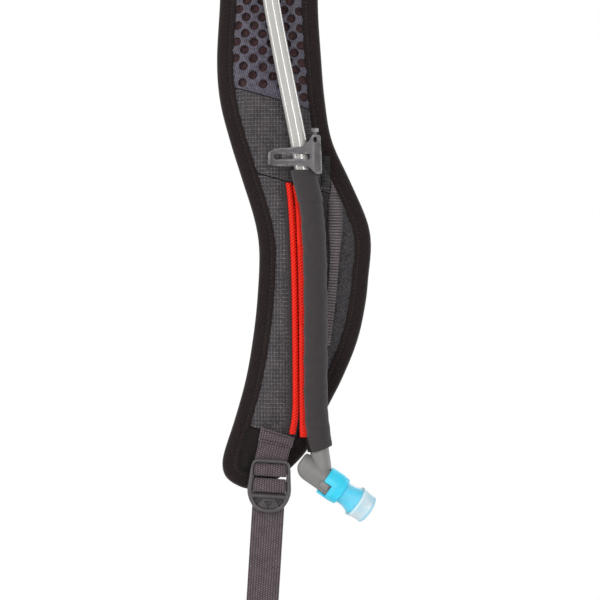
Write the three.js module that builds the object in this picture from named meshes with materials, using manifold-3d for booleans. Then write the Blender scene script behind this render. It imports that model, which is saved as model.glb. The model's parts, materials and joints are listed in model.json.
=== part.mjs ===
// Shoulder strap of a hydration pack, with its drinking hose, bite valve and adjusting webbing.
// Millimetres, +Z up. The strap hangs from its yoke seam at z = 0 and its front faces -Y.
import * as THREE from 'three';
import { mergeVertices } from 'three/addons/utils/BufferGeometryUtils.js';
import Module from 'manifold-3d';

const wasm = await Module();
wasm.setup();

// Fits and clearances
const seatGap = 0.3;
const layerGap = 0.4;
const sweepGap = 0.5;
const cutOverrun = 3;
const wideOpen = 60;

// Padded strap: length along Z, the width that the outline shares follow, and its layers
const strapLength = 435;
const strapWidth = 60;
const bindingWidth = 10;
const bindingTape = 1.2;
const bindingNose = 0.8;
const bindingShoulder = 2.5;
const bindingInset = 1.5;
const edgeThickness = 2.4;
const crownHeight = 5.8;
const crownRise = 8;
const backCrown = 2.6;
const clothThickness = 1;
const backMeshThickness = 1.2;
const seamTabHeight = 16;
const seamTabThickness = 3;
const meshSeamDrop = strapLength * 0.4568;
const lowerSeamDrop = strapLength * 0.5662;
const hemSeamDrop = strapLength * 0.9193;
const seamFall = 0.284;

// Perforated spacer mesh
const meshThickness = 2.4;
const meshHoleRadius = 2.7;
const meshHoleSides = 6;
const meshColumnPitch = 5.9;
const meshRowPitch = 9.9;
const meshHoleMargin = 1.2;
const meshColumnsEachSide = 4;

// Webbing and its ladder-lock buckle
const webbingWidth = 19;
const webbingThickness = 1.3;
const barDepth = 2.6;
const barReach = 0.3;
const barRoundShare = 0.98;
const anchorBarHeight = 4;
const gripBarHeight = 5.2;
const gripBarDrop = 9;
const lowerBarDrop = 15.4;
const lowerBarHeight = 2.6;
const lowerBarRise = 1.1;
const rimBarHeight = 1.8;
const rimBarRise = 5.1;
const buckleRail = 2.6;
const buckleForward = 3.3;
const buckleBackward = 1.6;
const buckleFaceDrop = 0.7;
const buckleEdgeEase = 0.5;
const buckleFloor = 1;
const buckleStep = 0.4;
const buckleDrop = 25.6;
const buckleLean = 3.5;
const buckleAcross = 1.5;
const buckleDropFromSeam = strapLength * 0.9724;
const thumbDimpleRadius = 1.9;
const thumbDimpleDepth = 0.4;
const thumbDimpleStep = 0.9;
const wrapTurnSteps = 12;
const wrapUnderTurn = 100;
const wrapUnderSteps = 8;
const wrapTail = 6;
const tailLift = 0.1;
const tabLean = 10.5;
const tabJoin = 4;
const tabPastPiping = 0.9;
const tabTopSlope = 0.25;
const tabStartGap = 0.4;
const loadLength = 200;
const tailLength = 120;
const anchorEndLength = 25;
const tailHemLength = 18;
const tailHemThickness = 2.9;
const anchorEndThickness = 3.2;

// Hose, sleeve and piping
const hoseRadius = 5;
const hoseBore = 3.2;
const sleeveHalfWidth = 7;
const sleeveHalfDepth = 6.4;
const sleeveFlare = 0.7;
const sleeveFlareHeight = 18;
const cuffExtra = 0.6;
const pipingRadius = 1.85;
const pipingBore = 1;
const magnetRadius = 0.7;
const pipingFootWidth = 2;
const pipingFootThickness = 1;
const pipingWeb = 1.2;
const pipingWebReach = 8;
const pipingWebTurn = 38;
const knuckleRadius = 7.2;
const knuckleTrim = 1.5;
const freeHoseDrop = 42;
const hoseHingeDrops = [0.6083, 0.7172, 0.8276].map((share) => strapLength * share);
const cuffBelowClip = 2.4;
const hoseEndDrop = strapLength * 0.9287;
const sleeveEndDrop = strapLength * 0.9448;

// Rail webbing, elastic loop and hose keeper
const railWidth = 8.4;
const railThickness = 1.3;
const railRib = 0.3;
const railRibPitch = 4.2;
const loopHeight = 18;
const loopWidth = 5;
const loopLeft = 32.2;
const loopThickness = 1.6;
const loopEdgeShare = 0.6;
const loopGathers = 9;
const loopGatherDepth = 0.5;
const keeperHeight = 12;
const keeperBand = 1;
const keeperDrop = 64;
const keeperToe = 7;
const keeperBend = 1.5;

// Hose clip: plate beside the hose, and an arm whose bend is given across and back
const clipTopDrop = strapLength * 0.51126;
const clipWall = 2;
const clipPlateHeight = 23.8;
const clipPlateThickness = 2.4;
const clipArmHeight = 10.8;
const clipArmDrop = 8;
const clipArmReach = 31.8;
const clipArmSink = 3;
const clipSlotHeight = 3.2;
const clipSlotEnd = 3.6;
const clipSlotRoot = 4.6;
const clipFootReach = 9;
const clipMouthDip = 5;
const clipFlare = 4.5;
const clipTopEase = 1;
const clipEyeHalfWidth = 0.9;
const clipEyeHalfHeight = 1.6;
const clipEyeInset = 0.6;
const clipEyeDrop = 4.2;
const knobBack = 8;
const knobFront = 5;
const knobNeckInset = 0.4;
const knobNeckWidth = 1.6;
const knobNeckHeight = 1.6;
const knobBarReach = 3.4;
const knobBarWidth = 5.6;
const knobBarHeight = 2.6;
const knobOverlap = 0.6;
const armRootBend = [[0, 3.4], [-0.9, 1.2], [-3, 0.1]];
const armMouthBend = [[-7.8, 0.3], [-14, 0.82]];
const armLipBend = [[2.4, 1], [1.2, 0.8], [1, 0.5]];

// Elbow, twist collar and bite valve
const elbowRadius = 7.2;
const elbowLength = 19;
const elbowAside = 4.82;
const elbowFall = 18.3;
const outletFall = 35;
const elbowBore = 4.2;
const elbowBoreFloor = 3;
const inletRadius = 5.55;
const inletReach = 22;
const inletBoreReach = 20;
const spigotRadius = 2.85;
const spigotBore = 1.6;
const spigotLength = 12;
const stopTurn = 18;
const stopWidth = 3.5;
const stopLength = 5;
const stopRise = 1.2;
const stopRoot = 1;
const stopLead = 1.6;
const twistTravel = 60;
const notchMargin = 15;
const notchFloor = 0.4;
const stemRadius = 3.9;
const stemBore = 1.9;
const stemStart = 10;
const ringGroove = 1;
const ringWidth = 1.8;
const ringEnd = 15.8;
const ringRadius = 0.42;
const ringSquash = 0.2;
const collarRadius = 9;
const collarSkirt = 13;
const collarStart = 12;
const collarFlat = 9;
const collarStep = 0.6;
const collarNose = 1.8;
const valveSpigotRadius = 5.2;
const valveSpigotBead = 0.3;
const valveTipRadius = 8.7;
const valveReach = 41.6;
const valveWall = 7.6;
const valveSeat = 5.9;
const valveCavity = 5;
const valveCavityEnd = 1.3;
const slitWidth = 0.4;
const slitLength = 7.2;
const slitDepth = 3;

// Put-away end of the hose: over the yoke, then one hank held by a tie
const archRadius = 36;
const archBase = -10;
const archStartAcross = 2.4;
const archEndAcross = -1.5;
const hankDepth = 50;
const hankMiddle = 3;
const hankHalfGap = 6.5;
const hankFold = 30;
const waistTop = -42;
const plugRise = 10;
const plugSeat = 11;
const tieHeight = 14;
const tieBand = 1.2;
const tieInset = 1;

// Outline of the padded strap as shares: down its length, across its width
const leftEdgeShares = [
  [0, -0.417], [0.159, -0.45], [0.324, -0.485], [0.407, -0.515], [0.462, -0.485],
  [0.517, -0.385], [0.572, -0.26], [0.628, -0.135], [0.669, -0.09], [0.738, -0.11],
  [0.793, -0.155], [0.848, -0.225], [0.903, -0.335], [0.955, -0.455], [0.972, -0.46],
  [0.987, -0.41], [1, -0.24],
];
const rightEdgeShares = [
  [0, 0.55], [0.159, 0.517], [0.324, 0.5], [0.407, 0.535], [0.462, 0.57], [0.517, 0.64],
  [0.572, 0.82], [0.628, 0.995], [0.66, 1.035], [0.71, 1.005], [0.738, 0.985],
  [0.793, 0.9], [0.848, 0.74], [0.892, 0.577], [0.945, 0.398], [0.971, 0.227],
  [0.989, 0.07], [1, -0.08],
];

// Lines that run down the strap, as shares: down its length, across its width
const hoseRun = [
  [0, 0.05], [0.046, 0.0267], [0.0966, -0.0067], [0.1494, -0.03], [0.2184, -0.0333],
  [0.2759, -0.01], [0.3241, 0.03], [0.4069, 0.14], [0.4621, 0.22], [0.5172, 0.3],
  [0.56, 0.35], [0.6083, 0.43], [0.669, 0.465], [0.7172, 0.4733], [0.7724, 0.4767],
  [0.8276, 0.4767], [0.8851, 0.4817], [0.9448, 0.515],
];
const pipingRun = [
  [0.5766, 0.205], [0.6023, 0.2267], [0.6552, 0.25], [0.7379, 0.2667], [0.8759, 0.275],
  [0.9011, 0.265], [0.9228, 0.2383],
];
const sleevePipingRun = [
  [0.5793, 0.27], [0.6083, 0.3], [0.6552, 0.3183], [0.7379, 0.335], [0.8759, 0.3433],
  [0.9264, 0.3467],
];
const railRun = [[0.5816, 0.6733], [0.6552, 0.67], [0.7241, 0.64], [0.8, 0.5767]];

// Lift of the sleeve's piping, from the panel at the cuff to clear of the rail below it
const sleevePipingLift = [[0.5793, 0], [0.61, 0.05], [0.65, 0.6], [0.69, 1], [0.8, 1], [0.9264, 1]];

// Profiles about an axis: shares of a radius and of a length along the axis
const barrelBarbs = [[0, 1], [0.85, 1], [1, 0.82], [0.88, 0.6], [1, 0.45], [0.88, 0.2]];
const barrelCone = [[0.9, 0], [0.95, 0.18], [1, 0.36], [1.08, 0.64], [1.12, 0.82], [0.9, 1]];
const valveOutside = [
  [1.3, 0], [0.4, 0.1], [0.4, 0.295], [1.1, 0.344], [1, 0.387], [0.7, 0.472], [1.3, 0.626],
  [0.5, 0.779], [0, 0.89], [0.3, 0.97], [1.3, 1],
];
const plugProfile = [
  [1.6, -10], [2.5, -10], [2.85, -8.6], [2.5, -6.4], [2.85, -5], [2.5, -2.6], [2.5, 0], [6, 0],
  [6, 5], [4.6, 6.5], [4.6, 9], [6.2, 9.6], [6.2, 11], [4.4, 11.6], [4.4, 16], [3.6, 16.4],
  [3.6, 18.4], [4.4, 18.8], [4.4, 22.5], [3.6, 24], [1.6, 24], [1.6, -10],
];

const runTop = (run) => strapLength * run[0][0];
const runEnd = (run) => strapLength * run.at(-1)[0];
const pipingTopDrop = runTop(pipingRun);
const pipingEndDrop = runEnd(pipingRun);
const sleevePipingTopDrop = runTop(sleevePipingRun);
const sleevePipingEndDrop = runEnd(sleevePipingRun);
const clipArmTop = -clipTopDrop - clipArmDrop;
const clipArmBottom = clipArmTop - clipArmHeight;
const cuffTopDrop = -clipArmBottom + cuffBelowClip;
const railTopDrop = runTop(railRun);
const railEndDrop = runEnd(railRun);

const degree = Math.PI / 180;

// Smooth curve through hand-chosen pairs, as a function of the first number
function smoothThrough(points) {
  const last = points.length - 1;
  const slopes = points.map((point, i) => {
    const before = points[Math.max(i - 1, 0)];
    const after = points[Math.min(i + 1, last)];
    return (after[1] - before[1]) / (after[0] - before[0]);
  });
  return (t) => {
    let i = 0;
    while (i < last - 1 && t > points[i + 1][0]) i += 1;
    const span = points[i + 1][0] - points[i][0];
    const s = Math.min(Math.max((t - points[i][0]) / span, 0), 1);
    const s2 = s * s;
    const s3 = s2 * s;
    return (2 * s3 - 3 * s2 + 1) * points[i][1] + (s3 - 2 * s2 + s) * span * slopes[i]
      + (3 * s2 - 2 * s3) * points[i + 1][1] + (s3 - s2) * span * slopes[i + 1];
  };
}

// Place across in millimetres of a line given in shares of the strap
function acrossAt(run) {
  const share = smoothThrough(run);
  return (z) => share(-z / strapLength) * strapWidth;
}

const leftEdge = acrossAt(leftEdgeShares);
const rightEdge = acrossAt(rightEdgeShares);
const hoseX = acrossAt(hoseRun);
const pipingX = acrossAt(pipingRun);
const sleevePipingX = acrossAt(sleevePipingRun);
const railX = acrossAt(railRun);

const slopeStep = strapLength / 400;

// How far an edge line runs sideways for each millimetre square to it
function slant(edge, z) {
  const step = slopeStep;
  const top = Math.min(z + step, 0);
  const bottom = Math.max(z - step, -strapLength);
  return Math.hypot(1, (edge(top) - edge(bottom)) / (top - bottom));
}

// Height of the padding over its pinched edge, as a share from 0 to 1
function rise(x, z) {
  const fromLeft = (x - leftEdge(z)) / slant(leftEdge, z);
  const fromRight = (rightEdge(z) - x) / slant(rightEdge, z);
  const fromTop = -z - seamTabHeight + bindingWidth;
  const fromBottom = z + strapLength;
  const inward = Math.min(fromLeft, fromRight, fromTop, fromBottom) - clothEdge;
  const share = Math.min(Math.max(inward / crownRise, 0), 1);
  return Math.sin(share * Math.PI / 2);
}

const foamFront = (x, z) => edgeThickness / 2 + crownHeight * rise(x, z);
const foamBack = (x, z) => edgeThickness / 2 + backCrown * rise(x, z);
const strapFront = edgeThickness / 2 + crownHeight + layerGap + clothThickness;
const meshFront = edgeThickness / 2 + crownHeight + layerGap + meshThickness;
const railFront = strapFront + layerGap + railThickness + railRib;
const hoseDepth = railFront + sweepGap + sleeveHalfDepth;

// Closed geometry from points and triangles, turned so that its faces point out
function closedGeometry(points, triangles) {
  let volume = 0;
  for (const [a, b, c] of triangles) {
    volume += points[a].dot(new THREE.Vector3().crossVectors(points[b], points[c]));
  }
  const index = triangles.flatMap(([a, b, c]) => (volume > 0 ? [a, b, c] : [a, c, b]));
  const geometry = new THREE.BufferGeometry();
  const numbers = points.flatMap((point) => point.toArray());
  geometry.setAttribute('position', new THREE.Float32BufferAttribute(numbers, 3));
  geometry.setIndex(index);
  return geometry;
}

function solidOf(geometry) {
  const bare = geometry.clone();
  bare.deleteAttribute('normal');
  bare.deleteAttribute('uv');
  const merged = mergeVertices(bare, 1e-4);
  return new wasm.Manifold(new wasm.Mesh({
    numProp: 3,
    vertProperties: new Float32Array(merged.attributes.position.array),
    triVerts: new Uint32Array(merged.index.array),
  }));
}

function geometryOf(solid) {
  const mesh = solid.getMesh();
  const geometry = new THREE.BufferGeometry();
  geometry.setAttribute('position', new THREE.Float32BufferAttribute(mesh.vertProperties, 3));
  geometry.setIndex(Array.from(mesh.triVerts));
  return geometry;
}

const strap = new THREE.Group();
strap.name = 'hydration_pack_shoulder_strap';

function material(color, roughness, metalness = 0) {
  return new THREE.MeshStandardMaterial({ color, roughness, metalness });
}

function addPart(name, shape, finish, parent = strap) {
  const geometry = shape.isBufferGeometry ? shape : geometryOf(shape);
  geometry.computeVertexNormals();
  const mesh = new THREE.Mesh(geometry, finish.clone());
  mesh.name = name;
  parent.add(mesh);
  return mesh;
}

const finishes = {
  binding: material('#332a2b', 0.9),
  spacerMesh: material('#58525c', 0.95),
  ripstop: material('#4c484c', 0.85),
  stretch: material('#3c3a3a', 0.9),
  foam: material('#3a3a3c', 0.95),
  backMesh: material('#2c2a2c', 0.95),
  webbing: material('#5b4f53', 0.85),
  hose: material('#c3c2be', 0.25),
  sleeve: material('#464445', 0.8),
  piping: material('#ec3726', 0.7),
  magnet: material('#3a3c40', 0.4, 0.9),
  clip: material('#676566', 0.5),
  elbow: material('#8b8886', 0.45),
  collar: material('#49d4f0', 0.4),
  silicone: material('#bfe3ee', 0.35),
  seal: material('#222222', 0.6),
};

// A cloth-like solid between columns x(z); seams may slant, so each column has its own ends
function clothSolid({ columns, top, bottom, rowShares, front, back }) {
  const heights = columns.map((column) => {
    let high = top(column(top(0)));
    let low = bottom(column(bottom(0)));
    for (let pass = 0; pass < 4; pass += 1) {
      high = top(column(high));
      low = bottom(column(low));
    }
    return [high, low];
  });
  const points = [];
  const across = columns.length;
  const down = rowShares.length;
  for (const side of [front, back]) {
    for (let r = 0; r < down; r += 1) {
      for (let c = 0; c < across; c += 1) {
        const z = THREE.MathUtils.lerp(heights[c][0], heights[c][1], rowShares[r]);
        const x = columns[c](z);
        points.push(new THREE.Vector3(x, side(x, z, c, r), z));
      }
    }
  }
  const at = (side, r, c) => (side * down + r) * across + c;
  const triangles = [];
  const quad = (a, b, c, d) => triangles.push([a, b, c], [a, c, d]);
  for (let r = 0; r < down - 1; r += 1) {
    for (let c = 0; c < across - 1; c += 1) {
      quad(at(0, r, c), at(0, r + 1, c), at(0, r + 1, c + 1), at(0, r, c + 1));
      quad(at(1, r, c), at(1, r, c + 1), at(1, r + 1, c + 1), at(1, r + 1, c));
    }
  }
  for (let r = 0; r < down - 1; r += 1) {
    quad(at(0, r, 0), at(1, r, 0), at(1, r + 1, 0), at(0, r + 1, 0));
    const edge = across - 1;
    quad(at(0, r, edge), at(0, r + 1, edge), at(1, r + 1, edge), at(1, r, edge));
  }
  for (let c = 0; c < across - 1; c += 1) {
    quad(at(0, 0, c), at(0, 0, c + 1), at(1, 0, c + 1), at(1, 0, c));
    const edge = down - 1;
    quad(at(0, edge, c), at(1, edge, c), at(1, edge, c + 1), at(0, edge, c + 1));
  }
  return closedGeometry(points, triangles);
}

// Columns at set distances from both edges, drawn together where the strap is narrow
function columnsAcross(distances) {
  const deepest = Math.max(distances[distances.length - 1], clothEdge);
  const edgeRoomShare = 0.95;
  const innerRoomShare = 0.92;
  const place = (z, d) => {
    const half = (rightEdge(z) - leftEdge(z)) / 2;
    const steepest = Math.max(slant(leftEdge, z), slant(rightEdge, z));
    const outer = Math.min(1, half * edgeRoomShare / (clothEdge * steepest));
    const room = Math.max(half * innerRoomShare / steepest - clothEdge * outer, 0);
    const inner = Math.min(outer, room / (deepest - clothEdge));
    return d <= clothEdge ? d * outer : clothEdge * outer + (d - clothEdge) * inner;
  };
  const fromLeft = distances.map((d) => (z) => leftEdge(z) + place(z, d) * slant(leftEdge, z));
  const fromRight = distances.map((d) => (z) => rightEdge(z) - place(z, d) * slant(rightEdge, z));
  const middle = (z) => (fromLeft.at(-1)(z) + fromRight.at(-1)(z)) / 2;
  return { fromLeft, fromRight, all: [...fromLeft, middle, ...[...fromRight].reverse()] };
}

function evenShares(count) {
  return Array.from({ length: count + 1 }, (_, i) => i / count);
}

const level = (z) => () => z;
const slantedSeam = (drop) => (x) => -drop - x * seamFall;
const meshSeam = slantedSeam(meshSeamDrop);
const lowerSeam = slantedSeam(lowerSeamDrop);
const hemSeam = slantedSeam(hemSeamDrop);
const faceTopDrop = seamTabHeight + seatGap;

const clothEdge = bindingWidth + seatGap;
const riseStops = [0.25, 0.55, 1].map((share) => clothEdge + crownRise * share);
const innerDistances = [clothEdge, ...riseStops];
const innerColumns = columnsAcross(innerDistances);
const foamColumns = columnsAcross([bindingInset + seatGap, ...innerDistances]);

// Row shares between two heights: even steps, with closer rows where the padding rises
function strapRows(top, bottom) {
  const steps = 20;
  const closeStops = [0, 0.2, 0.45, 0.7, 1].map((share) => crownRise * share);
  const first = closeStops.map((stop) => -seamTabHeight - seatGap - stop);
  const last = closeStops.map((stop) => -strapLength + clothEdge + stop);
  const between = evenShares(steps).map((share) => (
    THREE.MathUtils.lerp(first.at(-1), last.at(-1), share)));
  const heights = [top, ...first, ...between, ...last, bottom]
    .filter((z) => z <= top && z >= bottom);
  const unique = [...new Set(heights.map((z) => (top - z) / (top - bottom)))].sort((a, b) => a - b);
  return unique.filter((share, i) => i === 0 || share - unique[i - 1] > 1e-3);
}

// Padded strap: foam, bound edge, face panels and back panel
function buildFoam() {
  const top = -seamTabHeight - seatGap;
  const bottom = -strapLength + bindingInset + seatGap;
  return clothSolid({
    columns: foamColumns.all,
    top: level(top),
    bottom: level(bottom),
    rowShares: strapRows(top, bottom),
    front: (x, z) => -foamFront(x, z),
    back: (x, z) => foamBack(x, z),
  });
}

function buildBinding() {
  const half = edgeThickness / 2 + seatGap + bindingTape;
  const distances = [0, bindingNose, bindingShoulder];
  const halves = [edgeThickness / 2, half - bindingTape / 2, half, half];
  const halfAt = (c) => halves[Math.min(c, distances.length * 2 - c)];
  const slotHalf = edgeThickness / 2 + seatGap;
  const ring = (stops, top, bottom, halfDepth) => solidOf(clothSolid({
    columns: columnsAcross(stops).all,
    top: level(top),
    bottom: level(bottom),
    rowShares: strapRows(top, bottom),
    front: (x, z, c) => -halfDepth(c),
    back: (x, z, c) => halfDepth(c),
  }));
  const open = -seamTabHeight + cutOverrun;
  const outer = ring(distances, -seamTabHeight - seatGap, -strapLength, halfAt);
  const slot = ring([bindingInset, bindingWidth], open, -strapLength + bindingInset, () => slotHalf);
  const inside = ring([bindingWidth], open, -strapLength + bindingWidth, () => half + cutOverrun);
  return outer.subtract(slot).subtract(inside);
}

function prismAlongY(shape, forward, backward) {
  const depth = forward - backward;
  const geometry = new THREE.ExtrudeGeometry(shape, { depth, bevelEnabled: false });
  geometry.rotateX(Math.PI / 2);
  geometry.translate(0, -backward, 0);
  return geometry;
}

function polygonShape(count, radiusX, radiusY, x = 0, y = 0, turn = 0) {
  const corners = Array.from({ length: count }, (_, i) => {
    const angle = turn + i * 2 * Math.PI / count;
    return new THREE.Vector2(x + radiusX * Math.cos(angle), y + radiusY * Math.sin(angle));
  });
  return new THREE.Shape(corners);
}

function boxShape(left, low, right, high) {
  return new THREE.Shape([
    new THREE.Vector2(left, low), new THREE.Vector2(right, low),
    new THREE.Vector2(right, high), new THREE.Vector2(left, high),
  ]);
}

// The face is one sheet on the foam's own rows, cut into its panels along the seams
function faceSheet(thickness) {
  const bottom = -strapLength + clothEdge;
  return solidOf(clothSolid({
    columns: innerColumns.all,
    top: level(-faceTopDrop),
    bottom: level(bottom),
    rowShares: strapRows(-faceTopDrop, bottom),
    front: (x, z) => -foamFront(x, z) - layerGap - thickness,
    back: (x, z) => -foamFront(x, z) - layerGap,
  }));
}

function region(corners) {
  const shape = new THREE.Shape(corners.map(([x, z]) => new THREE.Vector2(x, z)));
  return solidOf(prismAlongY(shape, wideOpen, 0));
}

const seamLine = (z) => pipingX(Math.max(Math.min(z, -pipingTopDrop), -pipingEndDrop));
const outerLeft = -strapWidth;
const outerRight = strapWidth * 2;
const acrossSeam = (seam, gap) => [outerRight, outerLeft].map((x) => [x, seam(x) - gap]);
const downSeamSteps = 12;
const downSeam = (offset) => evenShares(downSeamSteps).map((share) => {
  const high = lowerSeam(seamLine(-lowerSeamDrop));
  const low = hemSeam(seamLine(-hemSeamDrop));
  const z = THREE.MathUtils.lerp(high, low, share);
  return [seamLine(z) + offset, z];
});
const thinSheet = faceSheet(clothThickness);
const aboveLowerSeam = region([
  ...acrossSeam(lowerSeam, seatGap), [outerLeft, 0], [outerRight, 0],
]);

function buildSpacerMesh() {
  const top = [[outerLeft, 0], [outerRight, 0]];
  const plate = faceSheet(meshThickness).intersect(region([...top, ...acrossSeam(meshSeam, 0)]));
  const middle = (leftEdge(-strapLength / 4) + rightEdge(-strapLength / 4)) / 2;
  const reach = meshHoleRadius + meshHoleMargin;
  let holes = null;
  for (let column = -meshColumnsEachSide; column <= meshColumnsEachSide; column += 1) {
    const x = middle + column * meshColumnPitch;
    const offset = column % 2 === 0 ? 0 : meshRowPitch / 2;
    for (let z = -faceTopDrop - reach - offset; z > meshSeam(x) + reach; z -= meshRowPitch) {
      const insideLeft = x - reach > leftEdge(z) + clothEdge * slant(leftEdge, z);
      const insideRight = x + reach < rightEdge(z) - clothEdge * slant(rightEdge, z);
      if (insideLeft && insideRight) {
        const outline = polygonShape(meshHoleSides, meshHoleRadius, meshHoleRadius, x, z);
        const cutter = solidOf(prismAlongY(outline, meshFront + cutOverrun, edgeThickness / 2));
        holes = holes ? holes.add(cutter) : cutter;
      }
    }
  }
  return plate.subtract(holes);
}

// Band of even thickness along a flat path, as an outline
function bandShape(path, thickness) {
  const sides = [[], []];
  path.forEach((point, i) => {
    const before = path[Math.max(i - 1, 0)];
    const after = path[Math.min(i + 1, path.length - 1)];
    const way = new THREE.Vector2(after[0] - before[0], after[1] - before[1]).normalize();
    const normal = new THREE.Vector2(-way.y, way.x).multiplyScalar(thickness / 2);
    sides[0].push(new THREE.Vector2(point[0] + normal.x, point[1] + normal.y));
    sides[1].push(new THREE.Vector2(point[0] - normal.x, point[1] - normal.y));
  });
  return new THREE.Shape([...sides[0], ...sides[1].reverse()]);
}

function arcPath(x, y, radius, from, to, steps) {
  return evenShares(steps).map((share) => {
    const angle = THREE.MathUtils.lerp(from, to, share) * degree;
    return [x + radius * Math.cos(angle), y + radius * Math.sin(angle)];
  });
}

// Extrusion of an outline drawn as (forward, up), running along X
function extrudeAlongX(shape, width, curveSegments) {
  const geometry = new THREE.ExtrudeGeometry(shape, {
    depth: width, bevelEnabled: false, curveSegments,
  });
  geometry.translate(0, 0, -width / 2);
  return geometry.applyMatrix4(new THREE.Matrix4().makeBasis(
    new THREE.Vector3(0, -1, 0), new THREE.Vector3(0, 0, 1), new THREE.Vector3(-1, 0, 0),
  ));
}

// Extrusion of an outline drawn as (across, forward), running along Z
function prismAlongZ(shape, high, low) {
  const geometry = new THREE.ExtrudeGeometry(shape, { depth: high - low, bevelEnabled: false });
  geometry.applyMatrix4(new THREE.Matrix4().makeBasis(
    new THREE.Vector3(1, 0, 0), new THREE.Vector3(0, -1, 0), new THREE.Vector3(0, 0, -1),
  ));
  return geometry.translate(0, 0, high);
}

// Section (across, forward) carried down a line that lies in a plane of even depth
function sweepDown({ outer, inner, lineX, depth, top, bottom, rows, swell = () => 1 }) {
  const depthAt = typeof depth === 'function' ? depth : () => depth;
  const loops = inner ? [outer, inner] : [outer];
  const points = [];
  for (let r = 0; r <= rows; r += 1) {
    const z = THREE.MathUtils.lerp(top, bottom, r / rows);
    const sideways = lineX(z - slopeStep) - lineX(z + slopeStep);
    const way = new THREE.Vector3(sideways, 0, -2 * slopeStep).normalize();
    const across = new THREE.Vector3(-way.z, 0, way.x);
    for (const loop of loops) {
      for (const corner of loop) {
        const reach = corner.x * swell(z);
        const y = -depthAt(z) - corner.y * swell(z);
        points.push(new THREE.Vector3(lineX(z) + across.x * reach, y, z + across.z * reach));
      }
    }
  }
  const size = loops.reduce((sum, loop) => sum + loop.length, 0);
  const triangles = [];
  for (let r = 0; r < rows; r += 1) {
    let start = 0;
    loops.forEach((loop, which) => {
      for (let i = 0; i < loop.length; i += 1) {
        const next = (i + 1) % loop.length;
        const a = r * size + start + i;
        const b = r * size + start + next;
        const c = a + size;
        const d = b + size;
        if (which === 0) triangles.push([a, c, b], [b, c, d]);
        else triangles.push([a, b, c], [b, d, c]);
      }
      start += loop.length;
    });
  }
  for (const [a, b, c] of THREE.ShapeUtils.triangulateShape(outer, inner ? [inner] : [])) {
    triangles.push([a, b, c]);
    triangles.push([rows * size + a, rows * size + c, rows * size + b]);
  }
  return closedGeometry(points, triangles);
}

function ovalLoop(halfWidth, halfDepth, sides) {
  const shape = polygonShape(sides, halfWidth, halfDepth, 0, 0, Math.PI / sides);
  return shape.getPoints().slice(0, sides);
}

// Padded strap: foam, bound edge, face panels and back panel
addPart('foam_core', buildFoam(), finishes.foam);
addPart('edge_binding', buildBinding(), finishes.binding);
addPart('top_spacer_mesh', buildSpacerMesh(), finishes.spacerMesh);
addPart('upper_ripstop_panel', thinSheet.intersect(region([
  ...acrossSeam(meshSeam, seatGap).reverse(), ...acrossSeam(lowerSeam, 0),
])), finishes.ripstop);
addPart('lower_ripstop_panel', thinSheet.intersect(region([
  [outerLeft, lowerSeam(outerLeft) - seatGap], ...downSeam(-seatGap / 2).slice(1),
  [outerLeft, hemSeam(outerLeft)],
])).subtract(aboveLowerSeam), finishes.ripstop);
addPart('side_stretch_panel', thinSheet.intersect(region([
  ...downSeam(seatGap / 2).reverse(), [outerRight, lowerSeam(outerRight)],
  [outerRight, hemSeam(outerRight)],
])).subtract(aboveLowerSeam), finishes.stretch);
addPart('bottom_reinforcement', thinSheet.intersect(region([
  ...acrossSeam(hemSeam, seatGap).reverse(),
  [outerRight, -strapLength - wideOpen], [outerLeft, -strapLength - wideOpen],
])), finishes.binding);

addPart('back_mesh_panel', clothSolid({
  columns: innerColumns.all,
  top: level(-faceTopDrop),
  bottom: level(-strapLength + clothEdge),
  rowShares: strapRows(-faceTopDrop, -strapLength + clothEdge),
  front: (x, z) => foamBack(x, z) + layerGap,
  back: (x, z) => foamBack(x, z) + layerGap + backMeshThickness,
}), finishes.backMesh);

function buildSeamTab() {
  const corners = [[leftEdge(0), 0], [rightEdge(0), 0],
    [rightEdge(-seamTabHeight), -seamTabHeight], [leftEdge(-seamTabHeight), -seamTabHeight]];
  const shape = new THREE.Shape(corners.map(([x, z]) => new THREE.Vector2(x, z)));
  return prismAlongY(shape, seamTabThickness / 2, -seamTabThickness / 2);
}
addPart('yoke_seam_tab', buildSeamTab(), finishes.binding);

// Rail webbing sewn down in short steps
function buildRail() {
  const rows = Math.round((railEndDrop - railTopDrop) / (railRibPitch / 2));
  const ribAt = (r) => (r % 2 === 0 ? 0 : railRib);
  const lift = layerGap + clothThickness + layerGap;
  const column = (share) => (z) => railX(z) + share * railWidth;
  return clothSolid({
    columns: [-0.5, -0.25, 0, 0.25, 0.5].map(column),
    top: level(-railTopDrop),
    bottom: level(-railEndDrop),
    rowShares: evenShares(rows),
    front: (x, z, c, r) => -foamFront(x, z) - lift - railThickness - ribAt(r),
    back: (x, z) => -foamFront(x, z) - lift,
  });
}
addPart('rail_webbing', buildRail(), finishes.webbing);

// Gathered elastic that ties the clip to the strap, just above the rail
const loopTopDrop = railTopDrop - sweepGap - loopHeight;
function buildElasticLoop() {
  const lift = layerGap + clothThickness + layerGap;
  const shares = [0, 0.25, 0.5, 0.75, 1];
  return clothSolid({
    columns: shares.map((share) => () => loopLeft + share * loopWidth),
    top: level(-loopTopDrop),
    bottom: level(-loopTopDrop - loopHeight),
    rowShares: evenShares(loopGathers * 2),
    front: (x, z, c, r) => {
      const bow = Math.sin(shares[c] * Math.PI);
      const body = loopThickness * (loopEdgeShare + (1 - loopEdgeShare) * bow);
      return -foamFront(x, z) - lift - body - (r % 2) * loopGatherDepth * bow;
    },
    back: (x, z) => -foamFront(x, z) - lift,
  });
}
addPart('elastic_loop', buildElasticLoop(), finishes.stretch);

// Piping with a flat foot on the strap, and the magnet cord inside it
const beadBore = ovalLoop(pipingBore, pipingBore, 8);
const magnetLoop = ovalLoop(magnetRadius, magnetRadius, 6);
const beadPoint = (angle) => new THREE.Vector2(pipingRadius, 0)
  .rotateAround(new THREE.Vector2(), angle * degree);
const panelTop = (x, z) => foamFront(x, z) + layerGap + clothThickness;

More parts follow.
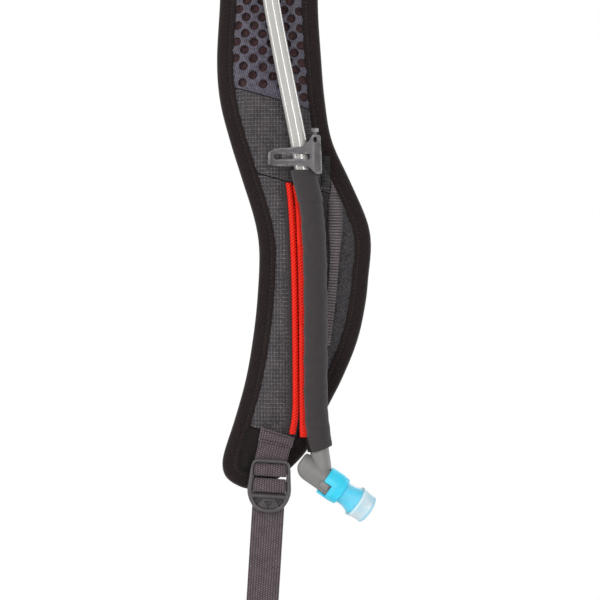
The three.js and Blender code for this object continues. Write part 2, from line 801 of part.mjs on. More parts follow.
function strapBeadDepth(z) {
  const x = pipingX(z);
  const reach = pipingRadius + pipingFootWidth;
  return Math.max(...[-reach, 0, pipingRadius].map((offset) => panelTop(x + offset, z)))
    + seatGap + pipingRadius;
}

const strapBeadAngles = [-90, -50, -10, 30, 70, 110, 150, 190];
const pipingRows = 14;
const strapBead = [
  ...strapBeadAngles.map(beadPoint),
  new THREE.Vector2(-pipingRadius - pipingFootWidth, -pipingRadius + pipingFootThickness),
  new THREE.Vector2(-pipingRadius - pipingFootWidth, -pipingRadius),
];
addPart('strap_piping', sweepDown({
  outer: strapBead, inner: beadBore, lineX: pipingX, depth: strapBeadDepth,
  top: -pipingTopDrop, bottom: -pipingEndDrop, rows: pipingRows,
}), finishes.piping);
addPart('strap_magnet', sweepDown({
  outer: magnetLoop, lineX: pipingX, depth: strapBeadDepth,
  top: -pipingTopDrop - sweepGap, bottom: -pipingEndDrop + sweepGap, rows: pipingRows,
}), finishes.magnet);

// Hose swing: knuckles about which the sleeve turns, and the cuts that they leave
const knuckleSides = 24;
function knuckle(z, radius) {
  const round = polygonShape(knuckleSides, radius, radius, hoseX(z), z);
  return solidOf(prismAlongY(round, wideOpen, -wideOpen));
}

function slabBetween(high, low) {
  return solidOf(prismAlongY(boxShape(-wideOpen, low, wideOpen, high), wideOpen, -wideOpen));
}

function trimToHinges(geometry, upper, lower) {
  let solid = solidOf(geometry);
  if (upper !== null) {
    const above = slabBetween(upper + wideOpen, upper).subtract(knuckle(upper, knuckleRadius));
    solid = solid.subtract(above);
  }
  if (lower !== null) {
    solid = solid.subtract(knuckle(lower, knuckleRadius + seatGap));
    solid = solid.subtract(slabBetween(lower + knuckleTrim, lower - wideOpen));
  }
  return solid;
}

const hoseSides = 12;
const hoseLoop = ovalLoop(hoseRadius, hoseRadius, hoseSides);
const hoseBoreLoop = ovalLoop(hoseBore, hoseBore, 8);
const sleeveSides = 16;
const sleeveLoop = ovalLoop(sleeveHalfWidth, sleeveHalfDepth, sleeveSides);
const sleeveBoreLoop = ovalLoop(hoseRadius + seatGap, hoseRadius + seatGap, hoseSides);
const cuffLoop = ovalLoop(sleeveHalfWidth + cuffExtra, sleeveHalfDepth + cuffExtra, sleeveSides);
const sleeveSwell = (z) => {
  const below = -z - sleeveEndDrop + sleeveFlareHeight;
  const share = Math.min(Math.max(below / sleeveFlareHeight, 0), 1);
  return 1 + share * sleeveFlare / sleeveHalfWidth;
};
const hinges = hoseHingeDrops.map((drop) => -drop);

const webWay = new THREE.Vector2(1, 0).rotateAround(new THREE.Vector2(), pipingWebTurn * degree);
const webSide = new THREE.Vector2(webWay.y, -webWay.x).multiplyScalar(pipingWeb / 2);
const sleeveBeadAngles = [63, 100, 140, 180, 220, 260, 300, 335, 373];
const sleeveBead = [
  ...sleeveBeadAngles.map(beadPoint),
  webWay.clone().multiplyScalar(pipingWebReach).add(webSide),
  webWay.clone().multiplyScalar(pipingWebReach).sub(webSide),
];
const pipingLiftAt = smoothThrough(sleevePipingLift);
const sleeveBeadDepth = (z) => THREE.MathUtils.lerp(
  strapFront, railFront, pipingLiftAt(-z / strapLength),
) + seatGap + pipingRadius;

const linkRows = 4;
const coverMargin = knuckleRadius * 2;
const coverRows = 10;
function pipingPiece(top, bottom, upper, lower, coverLoop) {
  const web = trimToHinges(sweepDown({
    outer: sleeveBead, inner: beadBore, lineX: sleevePipingX, depth: sleeveBeadDepth,
    top, bottom, rows: linkRows,
  }), upper, lower);
  const cover = solidOf(sweepDown({
    outer: coverLoop, lineX: hoseX, depth: hoseDepth, swell: sleeveSwell,
    top: top + coverMargin, bottom: bottom - coverMargin, rows: coverRows,
  }));
  return web.subtract(cover);
}

const grownLoop = (loop, extra) => loop.map((p) => p.clone().setLength(p.length() + extra));

// Fixed stretch: hose down to the first knuckle, its cuff and the cuff's piping
addPart('hose_upper', trimToHinges(sweepDown({
  outer: hoseLoop, inner: hoseBoreLoop, lineX: hoseX, depth: hoseDepth,
  top: -freeHoseDrop, bottom: hinges[0], rows: pipingRows,
}), null, hinges[0]), finishes.hose);
addPart('sleeve_cuff', trimToHinges(sweepDown({
  outer: cuffLoop, inner: sleeveBoreLoop, lineX: hoseX, depth: hoseDepth,
  top: -cuffTopDrop, bottom: hinges[0], rows: linkRows,
}), null, hinges[0]), finishes.sleeve);
addPart('cuff_piping', pipingPiece(-sleevePipingTopDrop, hinges[0], null, hinges[0],
  grownLoop(cuffLoop, seatGap)), finishes.piping);

// Swinging stretch in three links, each with hose, sleeve, piping and magnet
hinges.forEach((upper, link) => {
  const lower = hinges[link + 1] ?? null;
  const number = link + 1;
  const start = upper + knuckleRadius + seatGap;
  addPart(`hose_link_${number}`, trimToHinges(sweepDown({
    outer: hoseLoop, inner: hoseBoreLoop, lineX: hoseX, depth: hoseDepth,
    top: start, bottom: lower ?? -hoseEndDrop, rows: linkRows,
  }), upper, lower), finishes.hose);
  addPart(`sleeve_link_${number}`, trimToHinges(sweepDown({
    outer: sleeveLoop, inner: sleeveBoreLoop, lineX: hoseX, depth: hoseDepth, swell: sleeveSwell,
    top: start, bottom: lower ?? -sleeveEndDrop, rows: linkRows,
  }), upper, lower), finishes.sleeve);
  const pipingEnd = lower ?? -sleevePipingEndDrop;
  addPart(`sleeve_piping_${number}`, pipingPiece(start, pipingEnd, upper, lower,
    grownLoop(sleeveLoop, seatGap)), finishes.piping);
  addPart(`sleeve_magnet_${number}`, sweepDown({
    outer: magnetLoop, lineX: sleevePipingX, depth: sleeveBeadDepth,
    top: upper - sweepGap, bottom: pipingEnd + knuckleTrim + sweepGap, rows: linkRows,
  }), finishes.magnet);
});

// Keeper that holds the hose near the yoke
const keeperSteps = 10;
function buildKeeper() {
  const x = hoseX(-keeperDrop);
  const radius = hoseRadius + seatGap + keeperBand / 2;
  const footDepth = meshFront + seatGap + keeperBand / 2;
  const foot = [
    [radius + keeperToe, footDepth], [radius + keeperBend, footDepth],
    [radius, footDepth + keeperBend],
  ];
  const path = [
    ...foot.map(([reach, depth]) => [x - reach, depth]),
    ...arcPath(x, hoseDepth, radius, 180, 0, keeperSteps),
    ...[...foot].reverse().map(([reach, depth]) => [x + reach, depth]),
  ];
  const middle = -keeperDrop;
  const half = keeperHeight / 2;
  return prismAlongZ(bandShape(path, keeperBand), middle + half, middle - half);
}
addPart('hose_keeper_loop', buildKeeper(), finishes.stretch);

// Hose clip: foot under the hose, upright plate, and a slotted arm that springs over the hose
const clipTop = -clipTopDrop;
const clipBottom = clipTop - clipPlateHeight;
const cuffReach = (sleeveHalfWidth + cuffExtra) * slant(hoseX, clipBottom);
const plateLeft = hoseX(clipBottom) + cuffReach + seatGap;
const plateRight = plateLeft + clipPlateThickness;
const clipArmDepth = hoseDepth + hoseRadius + seatGap + clipWall / 2;
const clipLipLeft = plateRight - clipArmReach;

// Outline of the arm from the front, flared where it meets the plate
function clipFront() {
  const outside = plateRight + cutOverrun;
  const mouth = clipLipLeft - cutOverrun;
  const root = plateLeft - clipFlare * 2;
  const shoulder = plateLeft - clipFlare / 2;
  const front = new THREE.Shape();
  front.moveTo(mouth, clipArmTop);
  front.lineTo(root, clipArmTop);
  front.quadraticCurveTo(shoulder, clipArmTop, shoulder + clipTopEase, clipArmTop + clipFlare);
  front.lineTo(plateLeft, clipTop - clipTopEase);
  front.lineTo(outside, clipTop - clipTopEase);
  front.lineTo(outside, clipBottom);
  front.lineTo(plateLeft, clipBottom);
  front.quadraticCurveTo(shoulder, clipArmBottom - clipTopEase, root, clipArmBottom);
  front.lineTo(mouth, clipArmBottom);
  return front;
}

function clipSlot() {
  const middle = clipArmTop - clipArmHeight / 2;
  const half = clipSlotHeight / 2;
  const left = clipLipLeft + clipSlotEnd;
  const right = plateLeft - clipSlotRoot;
  const slot = new THREE.Shape();
  slot.moveTo(left, middle - half);
  slot.lineTo(right, middle - half);
  slot.absarc(right, middle, half, -Math.PI / 2, Math.PI / 2, false);
  slot.lineTo(left, middle + half);
  slot.absarc(left, middle, half, Math.PI / 2, Math.PI * 1.5, false);
  return slot;
}

function buildClip() {
  const footBack = strapFront + layerGap;
  const footFront = hoseDepth - hoseRadius - seatGap;
  const x = hoseX((clipArmTop + clipArmBottom) / 2);
  const plateMid = (plateLeft + plateRight) / 2;
  const armPath = [
    [plateMid, footFront],
    ...armRootBend.map(([across, back]) => [plateMid + across, clipArmDepth - back]),
    [x, clipArmDepth],
    ...armMouthBend.map(([across, dip]) => [x + across, clipArmDepth - clipMouthDip * dip]),
    ...armLipBend.map(([across, dip]) => [
      clipLipLeft + across, clipArmDepth - clipMouthDip * dip]),
  ];
  const block = (left, back, right, front, high, low) => (
    solidOf(prismAlongZ(boxShape(left, back, right, front), high, low)));
  const eyeAcross = plateLeft - clipEyeInset;
  const eyeHeight = clipTop - clipEyeDrop;
  const eye = polygonShape(12, clipEyeHalfWidth, clipEyeHalfHeight, eyeAcross, eyeHeight);
  const knobLow = clipArmDepth - knobBack;
  const knobHigh = clipArmDepth - knobFront;
  const neckLeft = plateLeft + knobNeckInset;
  const barLeft = plateLeft - knobBarReach;
  const barLow = clipTop + knobNeckHeight - knobOverlap;
  return solidOf(prismAlongZ(bandShape(armPath, clipWall), clipTop, clipBottom))
    .intersect(solidOf(prismAlongY(clipFront(), wideOpen, 0)))
    .subtract(solidOf(prismAlongY(clipSlot(), wideOpen, hoseDepth)))
    .subtract(solidOf(prismAlongY(eye, wideOpen, hoseDepth)))
    .add(block(plateLeft, footBack, plateRight, clipArmDepth - clipArmSink, clipTop, clipBottom))
    .add(block(x - clipFootReach, footBack, plateMid, footFront, clipArmTop, clipArmBottom))
    .add(block(neckLeft, knobLow, neckLeft + knobNeckWidth, knobHigh,
      clipTop + knobNeckHeight, clipTop - clipTopEase))
    .add(block(barLeft, knobLow, barLeft + knobBarWidth, knobHigh,
      barLow + knobBarHeight, barLow));
}
addPart('hose_clip', buildClip(), finishes.clip);

// Ladder-lock buckle with its webbing, drawn about the anchor bar and hung at its lean
const buckle = new THREE.Group();
const wrapReach = barDepth / 2 + barReach + webbingThickness / 2;
const legBack = -wrapReach;
const legFront = legBack + webbingThickness + seatGap;
const buckleDepth = strapFront + seatGap + webbingThickness / 2 + wrapReach;
buckle.position.set(buckleAcross, -buckleDepth, -buckleDropFromSeam);
buckle.rotation.y = buckleLean * degree;
strap.add(buckle);

const rimTop = rimBarRise + rimBarHeight / 2;
const windowHalf = webbingWidth / 2 + seatGap;
const windowTop = rimBarRise - rimBarHeight / 2;
const windowBottom = -lowerBarDrop + lowerBarHeight / 2;

function roundedBar(height, drop, front) {
  const back = -barDepth / 2;
  const radius = Math.min(height, front - back) / 2 * barRoundShare;
  const low = -drop - height / 2 + radius;
  const high = -drop + height / 2 - radius;
  const shape = new THREE.Shape();
  shape.moveTo(back + radius, low - radius);
  shape.lineTo(front - radius, low - radius);
  shape.absarc(front - radius, low, radius, -Math.PI / 2, 0, false);
  shape.lineTo(front, high);
  shape.absarc(front - radius, high, radius, 0, Math.PI / 2, false);
  shape.lineTo(back + radius, high + radius);
  shape.absarc(back + radius, high, radius, Math.PI / 2, Math.PI, false);
  shape.lineTo(back, low);
  shape.absarc(back + radius, low, radius, Math.PI, Math.PI * 1.5, false);
  return solidOf(extrudeAlongX(shape, windowHalf * 2 + buckleRail / 2, 4));
}

// Outline of the buckle from the front: a rounded top and a thumb tab below
function buckleOutline() {
  const topHalf = windowHalf + buckleRail * 0.6;
  const wideHalf = windowHalf + buckleRail * 1.2;
  const corner = buckleRail * 1.3;
  const bulge = wideHalf + buckleRail * 0.23;
  const tabHalf = wideHalf * 0.62;
  const tabDrop = buckleDrop * 0.72;
  const outline = new THREE.Shape();
  outline.moveTo(-topHalf + corner, rimTop);
  outline.lineTo(topHalf - corner, rimTop);
  outline.quadraticCurveTo(topHalf, rimTop, topHalf, rimTop - corner);
  outline.lineTo(wideHalf, -gripBarDrop);
  outline.bezierCurveTo(bulge, -tabDrop, tabHalf, -buckleDrop, 0, -buckleDrop);
  outline.bezierCurveTo(-tabHalf, -buckleDrop, -bulge, -tabDrop, -wideHalf, -gripBarDrop);
  outline.lineTo(-topHalf, rimTop - corner);
  outline.quadraticCurveTo(-topHalf, rimTop, -topHalf + corner, rimTop);
  return outline;
}

function buildBuckle() {
  const ease = buckleEdgeEase;
  const plate = new THREE.ExtrudeGeometry(buckleOutline(), {
    depth: buckleForward + buckleBackward - ease * 2 - buckleFaceDrop, bevelEnabled: true,
    bevelThickness: ease, bevelSize: ease, bevelOffset: -ease, bevelSegments: 1, curveSegments: 6,
  });
  plate.rotateX(Math.PI / 2);
  plate.translate(0, buckleBackward - ease, 0);
  const bottom = -buckleDrop - cutOverrun;
  const cut = (half, low, high, forward) => (
    solidOf(prismAlongY(boxShape(-half, low, half, high), forward, -wideOpen)));
  const rimBack = legFront + webbingThickness / 2 + seatGap;
  const tabFront = solidOf(prismAlongY(
    boxShape(-wideOpen, bottom, wideOpen, -lowerBarDrop), wideOpen, barDepth / 2 + buckleStep,
  ));
  let solid = solidOf(plate)
    .subtract(cut(windowHalf, windowBottom, windowTop, wideOpen))
    .subtract(cut(windowHalf, windowTop - buckleFloor, rimTop + cutOverrun, rimBack))
    .subtract(cut(windowHalf, bottom, windowBottom + buckleFloor, -barDepth / 2))
    .subtract(tabFront)
    .add(roundedBar(anchorBarHeight, 0, barDepth / 2))
    .add(roundedBar(gripBarHeight, gripBarDrop, barDepth / 2))
    .add(roundedBar(lowerBarHeight, lowerBarDrop, barDepth / 2 + lowerBarRise));
  for (const side of [-1, 0, 1]) {
    const across = side * windowHalf * 0.62;
    const height = -buckleDrop * 0.78 + Math.abs(side) * thumbDimpleStep;
    const dimple = polygonShape(
      3, thumbDimpleRadius, thumbDimpleRadius, across, height, -Math.PI / 2,
    );
    const floor = barDepth / 2 - thumbDimpleDepth;
    solid = solid.subtract(solidOf(prismAlongY(dimple, wideOpen, floor)));
  }
  return solid;
}
addPart('ladder_lock', buildBuckle(), finishes.clip, buckle);

// Webbing loop round the anchor bar; it enters behind the rim and leaves behind the bar
function buildTabWrap() {
  const half = (anchorBarHeight - barDepth) / 2;
  const shoulder = anchorBarHeight / 2 + webbingThickness;
  const path = [
    [legFront, rimTop], [legFront, windowTop + buckleFaceDrop / 3],
    [legFront * 0.3, shoulder + seatGap], [wrapReach * 0.31, shoulder - seatGap],
    [wrapReach * 0.72, half + wrapReach * 0.84], [wrapReach * 0.96, half + wrapReach * 0.4],
    ...arcPath(0, -half, wrapReach, 0, -180, wrapTurnSteps),
    [-wrapReach, half], [-wrapReach, rimTop],
  ];
  return extrudeAlongX(bandShape(path, webbingThickness), webbingWidth);
}
addPart('tab_wrap', buildTabWrap(), finishes.webbing, buckle);

// Adjusting webbing round the grip bar: load side behind, tail side in front of it
const tailCentre = -barDepth / 2 - seatGap - webbingThickness / 2 - tailLift;
const loadCentre = tailCentre - webbingThickness - seatGap;
const wrapEnd = -gripBarDrop - wrapTail;
function buildGripWrap() {
  const half = (gripBarHeight - barDepth) / 2;
  const middle = -gripBarDrop;
  const under = middle - half - wrapReach;
  const path = [
    [loadCentre, wrapEnd], [loadCentre, middle - wrapReach * 1.6],
    [loadCentre + webbingThickness * 0.35, middle - wrapReach * 0.9],
    [-wrapReach - barReach * 1.2, middle - half / 2], [-wrapReach, middle + half / 2],
    ...arcPath(0, middle + half, wrapReach, 180, 0, wrapTurnSteps),
    ...arcPath(0, middle - half, wrapReach, 0, -wrapUnderTurn, wrapUnderSteps),
    [-wrapReach * 0.51, under - tailLift], [-wrapReach * 0.87, under - wrapReach / 3],
    [tailCentre, under - wrapReach * 0.75], [tailCentre, wrapEnd],
  ];
  return extrudeAlongX(bandShape(path, webbingThickness), webbingWidth);
}
addPart('grip_wrap', buildGripWrap(), finishes.webbing, buckle);

function webbingPlate(centre, thickness, high, length) {
  const shape = boxShape(-webbingWidth / 2, high - length, webbingWidth / 2, high);
  return prismAlongY(shape, centre + thickness / 2, centre - thickness / 2);
}

// Two legs of the sewn tab, joined at the top, leaning from the hem towards the buckle
const tabHeight = buckleDropFromSeam - pipingEndDrop + tabPastPiping;
function buildTabLegs() {
  const start = rimTop + tabStartGap;
  const joined = tabHeight - tabJoin;
  const half = webbingThickness / 2;
  const shape = new THREE.Shape([
    [legFront + half, start], [legFront + half, tabHeight], [legBack - half, tabHeight],
    [legBack - half, start], [legBack + half, start], [legBack + half, joined],
    [legFront - half, joined], [legFront - half, start],
  ].map(([y, z]) => new THREE.Vector2(y, z)));
  const geometry = extrudeAlongX(shape, webbingWidth);
  const position = geometry.attributes.position;
  for (let i = 0; i < position.count; i += 1) {
    const height = position.getZ(i) - start;
    const share = height / (tabHeight - start);
    const x = position.getX(i);
    position.setZ(i, position.getZ(i) - x * tabTopSlope * share);
    position.setX(i, x + height * Math.tan(tabLean * degree));
  }
  return geometry;
}
const webbingTop = wrapEnd - seatGap;
const anchorTop = webbingTop - loadLength - seatGap;
const anchorCentre = loadCentre + (webbingThickness - anchorEndThickness) / 2;
const hemTop = webbingTop - tailLength - seatGap;
const hemCentre = tailCentre + (tailHemThickness - webbingThickness) / 2 + seatGap;
const webbingPieces = {
  buckle_tab_webbing: buildTabLegs(),
  load_webbing: webbingPlate(loadCentre, webbingThickness, webbingTop, loadLength),
  tail_webbing: webbingPlate(tailCentre, webbingThickness, webbingTop, tailLength),
  webbing_end: webbingPlate(anchorCentre, anchorEndThickness, anchorTop, anchorEndLength),
  tail_end: webbingPlate(hemCentre, tailHemThickness, hemTop, tailHemLength),
};
for (const [name, shape] of Object.entries(webbingPieces)) {
  addPart(name, shape, finishes.webbing, buckle);
}

// Elbow, twist collar and bite valve, turned about the outlet axis
const inletStart = new THREE.Vector3(hoseX(-hoseEndDrop), -hoseDepth, -hoseEndDrop);
const outletStart = inletStart.clone().add(new THREE.Vector3(-elbowAside, 0, -elbowFall));
const outletWay = new THREE.Vector3(1, 0, 0)
  .applyAxisAngle(new THREE.Vector3(0, 1, 0), outletFall * degree);
const outletFront = new THREE.Vector3(0, -1, 0);
const outletUnder = new THREE.Vector3().crossVectors(outletWay, outletFront);
const outletFrame = new THREE.Matrix4()
  .makeBasis(outletFront, outletUnder, outletWay).setPosition(outletStart);

const turnSides = 24;
const softTurnSides = 22;
const boreSides = 12;
function turned(profile, segments = turnSides) {
  const points = profile.map(([radius, along]) => new THREE.Vector2(radius, along));
  return new THREE.LatheGeometry(points, segments).rotateX(Math.PI / 2);
}

const inOutlet = (geometry) => geometry.applyMatrix4(outletFrame);
const inletWay = new THREE.Vector3(
  hoseX(-sleeveEndDrop) - hoseX(-hoseEndDrop), 0, hoseEndDrop - sleeveEndDrop,
).normalize();
const inInlet = (geometry) => geometry.applyMatrix4(new THREE.Matrix4().makeRotationFromQuaternion(
  new THREE.Quaternion().setFromUnitVectors(new THREE.Vector3(0, 0, 1), inletWay),
).setPosition(inletStart));

function rod(radius, from, to, sides = turnSides) {
  return turned([[0, from], [radius, from], [radius, to], [0, to]], sides);
}

function buildElbow() {
  const dome = arcPath(0, 0, elbowRadius, -90, 0, 6);
  const body = turned([...dome, [elbowRadius, elbowLength], [0, elbowLength]]);
  const barrel = turned([
    [0, -spigotLength],
    ...barrelBarbs.slice(1).map(([r, s]) => [spigotRadius * r, -spigotLength * s]),
    [spigotRadius * barrelBarbs.at(-1)[0], seatGap],
    ...barrelCone.map(([r, s]) => [inletRadius * r, THREE.MathUtils.lerp(seatGap, inletReach, s)]),
    [0, inletReach],
  ]);
  const stop = new THREE.ExtrudeGeometry(
    boxShape(elbowRadius - stopRoot, -stopWidth / 2, elbowRadius + stopRise, stopWidth / 2),
    { depth: stopLength, bevelEnabled: false },
  ).translate(0, 0, collarStart - stopLead).rotateZ(stopTurn * degree);
  const bore = rod(elbowBore, elbowBoreFloor, elbowLength + cutOverrun);
  const inletBore = rod(spigotBore, -spigotLength - cutOverrun, inletBoreReach, boreSides);
  return solidOf(inOutlet(body)).add(solidOf(inInlet(barrel))).add(solidOf(inOutlet(stop)))
    .subtract(solidOf(inOutlet(bore))).subtract(solidOf(inInlet(inletBore)));
}
addPart('elbow', buildElbow(), finishes.elbow);

const skirtEnd = collarStart + collarSkirt;
const valveSpigotEnd = valveReach - valveWall;
function buildCollar() {
  const web = elbowLength + seatGap;
  const skirtBore = elbowRadius + seatGap;
  const groove = stemRadius - ringGroove;
  const spigotAt = (share) => THREE.MathUtils.lerp(skirtEnd, valveSpigotEnd, share);
  const profile = [
    [stemBore, stemStart], [stemRadius, stemStart], [stemRadius, ringEnd - ringWidth],
    [groove, ringEnd - ringWidth], [groove, ringEnd], [stemRadius, ringEnd], [stemRadius, web],
    [skirtBore, web], [skirtBore, collarStart], [collarRadius, collarStart],
    [collarRadius, collarStart + collarFlat],
    [collarRadius - collarStep, skirtEnd - collarStep], [collarRadius - collarNose, skirtEnd],
    [valveSpigotRadius, skirtEnd], [valveSpigotRadius, spigotAt(0.44)],
    [valveSpigotRadius + valveSpigotBead, spigotAt(0.56)],
    [valveSpigotRadius - valveSpigotBead, valveSpigotEnd], [stemBore, valveSpigotEnd],
    [stemBore, stemStart],
  ];
  const from = (stopTurn - notchMargin) * degree;
  const to = (stopTurn + notchMargin + twistTravel) * degree;
  const notch = new THREE.Shape();
  notch.absarc(0, 0, collarRadius + cutOverrun, from, to, false);
  notch.absarc(0, 0, elbowRadius - notchFloor, to, from, true);
  const cut = new THREE.ExtrudeGeometry(notch, {
    depth: stopLength + cutOverrun, bevelEnabled: false,
  }).translate(0, 0, collarStart - cutOverrun);
  return solidOf(inOutlet(turned(profile, softTurnSides))).subtract(solidOf(inOutlet(cut)));
}
addPart('twist_collar', buildCollar(), finishes.collar);

const ringCentre = stemRadius - ringGroove + ringRadius + ringSquash;
addPart('stem_o_ring', inOutlet(
  new THREE.TorusGeometry(ringCentre, ringRadius, 6, 18).translate(0, 0, ringEnd - ringWidth / 2),
), finishes.seal);

function buildBiteValve() {
  const neck = skirtEnd + seatGap;
  const cavityEnd = valveSpigotEnd + valveCavityEnd;
  const profile = [
    [0, valveReach - valveCavityEnd * 1.4], [valveCavity, valveReach - valveCavityEnd * 1.4],
    [valveCavity, cavityEnd], [valveSeat, cavityEnd - valveSeat + valveCavity],
    [valveSeat, neck],
    ...valveOutside.map(([inset, share]) => [
      valveTipRadius - inset, THREE.MathUtils.lerp(neck, valveReach, share)]),
    [0, valveReach],
  ];
  const body = solidOf(inOutlet(turned(profile, softTurnSides)));
  const slit = new THREE.ExtrudeGeometry(
    boxShape(-slitWidth / 2, -slitLength / 2, slitWidth / 2, slitLength / 2),
    { depth: slitDepth + cutOverrun, bevelEnabled: false },
  ).translate(0, 0, valveReach - slitDepth);
  return body.subtract(solidOf(inOutlet(slit)));
}
addPart('bite_valve', buildBiteValve(), finishes.silicone);

// Hose put away behind the yoke: over the top, then one hank held by a tie
const waistBottom = waistTop - tieHeight;
const plugDrop = waistTop + plugRise;
const archMiddle = -hoseDepth + archRadius;

const yokeSteps = 22;
const yokeSides = 10;
const hankSteps = 40;
const hankSides = 8;
function tubeAlong(points, steps, sides) {
  const curve = new THREE.CatmullRomCurve3(points, false, 'centripetal');
  const ring = polygonShape(sides, hoseRadius, hoseRadius);
  const geometry = new THREE.ExtrudeGeometry(ring, { steps, bevelEnabled: false, extrudePath: curve });
  return { curve, geometry };
}

const overYoke = [
  new THREE.Vector3(hoseX(-freeHoseDrop), -hoseDepth, -freeHoseDrop + seatGap),
  ...[0.7, 0.5].map((share) => {
    const z = -freeHoseDrop * share;
    return new THREE.Vector3(hoseX(z), -hoseDepth, z);
  }),
  ...evenShares(6).map((share) => new THREE.Vector3(
    THREE.MathUtils.lerp(archStartAcross, archEndAcross, share),
    archMiddle - archRadius * Math.cos(Math.PI * share),
    archBase + archRadius * Math.sin(Math.PI * share),
  )),
  ...[[0.12, 0.094, 0.45], [0.015, 0.017, 0.72], [0, 0, 0.85]].map(([aside, behind, share]) => (
    new THREE.Vector3(
      hankMiddle - hankHalfGap + aside * hankHalfGap, hankDepth + behind * archRadius,
      waistTop * share,
    ))),
  new THREE.Vector3(hankMiddle - hankHalfGap, hankDepth, waistTop + seatGap),
];
const yokeTube = tubeAlong(overYoke, yokeSteps, yokeSides);
addPart('hose_over_yoke', yokeTube.geometry, finishes.hose);

function hankPoints() {
  const wide = hankHalfGap + hankFold;
  const swing = Math.acos(wide / (2 * hankFold));
  const drop = 2 * hankFold * Math.sin(swing);
  const half = [[-hankHalfGap, waistTop], [-hankHalfGap, waistTop - tieHeight / 2]];
  for (const share of [0, 0.25, 0.5, 0.75]) {
    const angle = share * swing;
    half.push([-wide + hankFold * Math.cos(angle), waistBottom - hankFold * Math.sin(angle)]);
  }
  for (const share of evenShares(4)) {
    const angle = THREE.MathUtils.lerp(Math.PI - swing, Math.PI * 1.5, share);
    half.push([hankFold * Math.cos(angle), waistBottom - drop + hankFold * Math.sin(angle)]);
  }
  const mirrored = half.slice(0, -1).reverse().map(([x, z]) => [-x, z]);
  const route = [...half, ...mirrored, [hankHalfGap, plugDrop]];
  return route.map(([x, z]) => new THREE.Vector3(hankMiddle + x, hankDepth, z));
}
const hankTube = tubeAlong(hankPoints(), hankSteps, hankSides);
const plugBore = rod(hoseBore, -plugSeat, cutOverrun, boreSides);
plugBore.translate(hankMiddle + hankHalfGap, hankDepth, plugDrop);
addPart('hose_hank', solidOf(hankTube.geometry).subtract(solidOf(plugBore)), finishes.hose);

function leastGap(curve, count, apart) {
  const points = curve.getSpacedPoints(count);
  let least = Infinity;
  for (let i = 0; i <= count; i += 1) {
    for (let j = i + apart; j <= count; j += 1) {
      least = Math.min(least, points[i].distanceTo(points[j]));
    }
  }
  return least - 2 * hoseRadius;
}
const measureSteps = 200;
const measureApart = 40;
const hankGap = leastGap(hankTube.curve, measureSteps, measureApart);
const freeLength = yokeTube.curve.getLength() + hankTube.curve.getLength();
console.log(`hank: least gap to itself ${hankGap.toFixed(2)} mm`);
console.log(`free hose ${freeLength.toFixed(1)} mm`);

function buildTie() {
  const radius = hoseRadius + seatGap;
  const ring = (r) => {
    const shape = new THREE.Shape();
    shape.absarc(hankMiddle - hankHalfGap, -hankDepth, r, Math.PI / 2, Math.PI * 1.5, false);
    shape.absarc(hankMiddle + hankHalfGap, -hankDepth, r, -Math.PI / 2, Math.PI / 2, false);
    return shape;
  };
  const outer = prismAlongZ(ring(radius + tieBand), waistTop - tieInset, waistBottom + tieInset);
  const inner = prismAlongZ(ring(radius), waistTop + cutOverrun, waistBottom - cutOverrun);
  return solidOf(outer).subtract(solidOf(inner));
}
addPart('hose_tie', buildTie(), finishes.stretch);

const plugSides = 14;
function buildPlug() {
  const geometry = turned(plugProfile, plugSides);
  return geometry.translate(hankMiddle + hankHalfGap, hankDepth, plugDrop + seatGap);
}
addPart('hose_plug', buildPlug(), finishes.elbow);

export default strap;
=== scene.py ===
"""Looks of a hydration pack shoulder strap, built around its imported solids.

Lengths in the classes are millimetres in the frame of the part: +Z up the strap,
the front faces -Y, and depths are counted forward from the strap's middle plane.
"""
import json
import logging
import math
from dataclasses import dataclass, field
from enum import Enum
from typing import Callable, Iterable, Sequence

